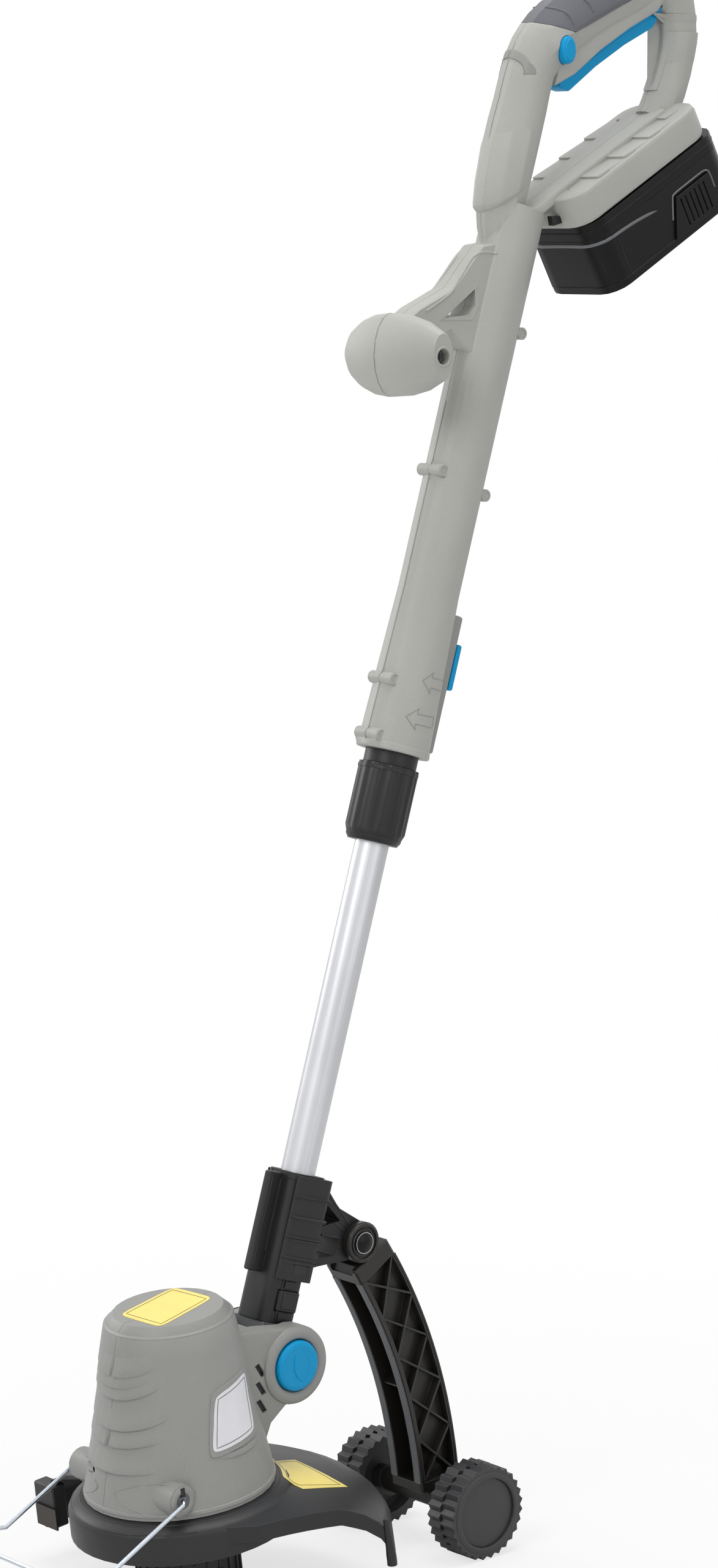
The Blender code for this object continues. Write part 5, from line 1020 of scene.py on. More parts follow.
def paired_line(skin: Skin, place: Place, points: Outline, radius: float, name: str, body: str,
                finish: Finish) -> None:
    """A raised line on the left side and its mirror image on the right.

    Args:
        skin: The surface.
        place: The frame of its points.
        points: Its points as (back, up) in millimetres.
        radius: Its radius in millimetres.
        name: Start of its name.
        body: The body that it rides on.
        finish: Its finish.
    """
    for side, word in SIDES:
        install(side_line(skin, place, points, side, radius), name + word, body, finish)


def oval(centre: Point2, half_back: float, half_up: float, steps: int) -> list[Point2]:
    """An oval's points in turn.

    Args:
        centre: Its middle as (back, up).
        half_back: Half its length along back.
        half_up: Half its height.
        steps: How many points it has.

    Returns:
        The points.
    """
    turns = [2 * math.pi * step / steps for step in range(steps)]
    return [(centre[0] + half_back * math.cos(turn), centre[1] + half_up * math.sin(turn)) for turn in turns]


@dataclass(frozen=True)
class Wrap:
    """How a band lies round a column.

    Attributes:
        centre: The column's middle in millimetres.
        profile: The band's corners as (up, how far it stands out) in millimetres.
        rise: How much higher it runs at the back than at the middle.
        bow: How much higher its ends are than its middle.
        sweep: The angles it runs between, in degrees; -90 is the front.
        taper: Whether it fades out towards its ends.
        start: How far out the laying starts.
        steps: Steps along it.
    """

    centre: Point3
    profile: Outline
    rise: float = 0.0
    bow: float = 0.0
    sweep: Point2 = (0.0, 360.0)
    taper: bool = False
    start: float = 60.0
    steps: int = 63

    def ring(self, skin: Skin, matrix: Matrix, share: float) -> list[Vector]:
        """The band's corners at one share of its length.

        Args:
            skin: The surface.
            matrix: The column's frame.
            share: From 0 to 1.

        Returns:
            The corners in metres.
        """
        angle = math.radians(self.sweep[0] + share * (self.sweep[1] - self.sweep[0]))
        out = Vector((math.cos(angle), math.sin(angle), 0.0))
        towards = -(matrix.to_3x3() @ out)
        level = self.rise * math.sin(angle) + self.bow * (2 * share - 1) ** 2
        fade = math.sin(math.pi * share) if self.taper else 1.0
        corners = []
        for up, lift in self.profile:
            spot = Vector(self.centre) + out * self.start + Vector((0.0, 0.0, level + up))
            landed = skin.drop(matrix @ (spot * MM), towards)
            corners.append(landed - towards * ((lift + WRAP_SINK) * fade - WRAP_SINK) * MM)
        return corners


def wrapped(skin: Skin, place: Place, wrap: Wrap) -> bpy.types.Object:
    """A band laid round a column.

    Args:
        skin: The surface.
        place: The column's frame.
        wrap: How it lies.

    Returns:
        The band.
    """
    closed = wrap.sweep[1] - wrap.sweep[0] >= 360.0
    count = wrap.steps if closed else wrap.steps + 1
    bm = bmesh.new()
    rings = [[bm.verts.new(spot) for spot in wrap.ring(skin, place.matrix(), step / wrap.steps)]
             for step in range(count)]
    pairs = zip(rings, rings[1:] + rings[:1]) if closed else zip(rings, rings[1:])
    corners = len(wrap.profile)
    for first, second in pairs:
        for i in range(corners):
            j = (i + 1) % corners
            bm.faces.new((first[i], second[i], second[j], first[j]))
    if not closed:
        bm.faces.new(rings[0])
        bm.faces.new(rings[-1])
    return mesh_piece(bm, Matrix.Identity(4))


def label(skin: Skin, grid: list[list[Vector]], towards: Vector, name: str, finish: Finish) -> None:
    """A blank label with a thin border on the head.

    Args:
        skin: The surface.
        grid: Its rows of points above the surface, in metres.
        towards: The way it is laid down.
        name: Its name.
        finish: Its film.
    """
    install(laid_sheet(skin, grid, towards, LABEL_THICK), name, "head", finish)
    path = [grid[i][j] for i, j in rim(len(grid) - 1, len(grid[0]) - 1, 1)]
    border = laid_line(skin, path, towards, BORDER_RADIUS, True, -LABEL_THICK / BORDER_RADIUS)
    install(border, name + "_border", "head", Finish.INK)


def thin_ring(place: Place, centre: Point3, inner: float, outer: float, rise: float, flip: bool = False,
              steps: int = 40) -> bpy.types.Object:
    """A rounded ring round an axis along X.

    Args:
        place: The frame.
        centre: Its middle in millimetres.
        inner: Inner radius.
        outer: Outer radius.
        rise: How far it stands out.
        flip: Whether it faces left.
        steps: Steps round it.

    Returns:
        The ring.
    """
    width = outer - inner
    profile = [(inner, -0.6), (inner, 0.55 * rise), (inner + 0.15 * width, 0.9 * rise),
               (inner + 0.4 * width, rise), (outer - 0.3 * width, 0.85 * rise),
               (outer - 0.08 * width, 0.45 * rise), (outer, -0.6)]
    return turned(place, centre, profile, Axis.X, steps, flip)


# Studio

@dataclass(frozen=True)
class Lamp:
    """A soft square lamp: its place and its side in metres, and its power in watts."""

    name: str
    spot: Point3
    size: float
    power: float

    def hang(self, aim: Vector) -> None:
        """Adds the lamp.

        Args:
            aim: The point that it looks at.
        """
        light = bpy.data.lights.new(self.name, "AREA")
        light.shape = "SQUARE"
        light.size = self.size
        light.energy = self.power
        holder = bpy.data.objects.new(self.name, light)
        bpy.context.scene.collection.objects.link(holder)
        holder.location = self.spot
        holder.rotation_euler = (aim - Vector(self.spot)).to_track_quat("-Z", "Y").to_euler()


@dataclass
class Studio:
    """Floor, lamps, world and camera."""

    floor_height: float = -4.6 * MM
    floor_reach: float = 9.0
    floor_tone: float = 0.86
    floor_roughness: float = 0.9
    camera_spot: Point3 = (2.142, -1.6745, 0.9558)
    camera_turn: float = 49.49
    camera_dip: float = 7.855
    focal_pixels: float = 6500.0
    frame_pixels: float = 2560.0
    sensor: float = 36.0
    clip_end: float = 60.0
    middle: Point3 = (0.0, 0.2, 0.55)
    lamps: tuple[Lamp, ...] = (
        Lamp("key", (0.9, -2.6, 2.6), 1.6, 38.0), Lamp("fill", (3.2, 0.6, 1.6), 1.8, 13.0),
        Lamp("top", (0.2, 0.4, 3.4), 2.0, 50.0), Lamp("rim", (-2.6, -0.7, 1.5), 1.4, 23.0))
    sky: float = 0.42
    near_white: float = 0.72
    fade_start: float = 0.25
    fade_end: float = 1.1

    def build(self) -> None:
        """Makes the studio."""
        self.make_floor()
        self.make_world()
        for lamp in self.lamps:
            lamp.hang(Vector(self.middle))
        self.make_camera()

    def make_floor(self) -> None:
        """A plain pale floor that is near white to the camera and keeps the shadow."""
        bm = bmesh.new()
        bmesh.ops.create_grid(bm, x_segments=8, y_segments=8, size=self.floor_reach)
        floor = mesh_piece(bm, Matrix.Translation((0.0, 0.0, self.floor_height)))
        floor.name = "studio_floor"
        material, graph, shader, place = blank_material("pale_floor")
        shader.inputs["Base Color"].default_value = (*[self.floor_tone] * 3, 1.0)
        shader.inputs["Roughness"].default_value = self.floor_roughness
        shader.inputs["Specular IOR Level"].default_value = 0.0
        white = graph.add("ShaderNodeEmission", strength=1.0)
        rays = graph.add("ShaderNodeLightPath")
        distance = graph.add("ShaderNodeVectorMath", operation="LENGTH")
        graph.join(place, distance.inputs[0])
        far = graph.ramp(distance.outputs["Value"], self.fade_start, self.fade_end)
        share = graph.math("ADD", graph.math("MULTIPLY", far, 1.0 - self.near_white), self.near_white)
        mix = graph.add("ShaderNodeMixShader")
        graph.join(graph.math("MULTIPLY", rays.outputs["Is Camera Ray"], share), mix.inputs[0])
        graph.join(shader.outputs[0], mix.inputs[1])
        graph.join(white.outputs[0], mix.inputs[2])
        graph.join(mix.outputs[0], material.node_tree.nodes["Material Output"].inputs["Surface"])
        floor.data.materials.append(material)

    def make_world(self) -> None:
        """A plain world: white where it is seen, softer where it lights."""
        world = bpy.data.worlds.new("studio_world")
        world.use_nodes = True
        bpy.context.scene.world = world
        graph = Graph(world.node_tree)
        rays = graph.add("ShaderNodeLightPath")
        mirrored = graph.math("MAXIMUM", rays.outputs["Is Glossy Ray"], rays.outputs["Is Transmission Ray"])
        seen = graph.math("MAXIMUM", rays.outputs["Is Camera Ray"], mirrored)
        back = world.node_tree.nodes["Background"]
        back.inputs["Color"].default_value = (1.0, 1.0, 1.0, 1.0)
        lit = graph.math("MULTIPLY", seen, 1.0 - self.sky)
        graph.join(graph.math("ADD", lit, self.sky), back.inputs["Strength"])

    def make_camera(self) -> None:
        """The camera at the photograph's viewpoint."""
        turn, dip = math.radians(self.camera_turn), math.radians(self.camera_dip)
        right = Vector((math.cos(turn), math.sin(turn), 0.0))
        back = Vector((math.sin(turn) * math.cos(dip), -math.cos(turn) * math.cos(dip), math.sin(dip)))
        data = bpy.data.cameras.new("camera")
        data.sensor_fit = "VERTICAL"
        data.sensor_height = self.sensor
        data.lens = self.focal_pixels / self.frame_pixels * self.sensor
        data.clip_end = self.clip_end
        camera = bpy.data.objects.new("camera", data)
        bpy.context.scene.collection.objects.link(camera)
        facing = Matrix((right, back.cross(right), back)).transposed().to_4x4()
        camera.matrix_world = Matrix.Translation(self.camera_spot) @ facing
        bpy.context.scene.camera = camera


# Sub-assemblies

@dataclass
class UpperHousing:
    """Housing shells with the D-handle, platform, arm and knob; sizes in millimetres."""

    hood_lip: Wrap = Wrap(
        (0.0, -24.0, 851.0),
        ((64.0, -0.5), (44.0, 0.9), (18.0, 2.2), (3.0, 2.9), (0.4, 2.7), (-1.4, 1.2), (-2.0, -0.5)),
        rise=17.0, sweep=(-225.0, 45.0), taper=True, start=36.0)
    mouth_rim: Wrap = Wrap(
        (0.0, SHAFT_BACK, 443.0), ((3.0, -0.5), (2.0, 0.6), (-2.0, 0.8), (-2.9, 0.2), (-2.9, -0.5)))
    strut_ledge: Wrap = Wrap(
        (0.0, 463.0, 1105.0), ((0.3, -0.5), (0.0, 1.2), (-8.0, 0.9), (-20.0, 0.3), (-27.0, -0.5)), start=40.0)
    strut_step: Wrap = Wrap(
        (0.0, 463.0, 1118.0), ((0.2, -0.5), (0.0, 0.7), (-4.0, 0.5), (-8.0, -0.5)), start=40.0)
    strip_ends: Outline = ((-7.0, 1116.0), (7.0, 1116.0), (7.0, 1062.0), (-7.0, 1062.0))
    strip_start: float = 400.0
    strip_rounding: float = 0.02
    # The arch on the column's front; half and rise are its inner and outer edge's.
    arch_foot: float = 1070.0
    arch_half: Point2 = (13.5, 16.5)
    arch_rise: Point2 = (12.0, 18.0)
    arch_rows: tuple[float, ...] = (0.0, 0.17, 0.33, 0.5, 0.67, 0.83, 1.0)
    arch_steps: int = 40
    arch_start: float = 260.0
    arch_proud: float = 0.7
    # Starts of the steps along the rail; each has a bent line in front of it.
    chevrons: tuple[float, ...] = (37.0, 67.0, 96.5, 125.5)
    chevron_length: float = 27.0
    chevron_rise: float = 1.7
    chevron_tail: float = 0.05
    chevron_root: float = -0.6
    spine_half: float = 17.2
    spine_gap: float = 1.0
    rim_half: float = 34.4
    last_half: float = 26.0
    last_length: float = 20.0
    bend_before: float = -16.0
    bend_skew: Point2 = (0.5, 1.5)
    bend_after: float = 12.5
    bend_start: float = 20.0
    notch: Outline = ((5.6, -13.0), (-2.0, -9.0), (-4.0, -16.0), (4.5, -18.5))
    notch_ends: Point2 = (12.0, 17.6)
    platform_foot: float = -22.0
    foot_drops: Outline = ((6.0, 0.0), (40.0, 0.0), (60.0, -0.5), (150.0, -1.0))
    grip_border: Outline = (
        (324.0, 1105.5), (341.0, 1101.5), (359.0, 1106.5), (378.0, 1114.0), (408.0, 1130.0), (440.0, 1143.0))
    grip_bend: Outline = ((-9.0, 15.0), (0.0, 13.0), (7.0, 8.5), (9.5, 3.0))
    # The first curved line as (back, up) and the way to the next one.
    grip_start: Point2 = (334.0, 1104.0)
    grip_pitch: Point2 = (20.0, 9.3)
    grip_curves: int = 5
    arm_flange: Outline = ((-26.0, 806.0), (-42.0, 801.0), (-52.0, 782.0), (-60.0, 766.0), (-78.0, 748.0))
    arm_window: Outline = ((-36.0, 779.0), (-31.5, 765.0), (-34.5, 754.5), (-63.0, 745.5))
    bosses: Outline = ((-33.0, 449.0), (-32.0, 490.0), (-30.0, 644.0), (15.0, 637.0), (15.0, 758.0))
    boss_face: float = 12.0
    # Mouths, cups and rings are given as (inner radius, outer radius).
    boss_mouth: Point2 = (2.9, 4.5)
    knob_spot: Point3 = (55.0, -91.0, 712.0)
    knob_mouth: Point2 = (5.7, 7.6)
    knob_hole_shade: Outline = ((3.3, 0.0), (3.3, 0.5), (5.4, 0.5), (5.4, 0.0))
    knob_depth: float = 7.1
    knob_reach: float = 40.0
    knob_half: float = 28.0
    knob_steps: int = 24
    # Name, foot as (back, up), pitch of the points and their number.
    seams: tuple[tuple[str, Point2, float, int], ...] = (
        ("shroud_seam", (-70.0, 443.0), 6.0, 43), ("column_seam", (-80.0, 858.0), 4.0, 26))
    seam_side: float = 0.5
    seam_radius: float = 0.32
    arrow: Outline = (
        (0.0, 0.0), (9.0, 8.0), (8.0, 3.6), (27.0, 5.0), (27.0, -3.0), (8.0, -3.6), (9.0, -8.0))
    # Tips of the arrows.
    arrows: Outline = ((-14.0, 494.0), (-21.0, 466.0))
    lock_off: Point2 = (337.0, 1088.0)
    lock_off_half: Point2 = (4.6, 8.2)
    lock_off_face: Point2 = (21.5, 23.3)
    trigger_edge: Outline = ((343.0, 1066.0), (376.0, 1085.0), (406.0, 1102.0), (432.0, 1114.0))
    slide_back: float = 60.0
    slide_foot: float = 500.0
    slide_pitch: float = 4.4
    slide_ribs: int = 6
    slide_across: tuple[float, ...] = (-4.5, -2.0, 0.0, 2.0, 4.5)

    def build(self) -> None:
        """Makes the housing's finishes and details."""
        self.dress()
        self.skin = Skin("housing_left", "housing_right")
        self.column_bands()
        self.column_arch()
        self.strut_steps()
        self.platform_steps()
        self.grip_marks()
        self.arm_flanges()
        self.screw_mouths()
        self.seam_lines()
        self.side_arrows()
        self.controls()

    def dress(self) -> None:
        """Gives the nodes their finishes."""
        dress_nodes(Finish.LIGHT, "housing_left", "housing_right")
        dress_nodes(Finish.SCREW, *("housing_screw_%d" % number for number in range(1, 6)), "knob_screw",
                    "trigger_pin", "trigger_spring")
        dress_nodes(Finish.GRIP, "grip_cover")
        dress_nodes(Finish.BLUE, "trigger", "lock_off_button", "lock_slider")
        dress_nodes(Finish.MID, "lock_plate")
        dress_nodes(Finish.BLACK, "switch", "terminal_block")

    def column_bands(self) -> None:
        """The hood's lip round the front column and the rim of the shroud's mouth."""
        install(wrapped(self.skin, POLE, self.hood_lip), "hood_lip", "handle", Finish.LIGHT)
        install(wrapped(self.skin, POLE, self.mouth_rim), "shroud_mouth_rim", "handle", Finish.LIGHT)

    def column_arch(self) -> None:
        """The darker arch at the top of the column's front, wider and higher at its outer edge."""
        (inner, outer), (low, high) = self.arch_half, self.arch_rise
        grid = []
        for step in range(self.arch_steps + 1):
            angle = math.pi * step / self.arch_steps
            row = []
            for share in self.arch_rows:
                across = (inner + (outer - inner) * share) * math.cos(angle)
                height = self.arch_foot + (low + (high - low) * share) * math.sin(angle)
                row.append(WORLD.point(across, self.arch_start, height))
            grid.append(row)
        arch = laid_sheet(self.skin, grid, WORLD.direction(0.0, 1.0, 0.0), self.arch_proud)
        install(arch, "column_arch", "handle", Finish.MID)

    def strut_steps(self) -> None:
        """The two steps round the rear strut and the strip on its inner side."""
        install(wrapped(self.skin, WORLD, self.strut_ledge), "strut_ledge", "handle", Finish.LIGHT)
        install(wrapped(self.skin, WORLD, self.strut_step), "strut_step", "handle", Finish.LIGHT)
        corners = [WORLD.point(x, self.strip_start, height) for x, height in self.strip_ends]
        grid = patch(corners, rounding=self.strip_rounding)
        strip = laid_sheet(self.skin, grid, WORLD.direction(0.0, 1.0, 0.0), thick=1.4)
        install(strip, "strut_strip", "handle", Finish.LIGHT)

    def platform_steps(self) -> None:
        """The sloping steps beside the platform's spine, black slabs painting the shadow in its notches, and
        the line on its lower edge.
        """
        for side, word in SIDES:
            for index, start in enumerate(self.chevrons):
                self.chevron(side, "%s_%d" % (word, index + 1), start, index == len(self.chevrons) - 1)
        # A black slab in each notch: painted shadow where the notch lies in shade.
        for side, word in SIDES:
            notch = round_off(slab(RAIL, self.notch, *span(side, *self.notch_ends)), width=0.5)
            install(notch, "platform_notch_shadow_" + word, "handle", Finish.BLACK)
        edge = smooth_path([(back, self.platform_foot + drop) for back, drop in self.foot_drops], 5)
        paired_line(self.skin, RAIL, edge, 0.6, "platform_edge_", "handle", Finish.LIGHT)

    def chevron(self, side: int, mark: str, start: float, last: bool) -> None:
        """One sloping step and the bent line in front of it, in a darker grey as painted shade along the
        step's edge.

        Args:
            side: 1 for the right side, -1 for the left.
            mark: End of the pieces' names.
            start: Where it starts along the rail.
            last: Whether it is the short one at the platform's rounded end.
        """
        half, length = (self.last_half, self.last_length) if last else (self.rim_half, self.chevron_length)
        end = start + length
        outline = ((start, self.chevron_root), (start, self.chevron_rise), (end, self.chevron_tail),
                   (end, self.chevron_root))
        step = round_off(slab(RAIL, outline, *span(side, self.spine_half - self.spine_gap, half)), width=0.35)
        install(step, "platform_step_" + mark, "handle", Finish.LIGHT)
        inner, (near, far) = self.spine_half + self.spine_gap, self.bend_skew
        bend = [(inner, start + self.bend_before), (inner, start + near), (half, start + far)]
        if not last:
            bend.append((half, start + self.bend_after))
        spots = [RAIL.point(side * x, back, self.bend_start) for x, back in evened(bend, 6)]
        # The bent line is darker grey than the housing: painted shade in front of the step.
        line = laid_line(self.skin, spots, RAIL.direction(0.0, 0.0, -1.0), radius=0.9, sink=0.3)
        install(line, "platform_crease_shade_" + mark, "handle", Finish.MID)

    def grip_marks(self) -> None:
        """The border and the curved lines of the soft grip cover."""
        skin = Skin("grip_cover")
        border = smooth_path(self.grip_border, 6)
        for side, word in SIDES:
            line = side_line(skin, WORLD, border, side, radius=0.8)
            install(line, "grip_border_" + word, "handle", Finish.GRIP)
            for index in range(self.grip_curves):
                back, up = (start + pitch * index for start, pitch in zip(self.grip_start, self.grip_pitch))
                curve = smooth_path([(back + behind, up + above) for behind, above in self.grip_bend], 6)
                groove = side_line(skin, WORLD, curve, side, radius=0.9, sink=0.3)
                install(groove, "grip_curve_%s_%d" % (word, index + 1), "handle", Finish.GRIP)

    def arm_flanges(self) -> None:
        """The arm's upper flanges and the rim of its window."""
        flange = smooth_path(self.arm_flange, 5)
        for side, word in SIDES:
            line = side_line(self.skin, POLE, flange, side, radius=1.3, sink=0.5)
            install(line, "arm_top_flange_" + word, "handle", Finish.LIGHT)
            line = side_line(self.skin, POLE, self.arm_window, side, radius=0.7, closed=True)
            install(line, "arm_window_rim_" + word, "handle", Finish.LIGHT)

    def screw_mouths(self) -> None:
        """Rounded mouths of the screw bosses and of the knob's screw hole, with a dark disc at its floor as
        painted shade.
        """
        for side, word in SIDES:
            for index, (back, up) in enumerate(self.bosses):
                spot = (side * self.boss_face, back, up)
                mouth = thin_ring(POLE, spot, *self.boss_mouth, rise=0.6, flip=side < 0, steps=28)
                install(mouth, "boss_mouth_%s_%d" % (word, index + 1), "handle", Finish.LIGHT)
        x, back, up = self.knob_spot
        install(thin_ring(POLE, self.knob_spot, *self.knob_mouth, rise=0.5), "knob_mouth", "handle",
                Finish.LIGHT)
        # Dark grey disc at the hole's floor: painted shade inside the hole.
        floor = turned(POLE, (x - self.knob_depth, back, up), self.knob_hole_shade, steps=24)
        install(floor, "knob_hole_shade", "handle", Finish.DARK)

    def seam_lines(self) -> None:
        """The fine parting line down the knob, the shroud's front and the column's front."""
        _, middle, level = self.knob_spot
        turns = [math.pi * step / self.knob_steps - math.pi / 2 for step in range(self.knob_steps + 1)]
        paths = {"knob_seam": [(middle - self.knob_reach, level + self.knob_half * math.sin(turn))
                               for turn in turns]}
        for name, (back, foot), pitch, count in self.seams:
            paths[name] = [(back, foot + pitch * step) for step in range(count)]
        for name, path in paths.items():
            spots = [POLE.point(self.seam_side, back, up) for back, up in path]
            line = laid_line(self.skin, spots, POLE.direction(0.0, 1.0, 0.0), self.seam_radius, sink=0.3)
            install(line, name, "handle", Finish.MID)

    def side_arrows(self) -> None:
        """The two raised outline arrows at the shroud's foot, on both sides."""
        for side, word in SIDES:
            for index, (back, up) in enumerate(self.arrows):
                path = evened_ring([(back + behind, up + above) for behind, above in self.arrow], 6)
                line = side_line(self.skin, POLE, path, side, radius=0.5, closed=True, sink=0.3)
                install(line, "shroud_arrow_%s_%d" % (word, index + 1), "handle", Finish.MID)

    def controls(self) -> None:
        """The raised face of the lock-off button, the trigger's finger line and the slide's ribs."""
        face = slab(WORLD, oval(self.lock_off, *self.lock_off_half, 28), *self.lock_off_face)
        install(round_off(face, width=0.7, segments=3), "lock_off_face", "lock_off", Finish.BLUE)
        edge = smooth_path(self.trigger_edge, 6)
        paired_line(Skin("trigger"), WORLD, edge, 0.4, "trigger_line_", "trigger_body", Finish.BLUE)
        slide = Skin("lock_slider")
        for index in range(self.slide_ribs):
            height = self.slide_foot + self.slide_pitch * index
            spots = [POLE.point(x, self.slide_back, height) for x in self.slide_across]
            rib = laid_line(slide, spots, POLE.direction(0.0, -1.0, 0.0), radius=0.6)
            install(rib, "slide_rib_%d" % (index + 1), "rotation_slide", Finish.BLUE)


@dataclass
class BatteryPack:
    """The sliding battery with its latches; sizes in millimetres along the rail."""

    middle: float = 85.0
    laying: float = 100.0
    ledge_up: float = -50.0
    ledge_rise: float = -9.0
    ledge_profile: Outline = ((1.4, -0.5), (0.9, 0.5), (-0.3, 0.9), (-1.2, 0.4), (-1.5, -0.5))
    # Name, sweep and steps of each stretch of the ledge.
    ledges: tuple[tuple[str, Point2, int], ...] = (
        ("ledge_highlight", (-190.0, 10.0), 97), ("ledge_highlight_back", (57.0, 123.0), 31))
    # Name, height and profile.
    ridges: tuple[tuple[str, float, Outline], ...] = (
        ("lid_ridge", -31.0, ((0.6, -0.5), (0.3, 0.5), (-0.5, 0.5), (-0.8, -0.5))),
        ("case_foot_ridge", -76.0, ((0.8, -0.5), (0.4, 0.6), (-0.8, 0.6), (-1.4, -0.5))))
    # Place across and back, and the outward direction's two shares.
    creases: tuple[tuple[float, float, float, float], ...] = (
        (31.5, 13.8, 0.75, -0.66), (37.9, 30.5, 1.0, 0.0))
    crease_top: float = -45.0
    crease_pitch: float = 3.9
    crease_points: int = 9
    crease_start: float = 20.0
    latch_arch: Outline = (
        (86.6, -62.5), (93.4, -49.0), (97.0, -46.2), (112.0, -45.8), (130.0, -45.9), (135.4, -48.0),
        (136.4, -53.0), (136.4, -62.0))

    def build(self) -> None:
        """Makes the battery's finishes and details."""
        dress_nodes(Finish.BATTERY, "battery_case", "battery_lid", "latch_button_left", "latch_button_right")
        dress_nodes(Finish.CELL, *("cell_%d" % number for number in range(1, 6)))
        skin = Skin("battery_case", "battery_lid")
        self.case_ridges(skin)
        self.corner_creases(skin)
        self.latch_arches()

    def case_ridges(self, skin: Skin) -> None:
        """The ledge that stops at the latches, in dark grey as a painted highlight on the black case, and the
        ridges round the lid and the foot.

        Args:
            skin: The battery's surface.
        """
        for name, sweep, steps in self.ledges:
            ledge = Wrap((0.0, self.middle, self.ledge_up), self.ledge_profile, rise=self.ledge_rise,
                         sweep=sweep, taper=True, start=self.laying, steps=steps)
            # Dark grey on the black case: a painted highlight along the ledge.
            install(wrapped(skin, RAIL, ledge), name, "battery", Finish.DARK)
        for name, up, profile in self.ridges:
            ridge = Wrap((0.0, self.middle, up), profile, start=self.laying, steps=121)
            install(wrapped(skin, RAIL, ridge), name, "battery", Finish.BATTERY)

    def corner_creases(self, skin: Skin) -> None:
        """The two upright creases at each front corner.

        Args:
            skin: The battery's surface.
        """
        for side, word in SIDES:
            for index, (x, back, across, ahead) in enumerate(self.creases):
                out = Vector((side * across, ahead, 0.0))
                heights = [self.crease_top - self.crease_pitch * step for step in range(self.crease_points)]
                spots = [Vector((side * x, back, height)) + out * self.crease_start for height in heights]
                line = laid_line(skin, [RAIL.point(*spot) for spot in spots], -RAIL.direction(*out), 0.7)
                install(line, "corner_crease_%s_%d" % (word, index + 1), "battery", Finish.BATTERY)

    def latch_arches(self) -> None:
        """The raised rim over each latch button, in dark grey as a painted highlight on the black case."""
        arch = smooth_path(self.latch_arch, 8)
        # Dark grey lines: painted highlight along the rims.
        paired_line(Skin("battery_case"), RAIL, arch, 0.9, "latch_rim_highlight_", "battery", Finish.DARK)


@dataclass
class Shaft:
    """Neck, collar, tube, sleeve and knuckle; sizes in millimetres along the pole."""

    collar_rings: tuple[tuple[str, float], ...] = (("collar_top_ring", 427.0), ("collar_foot_ring", 377.0))
    collar_profile: Outline = ((1.6, -0.4), (1.2, 0.5), (-1.2, 0.5), (-1.6, -0.4))
    sleeve_ring: Wrap = Wrap(
        (0.0, SHAFT_BACK, 130.0), ((1.0, -0.4), (0.8, 0.6), (-2.6, 0.6), (-3.0, -0.4)),
        sweep=(-60.0, 240.0), start=26.0)
    # Start of the name, place back, lower and upper end, and radius.
    fin_lines: tuple[tuple[str, float, Point2, float], ...] = (
        ("fin_slot_", -25.2, (74.0, 126.0), 0.5), ("fin_edge_", -33.0, (62.0, 127.0), 0.7))
    rail_back: Point2 = (-11.0, -1.0)
    rail_ends: Point2 = (15.2, 17.0)
    rails: tuple[tuple[str, Point2], ...] = (
        ("button_rail_top", (50.5, 56.0)), ("button_rail_foot", (26.0, 32.5)))
    guide_corners: tuple[Point2, Point2] = ((-13.5, 26.0), (-12.5, 57.0))
    guide_ends: Point2 = (12.5, 16.6)

    def build(self) -> None:
        """Makes the shaft's finishes and details."""
        dress_nodes(Finish.BLACK, "shaft_neck", "collar_nut", "clamp_ring", "lower_sleeve")
        dress_nodes(Finish.TUBE, "inner_tube")
        dress_nodes(Finish.DARK, "knuckle")
        self.collar_bands()
        self.sleeve_details()
        self.button_rail()

    def collar_bands(self) -> None:
        """The collar's top and foot rings."""
        skin = Skin("collar_nut")
        for name, up in self.collar_rings:
            band = Wrap((0.0, SHAFT_BACK, up), self.collar_profile, start=40.0)
            install(wrapped(skin, POLE, band), name, "collar", Finish.BLACK)

    def sleeve_details(self) -> None:
        """The sleeve's top ring, and the fin's slot and edge."""
        skin = Skin("lower_sleeve")
        install(wrapped(skin, POLE, self.sleeve_ring), "sleeve_top_ring", "lower_shaft", Finish.BLACK)
        for side, word in SIDES:
            for name, back, ends, radius in self.fin_lines:
                path = evened([(back, up) for up in ends], 8)
                install(side_line(skin, POLE, path, side, radius), name + word, "lower_shaft", Finish.BLACK)

    def button_rail(self) -> None:
        """The rail above and below the push button, and the guide beside it."""
        first, last = self.rail_back
        for name, (low, high) in self.rails:
            rail = slab(POLE, oblong((first, low), (last, high)), *self.rail_ends)
            install(round_off(rail, width=0.4), name, "lower_shaft", Finish.BLACK)
        guide = slab(POLE, oblong(*self.guide_corners), *self.guide_ends)
        install(round_off(guide, width=0.3), "button_guide", "lower_shaft", Finish.BLACK)


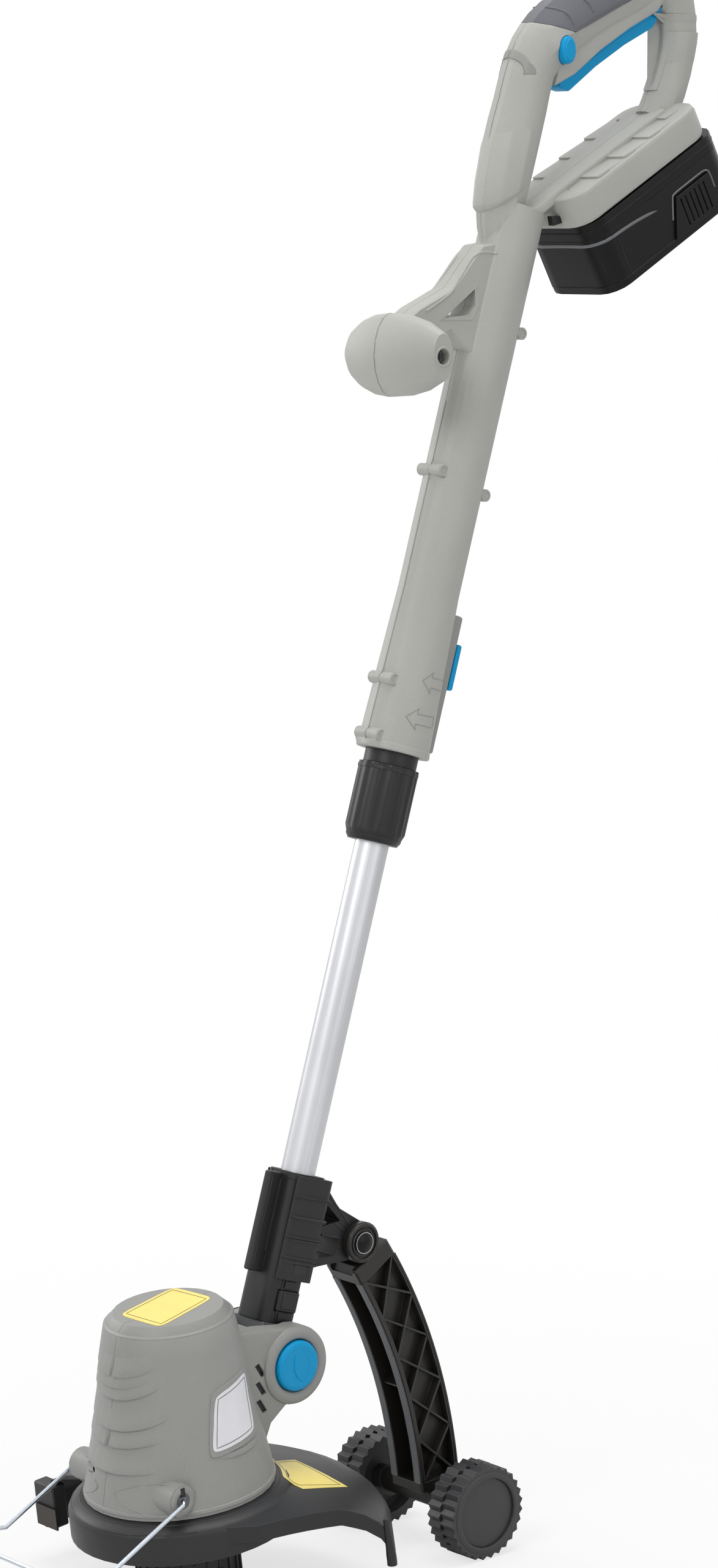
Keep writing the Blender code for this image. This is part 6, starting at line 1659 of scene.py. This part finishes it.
@dataclass
class MotorHead:
    """Motor housing, tilt button, spool and drive; sizes in millimetres along the spool's axis."""

    laying: float = 95.0
    # Height, bow and sweep of each fold.
    folds: tuple[tuple[float, float, Point2], ...] = (
        (181.0, 10.0, (-140.0, -42.0)), (173.5, 9.0, (-140.0, -44.0)), (166.0, 12.0, (-142.0, -38.0)),
        (145.0, 12.0, (-145.0, -32.0)), (133.5, 7.0, (-142.0, -40.0)), (116.0, 3.0, (-138.0, -46.0)))
    fold_profile: Outline = ((-0.6, -0.5), (-0.3, 2.0), (1.0, 2.7), (4.5, 2.2), (9.5, 1.0), (15.0, -0.5))
    side_band: Wrap = Wrap(
        (0.0, 0.0, 119.0), ((0.0, -0.5), (0.2, 0.9), (3.6, 0.9), (4.2, -0.5)), bow=3.0, sweep=(-14.0, 42.0),
        taper=True, start=95.0, steps=41)
    foot_band: Wrap = Wrap(
        (0.0, 0.0, 88.2), ((0.0, -0.4), (0.2, 0.8), (2.4, 0.7), (3.0, -0.4)), start=95.0, steps=97)
    crown_line: Wrap = Wrap(
        (0.0, 0.0, 209.0), ((-1.0, -0.4), (-0.6, 0.4), (0.6, 0.4), (1.0, -0.4)), start=70.0, steps=97)
    top_start: float = 235.0
    top_label: Outline = ((-16.6, -24.2), (-29.4, 34.2), (12.0, 37.4), (27.7, -22.0))
    seat: Outline = ((37.5, 173.0), (34.5, 125.5), (-15.5, 122.5), (-3.5, 167.0))
    seat_proud: float = 0.9
    seat_cells: int = 18
    side_label: Outline = ((34.4, 169.4), (30.5, 129.0), (-12.5, 126.2), (-1.1, 163.4))
    hub: Point3 = (33.0, 87.0, 154.0)
    hub_radius: float = 28.4
    cap_gap: float = 6.0
    hub_cap: Outline = ((0.0, -0.5), (0.0, 1.6), (4.2, 1.2), (5.6, 0.2), (5.6, -0.5))
    button_face: float = 36.0
    button_radius: float = 18.5
    button_gap: float = 0.9
    button_profile: Outline = (
        (0.0, -0.8), (0.0, 1.7), (9.0, 1.9), (13.4, 2.5), (15.6, 2.6), (17.4, 1.7), (18.2, 0.2), (18.3, -0.8))
    # The dish in the button: an ellipse drawn in to points by the power.
    lens_middle: float = 2.0
    lens_half: Point2 = (6.6, 12.5)
    lens_power: float = 0.4
    lens_steps: int = 28
    lens_ends: Point2 = (1.2, 2.5)
    lug: Point2 = (-41.0, 101.0)
    lug_face: float = 57.8
    lug_cup: Point2 = (5.6, 10.8)
    lug_cup_shade: Outline = ((2.8, 0.0), (2.8, 0.35), (5.8, 0.35), (5.8, 0.0))
    # Opposite corners, from the lug's middle.
    lug_gap_shade: tuple[Point2, Point2] = ((-1.8, 3.2), (1.8, 9.8))
    slot_depth: Point2 = (-0.5, 1.8)
    almond_offset: Point2 = (-6.0, -1.0)
    almond_half: Point2 = (17.0, 11.5)
    vents: int = 3
    vent_gap: float = 3.1
    vent_rise: float = 4.0
    # The way from one vent to the next as (back, up).
    vent_pitch: Point2 = (-1.0, -13.0)
    vent_shape: Outline = ((-3.7, 5.8), (-0.2, 6.7), (4.7, -2.8), (1.2, -3.7))
    vent_ends: Point2 = (27.2, 31.2)
    cap_rib_count: int = 24
    cap_rib: Point3 = (1.6, 1.5, 34.0)
    cap_radius: float = 37.1
    cap_middle: float = 22.0
    cap_band_up: float = 44.0
    cap_band: Outline = ((36.4, -1.6), (37.9, -1.2), (37.9, 1.2), (36.4, 1.6))

    def build(self) -> None:
        """Makes the head's finishes and details."""
        dress_nodes(Finish.MID, "motor_housing_left", "motor_housing_right")
        dress_nodes(Finish.BLUE, "tilt_button")
        dress_nodes(Finish.SCREW, "head_screw_1", "head_screw_2", "guard_screw_left", "guard_screw_right")
        dress_nodes(Finish.PIN, "hinge_pin", "motor_shaft")
        dress_nodes(Finish.CAN, "motor")
        dress_nodes(Finish.DARK, "spool_driver", "spool")
        dress_nodes(Finish.LINE, "line_winding")
        dress_nodes(Finish.BLACK, "spool_cap")
        self.skin = Skin("motor_housing_left", "motor_housing_right")
        self.shell_folds()
        self.shell_bands()
        self.labels()
        self.hub_rings()
        self.tilt_face()
        self.lug_cups()
        self.vent_shade_slabs()
        self.cap_ribs()

    def shell_folds(self) -> None:
        """The overlapping folds on the housing's front."""
        for index, (up, bow, sweep) in enumerate(self.folds):
            fold = Wrap((0.0, 0.0, up), self.fold_profile, bow=bow, sweep=sweep, taper=True,
                        start=self.laying, steps=47)
            install(wrapped(self.skin, HEAD, fold), "shell_fold_%d" % (index + 1), "head", Finish.MID)

    def shell_bands(self) -> None:
        """The band on the housing's right side, the one round its foot and the line under its crown."""
        bands = (("shell_band", self.side_band), ("shell_foot", self.foot_band),
                 ("shell_crown_line", self.crown_line))
        for name, band in bands:
            install(wrapped(self.skin, HEAD, band), name, "head", Finish.MID)

    def labels(self) -> None:
        """The blank labels on the top and the side, and the side label's raised seat."""
        corners = [HEAD.point(x, back, self.top_start) for x, back in self.top_label]
        label(self.skin, patch(corners), HEAD.direction(0.0, 0.0, -1.0), "top_label", Finish.YELLOW)
        inward = Vector((-1.0, 0.0, 0.0))
        corners = [HEAD.point(SIDE_START, back, up) for back, up in self.seat]
        sheet = laid_sheet(self.skin, patch(corners, self.seat_cells), inward, self.seat_proud)
        seat = Skin()
        seat.take(install(sheet, "label_seat", "head", Finish.MID))
        corners = [HEAD.point(SIDE_START, back, up) for back, up in self.side_label]
        label(seat, patch(corners), inward, "side_label", Finish.WHITE)

    def hub_rings(self) -> None:
        """The rounded rings round the tilt hinge on both sides, and the left one's cap."""
        x, back, up = self.hub
        left = (-x, back, up)
        inner = self.button_radius + self.button_gap
        ring = thin_ring(HEAD, self.hub, inner, self.hub_radius, rise=3.4, steps=64)
        install(ring, "hub_ring_right", "head", Finish.MID)
        ring = thin_ring(HEAD, left, self.cap_gap, self.hub_radius, rise=2.6, flip=True, steps=64)
        install(ring, "hub_ring_left", "head", Finish.MID)
        install(turned(HEAD, left, self.hub_cap, steps=40, flip=True), "hub_cap_left", "head", Finish.MID)

    def tilt_face(self) -> None:
        """The tilt button's domed rim and the lens-shaped dish in it."""
        _, back, up = self.hub
        face = turned(HEAD, (self.button_face, back, up), self.button_profile, steps=64)
        install(face, "tilt_button_face", "tilt_lock", Finish.BLUE)
        half_back, half_up = self.lens_half
        lens = []
        for step in range(self.lens_steps):
            angle = 2 * math.pi * step / self.lens_steps
            across = half_back * math.sin(angle) * abs(math.sin(angle)) ** self.lens_power
            lens.append((back + self.lens_middle + across, up + half_up * math.cos(angle)))
        dish = slab(HEAD, lens, *(self.button_face + height for height in self.lens_ends))
        install(round_off(dish, width=0.6, segments=3), "tilt_button_lens", "tilt_lock", Finish.BLUE)

    def lug_cups(self) -> None:
        """The cups in which the wire's ends turn, with a dark floor and a black slab in each slot as painted
        shade, and almond-shaped rims.
        """
        back, up = self.lug
        ahead, below = self.almond_offset
        almond = oval((back + ahead, up + below), *self.almond_half, 24)
        outline = oblong(*((back + behind, up + above) for behind, above in self.lug_gap_shade))
        for side, word in SIDES:
            spot = (side * self.lug_face, back, up)
            cup = thin_ring(HEAD, spot, *self.lug_cup, rise=1.6, flip=side < 0)
            install(cup, "lug_cup_" + word, "head", Finish.MID)
            # Dark floor and black slot slab: painted shade inside the cup and its slot.
            floor = turned(HEAD, spot, self.lug_cup_shade, steps=32, flip=side < 0)
            install(floor, "lug_cup_shade_" + word, "head", Finish.DARK)
            slot = slab(HEAD, outline, *span(side, *(self.lug_face + reach for reach in self.slot_depth)))
            install(round_off(slot, width=0.3), "lug_gap_shade_" + word, "head", Finish.BLACK)
            line = side_line(self.skin, HEAD, almond, side, radius=0.6, closed=True, sink=0.6)
            install(line, "lug_rim_" + word, "head", Finish.MID)

    def vent_shade_slabs(self) -> None:
        """Black slabs in the slanted vents on each side: painted shade at the vents' floors."""
        _, back, up = self.hub
        first = (back - self.hub_radius - self.vent_gap, up + self.vent_rise)
        for side, word in SIDES:
            for index in range(self.vents):
                middle, height = (start + pitch * index for start, pitch in zip(first, self.vent_pitch))
                outline = [(middle + behind, height + above) for behind, above in self.vent_shape]
                # Black slab inside each vent: painted shade where the vent lies in shade.
                floor = slab(HEAD, outline, *span(side, *self.vent_ends))
                install(floor, "vent_shade_%s_%d" % (word, index + 1), "head", Finish.BLACK)

    def cap_ribs(self) -> None:
        """Upright grip ribs round the spool cap and the band above them."""
        bm = bmesh.new()
        for step in range(self.cap_rib_count):
            turn = Matrix.Rotation(2 * math.pi * step / self.cap_rib_count, 4, "Z")
            made = bmesh.ops.create_cube(bm, size=1.0)["verts"]
            bmesh.ops.scale(bm, vec=Vector(self.cap_rib) * MM, verts=made)
            bmesh.ops.translate(bm, vec=Vector((self.cap_radius, 0.0, self.cap_middle)) * MM, verts=made)
            bmesh.ops.transform(bm, matrix=turn, verts=made)
        ribs = round_off(mesh_piece(bm, HEAD.matrix()), width=0.4)
        install(ribs, "cap_ribs", "spool_body", Finish.BLACK)
        band = turned(HEAD, (0.0, 0.0, self.cap_band_up), self.cap_band, Axis.Z, 64)
        install(band, "cap_band", "spool_body", Finish.BLACK)


@dataclass
class LineGuard:
    """Guard, line cutter and wire bow; sizes in millimetres along the spool's axis."""

    above: float = 120.0
    below: float = 10.0
    seat_radius: float = 71.0
    seat_points: int = 96
    edge_radius: float = 77.5
    edge_sweep: Point2 = (150.0, 330.0)
    edge_points: int = 60
    label_start: float = 43.0
    label_sweep: float = 37.0
    label_inner: float = 72.5
    # How deep the label's near corner is cut, over what share of its length, and the curve's power.
    label_cut: tuple[float, float, float] = (14.5, 0.22, 1.5)
    label_edge: float = 93.0
    label_outer: Point2 = (71.5, 14.0)
    # Cells along the label and out from the housing.
    label_cells: tuple[int, int] = (16, 12)
    foot: Point2 = (112.6, 92.6)
    foot_rows: Outline = ((-0.6, 56.0), (0.0, 44.0), (0.3, 33.0), (0.5, 26.0), (0.5, 21.5))
    foot_radius: float = 3.6
    foot_top: float = 0.55
    foot_swell: int = 10
    boss: Point3 = (60.6, 41.0, 79.0)
    boss_profile: Outline = ((0.0, -2.0), (0.0, 3.6), (2.4, 3.2), (4.2, 1.6), (4.8, -2.0))
    rib_angles: tuple[float, ...] = (52.0, 75.0, 98.0, 121.0, 144.0)
    rib_reaches: tuple[float, ...] = (86.0, 92.0, 98.0, 104.0, 110.0, 116.0, 122.0, 128.0, 134.0)
    rib_radius: float = 1.4

    def build(self) -> None:
        """Makes the guard's finishes and details."""
        dress_nodes(Finish.GUARD, "guard")
        dress_nodes(Finish.BLADE, "line_cutter")
        dress_nodes(Finish.WIRE, "wire_guard")
        skin = Skin("guard")
        down = HEAD.direction(0.0, 0.0, -1.0)
        label(skin, self.label_grid(), down, "guard_label", Finish.YELLOW)
        self.skirt_foot()
        self.rim_lines(skin, down)
        self.wing_ribs(skin)
        install(turned(HEAD, self.boss, self.boss_profile, Axis.Z, 32), "guard_boss", "head", Finish.GUARD)

    def label_grid(self) -> list[list[Vector]]:
        """The label's points, from the arc round the housing out to the wing's straight edge.

        Returns:
            Its rows of points.
        """
        rows, cells = self.label_cells
        (depth, reach, power), (first, last) = self.label_cut, self.label_outer
        grid = []
        for share in (step / rows for step in range(rows + 1)):
            radius = self.label_inner + depth * max(0.0, 1.0 - share / reach) ** power
            inner = HEAD.round_point(radius, self.label_start + self.label_sweep * share, self.above)
            outer = HEAD.point(first - (first - last) * share, self.label_edge, self.above)
            grid.append([inner.lerp(outer, cell / cells) for cell in range(cells + 1)])
        return grid

    def skirt_foot(self) -> None:
        """The thickened foot at the skirt's near end."""
        x, y = self.foot
        path = smooth_path([(x + out, y + out, up) for out, up in self.foot_rows], 4)
        shares = [min(1.0, step / self.foot_swell) for step in range(len(path))]
        radii = [self.foot_top + (1.0 - self.foot_top) * share for share in shares]
        install(bar(HEAD, path, self.foot_radius, radii=radii), "skirt_foot", "head", Finish.GUARD)

    def rim_lines(self, skin: Skin, down: Vector) -> None:
        """The raised line where the housing stands and the one round the disc's edge.

        Args:
            skin: The guard's surface.
            down: Down along the spool's axis.
        """
        turns = [360.0 * step / self.seat_points for step in range(self.seat_points)]
        seat = [HEAD.round_point(self.seat_radius, angle, self.above) for angle in turns]
        line = laid_line(skin, seat, down, radius=0.6, closed=True)
        install(line, "guard_seat_ring", "head", Finish.GUARD)
        first, last = self.edge_sweep
        pieces = self.edge_points - 1
        turns = [first + (last - first) * step / pieces for step in range(self.edge_points)]
        edge = [HEAD.round_point(self.edge_radius, angle, self.above) for angle in turns]
        install(laid_line(skin, edge, down, radius=0.7), "guard_edge_ring", "head", Finish.GUARD)

    def wing_ribs(self, skin: Skin) -> None:
        """Short stiffening ribs under the wing.

        Args:
            skin: The guard's surface.
        """
        up = HEAD.direction(0.0, 0.0, 1.0)
        for index, degrees in enumerate(self.rib_angles):
            spots = [HEAD.round_point(reach, degrees, self.below) for reach in self.rib_reaches]
            rib = laid_line(skin, spots, up, self.rib_radius)
            install(rib, "wing_rib_%d" % (index + 1), "head", Finish.GUARD)


@dataclass
class WheelSupport:
    """Bracket, leg, axle and wheels; sizes in millimetres."""

    pivot: Point2 = (144.913, 236.21)
    pivot_ring: Point2 = (11.8, 14.6)
    pivot_collar: Point2 = (8.9, 10.6)
    pivot_cap: Outline = ((0.0, 0.2), (0.0, 4.6), (3.0, 4.3), (5.6, 3.5), (7.4, 2.3), (7.9, 0.2))
    axle: Point2 = (221.5, 30.49)
    leg_half: float = 17.0
    front_radius: float = 381.0
    depth: float = 37.0
    flange: float = 4.0
    back_wall: float = 3.5
    # The side pocket's start and end as shares of the leg's length, and its cells.
    pocket: tuple[float, float, int] = (0.12, 0.93, 5)
    pocket_floor: float = 9.8
    pocket_mouth: float = 16.6
    pocket_sink: float = 0.6
    edge_mouth: float = 17.5
    face_mouth: float = 16.2
    face_depth: Point2 = (-0.5, 0.6)
    rear_flange: float = 2.4
    edge_inset: float = 0.3
    edge_steps: int = 30
    rib_half: float = 0.75
    # Each end as (share of the leg's length, depth behind the front).
    channel_rib: tuple[Point2, Point2] = ((0.57, 2.0), (0.56, 17.0))
    channel_half: float = 9.2
    shoulder: float = 39.4
    shoulder_ring: Point2 = (9.0, 13.0)
    # Opposite corners as (back, up).
    window_rim: tuple[Point2, Point2] = ((-9.0, 60.5), (4.5, 69.5))
    window: tuple[Point2, Point2] = ((-8.0, 61.5), (3.5, 68.5))
    window_ends: Point2 = (19.4, 19.95)
    bands: tuple[float, ...] = (73.0, 87.5, 102.0, 116.0)
    band_profile: Outline = ((-0.9, -0.5), (-0.7, 1.2), (0.7, 1.2), (0.9, -0.5))
    band_sweep: Point2 = (-78.0, 62.0)
    # Both ends of each spoke as (back, up).
    spokes: tuple[tuple[Point2, Point2], ...] = (
        ((17.0, 120.0), (41.0, 103.0)), ((17.0, 106.0), (37.0, 98.0)), ((17.0, 92.0), (36.0, 92.0)),
        ((17.0, 76.0), (37.0, 86.0)))
    button: tuple[Point2, Point2] = ((-11.9, 36.0), (1.0, 47.0))
    button_ends: Point2 = (17.6, 18.9)
    wheel_face: float = 67.5
    wheel_rim: Point2 = (26.0, 30.6)
    wheel_plate: Outline = ((0.0, -2.4), (0.0, -0.6), (17.0, -0.8), (22.5, -1.3), (25.4, -1.5), (25.6, -2.4))
    hub_face: float = 40.5
    hub_ring: Point2 = (9.0, 12.0)

    def build(self) -> None:
        """Makes the wheel support's finishes and details."""
        dress_nodes(Finish.BLACK, "wheel_bracket", "push_button")
        dress_nodes(Finish.LEG, "leg")
        dress_nodes(Finish.PIN, "pivot_pin", "axle")
        dress_nodes(Finish.WHEEL, "wheel_left", "wheel_right")
        self.pivot_rings()
        self.leg_lattice()
        self.channel()
        self.bracket_details()
        self.push_face()
        self.wheel_faces()

    def pivot_rings(self) -> None:
        """The rings round the pivot and its domed caps."""
        for side, word in SIDES:
            spot = (side * self.leg_half, *self.pivot)
            ring = thin_ring(WORLD, spot, *self.pivot_ring, rise=1.6, flip=side < 0, steps=48)
            install(ring, "pivot_ring_" + word, "leg_body", Finish.LEG)
            collar = thin_ring(WORLD, spot, *self.pivot_collar, rise=1.2, flip=side < 0, steps=48)
            install(collar, "pivot_collar_" + word, "leg_body", Finish.LEG)
            cap = turned(WORLD, spot, self.pivot_cap, steps=40, flip=side < 0)
            install(cap, "pivot_cap_" + word, "leg_body", Finish.BATTERY)

    def leg_lattice(self) -> None:
        """The crossing ribs in the leg's side pockets, the strips along its edges, and its front faces in
        dark grey as a painted sheen on the black leg.
        """
        first, last, cells = self.pocket
        step = (last - first) / cells
        front = self.front_radius + self.flange - self.pocket_sink
        rear = self.front_radius + self.depth - self.back_wall + self.pocket_sink
        edges = (("leg_front_edge_", 0.0, self.flange),
                 ("leg_rear_edge_", self.depth - self.rear_flange, self.depth))
        for side, word in SIDES:
            for index in range(cells):
                low = first + index * step
                here, after = (rear, front) if index % 2 == 0 else (front, rear)
                rib = self.strip(self.arc_spot(low, here), self.arc_spot(low + step, after),
                                 span(side, self.pocket_floor, self.pocket_mouth))
                install(rib, "leg_rib_%s_%d" % (word, index + 1), "leg_body", Finish.LEG)
            for name, inner, outer in edges:
                edge = self.arc_band(inner + self.edge_inset, outer - self.edge_inset,
                                     span(side, self.pocket_mouth, self.edge_mouth))
                install(round_off(edge, width=0.3), name + word, "leg_body", Finish.LEG)
            # Dark grey strips on the leg's front: painted reflection of a lamp on the glossy black plastic.
            face = self.arc_band(*self.face_depth, span(side, self.pocket_floor, self.face_mouth))
            install(round_off(face, width=0.3), "leg_front_sheen_" + word, "leg_body", Finish.DARK)

    def channel(self) -> None:
        """The rib across the leg's channel and the shoulders where it holds the axle."""
        here, after = (self.arc_spot(share, self.front_radius + depth) for share, depth in self.channel_rib)
        rib = self.strip(here, after, (-self.channel_half, self.channel_half))
        install(rib, "channel_rib", "leg_body", Finish.LEG)
        for side, word in SIDES:
            spot = (side * self.shoulder, *self.axle)
            ring = thin_ring(WORLD, spot, *self.shoulder_ring, rise=0.9, flip=side < 0)
            install(ring, "axle_shoulder_" + word, "leg_body", Finish.LEG)

    def arc_spot(self, share: float, radius: float) -> Point2:
        """A point of the leg's side.

        Args:
            share: How far it lies from the pivot (0) to the axle (1).
            radius: Its distance from the arc's centre.

        Returns:
            The point as (back, up).
        """
        pivot, axle = Vector(self.pivot), Vector(self.axle)
        chord = axle - pivot
        rise = math.sqrt((self.front_radius + self.depth / 2) ** 2 - (chord.length / 2) ** 2)
        centre = (pivot + axle) / 2 + Vector((chord.y, -chord.x)).normalized() * rise
        first, last = (math.atan2(spot.y - centre.y, spot.x - centre.x) for spot in (pivot, axle))
        angle = first + (last - first) * share
        return centre.x + radius * math.cos(angle), centre.y + radius * math.sin(angle)

    def arc_band(self, inner: float, outer: float, ends: Point2) -> bpy.types.Object:
        """A strip along the leg's whole side.

        Args:
            inner: Where it starts, back from the leg's front.
            outer: Where it ends.
            ends: Where it starts and ends across the leg.

        Returns:
            The strip.
        """
        first, last, _ = self.pocket
        shares = [first + (last - first) * step / self.edge_steps for step in range(self.edge_steps + 1)]
        front = [self.arc_spot(share, self.front_radius + inner) for share in shares]
        rear = [self.arc_spot(share, self.front_radius + outer) for share in shares]
        return slab(WORLD, front + rear[::-1], *ends)

    def strip(self, here: Point2, after: Point2, ends: Point2) -> bpy.types.Object:
        """A flat rib between two points of the leg's side.

        Args:
            here: First end as (back, up).
            after: Second end.
            ends: Where it starts and ends across the leg.

        Returns:
            The rib.
        """
        a, b = Vector(here), Vector(after)
        across = (b - a).normalized().orthogonal() * self.rib_half
        outline = [tuple(spot) for spot in (a + across, b + across, b - across, a - across)]
        return slab(WORLD, outline, *ends)

    def bracket_details(self) -> None:
        """The bracket's window with its rim, the bands round it and its spokes."""
        skin = Skin("wheel_bracket")
        path = evened_ring(oblong(*self.window_rim), 5)
        rim_line = side_line(skin, POLE, path, 1, radius=0.6, closed=True)
        install(rim_line, "bracket_window_rim", "bracket", Finish.BLACK)
        for index, up in enumerate(self.bands):
            band = Wrap((0.0, SHAFT_BACK, up), self.band_profile, sweep=self.band_sweep, start=45.0, steps=41)
            install(wrapped(skin, POLE, band), "bracket_band_%d" % (index + 1), "bracket", Finish.BLACK)
        window = slab(POLE, oblong(*self.window), *self.window_ends)
        install(window, "bracket_window", "bracket", Finish.LEG)
        for side, word in SIDES:
            for index, ends in enumerate(self.spokes):
                line = side_line(skin, POLE, evened(ends, 8), side, radius=1.0)
                install(line, "bracket_spoke_%s_%d" % (word, index + 1), "bracket", Finish.BLACK)

    def push_face(self) -> None:
        """The push button's raised face, clear of the guide beside it."""
        face = slab(POLE, oblong(*self.button), *self.button_ends)
        install(round_off(face, width=0.6, segments=3), "push_button_face", "bracket_lock", Finish.BLACK)

    def wheel_faces(self) -> None:
        """The ring and the slightly domed plate on each wheel's face, and the ring on its hub."""
        for side, word in SIDES:
            body = "wheel_" + word[0]
            spot = (side * self.wheel_face, *self.axle)
            ring = thin_ring(WORLD, spot, *self.wheel_rim, rise=0.9, flip=side < 0, steps=72)
            install(ring, "wheel_rim_" + word, body, Finish.WHEEL)
            disc = turned(WORLD, spot, self.wheel_plate, steps=72, flip=side < 0)
            install(disc, "wheel_plate_" + word, body, Finish.WHEEL)
            spot = (side * self.hub_face, *self.axle)
            ring = thin_ring(WORLD, spot, *self.hub_ring, rise=0.8, flip=side > 0)
            install(ring, "wheel_hub_ring_" + word, body, Finish.WHEEL)


def main() -> None:
    """Builds the trimmer's details in order, then the studio."""
    logging.basicConfig(level=logging.INFO, format="%(name)s: %(message)s")
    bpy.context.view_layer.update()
    for assembly in (UpperHousing(), BatteryPack(), Shaft(), MotorHead(), LineGuard(), WheelSupport()):
        LOG.info("building %s", type(assembly).__name__)
        assembly.build()
    Studio().build()
    bpy.context.scene.view_settings.view_transform = "Standard"


if __name__ == "__main__":
    main()
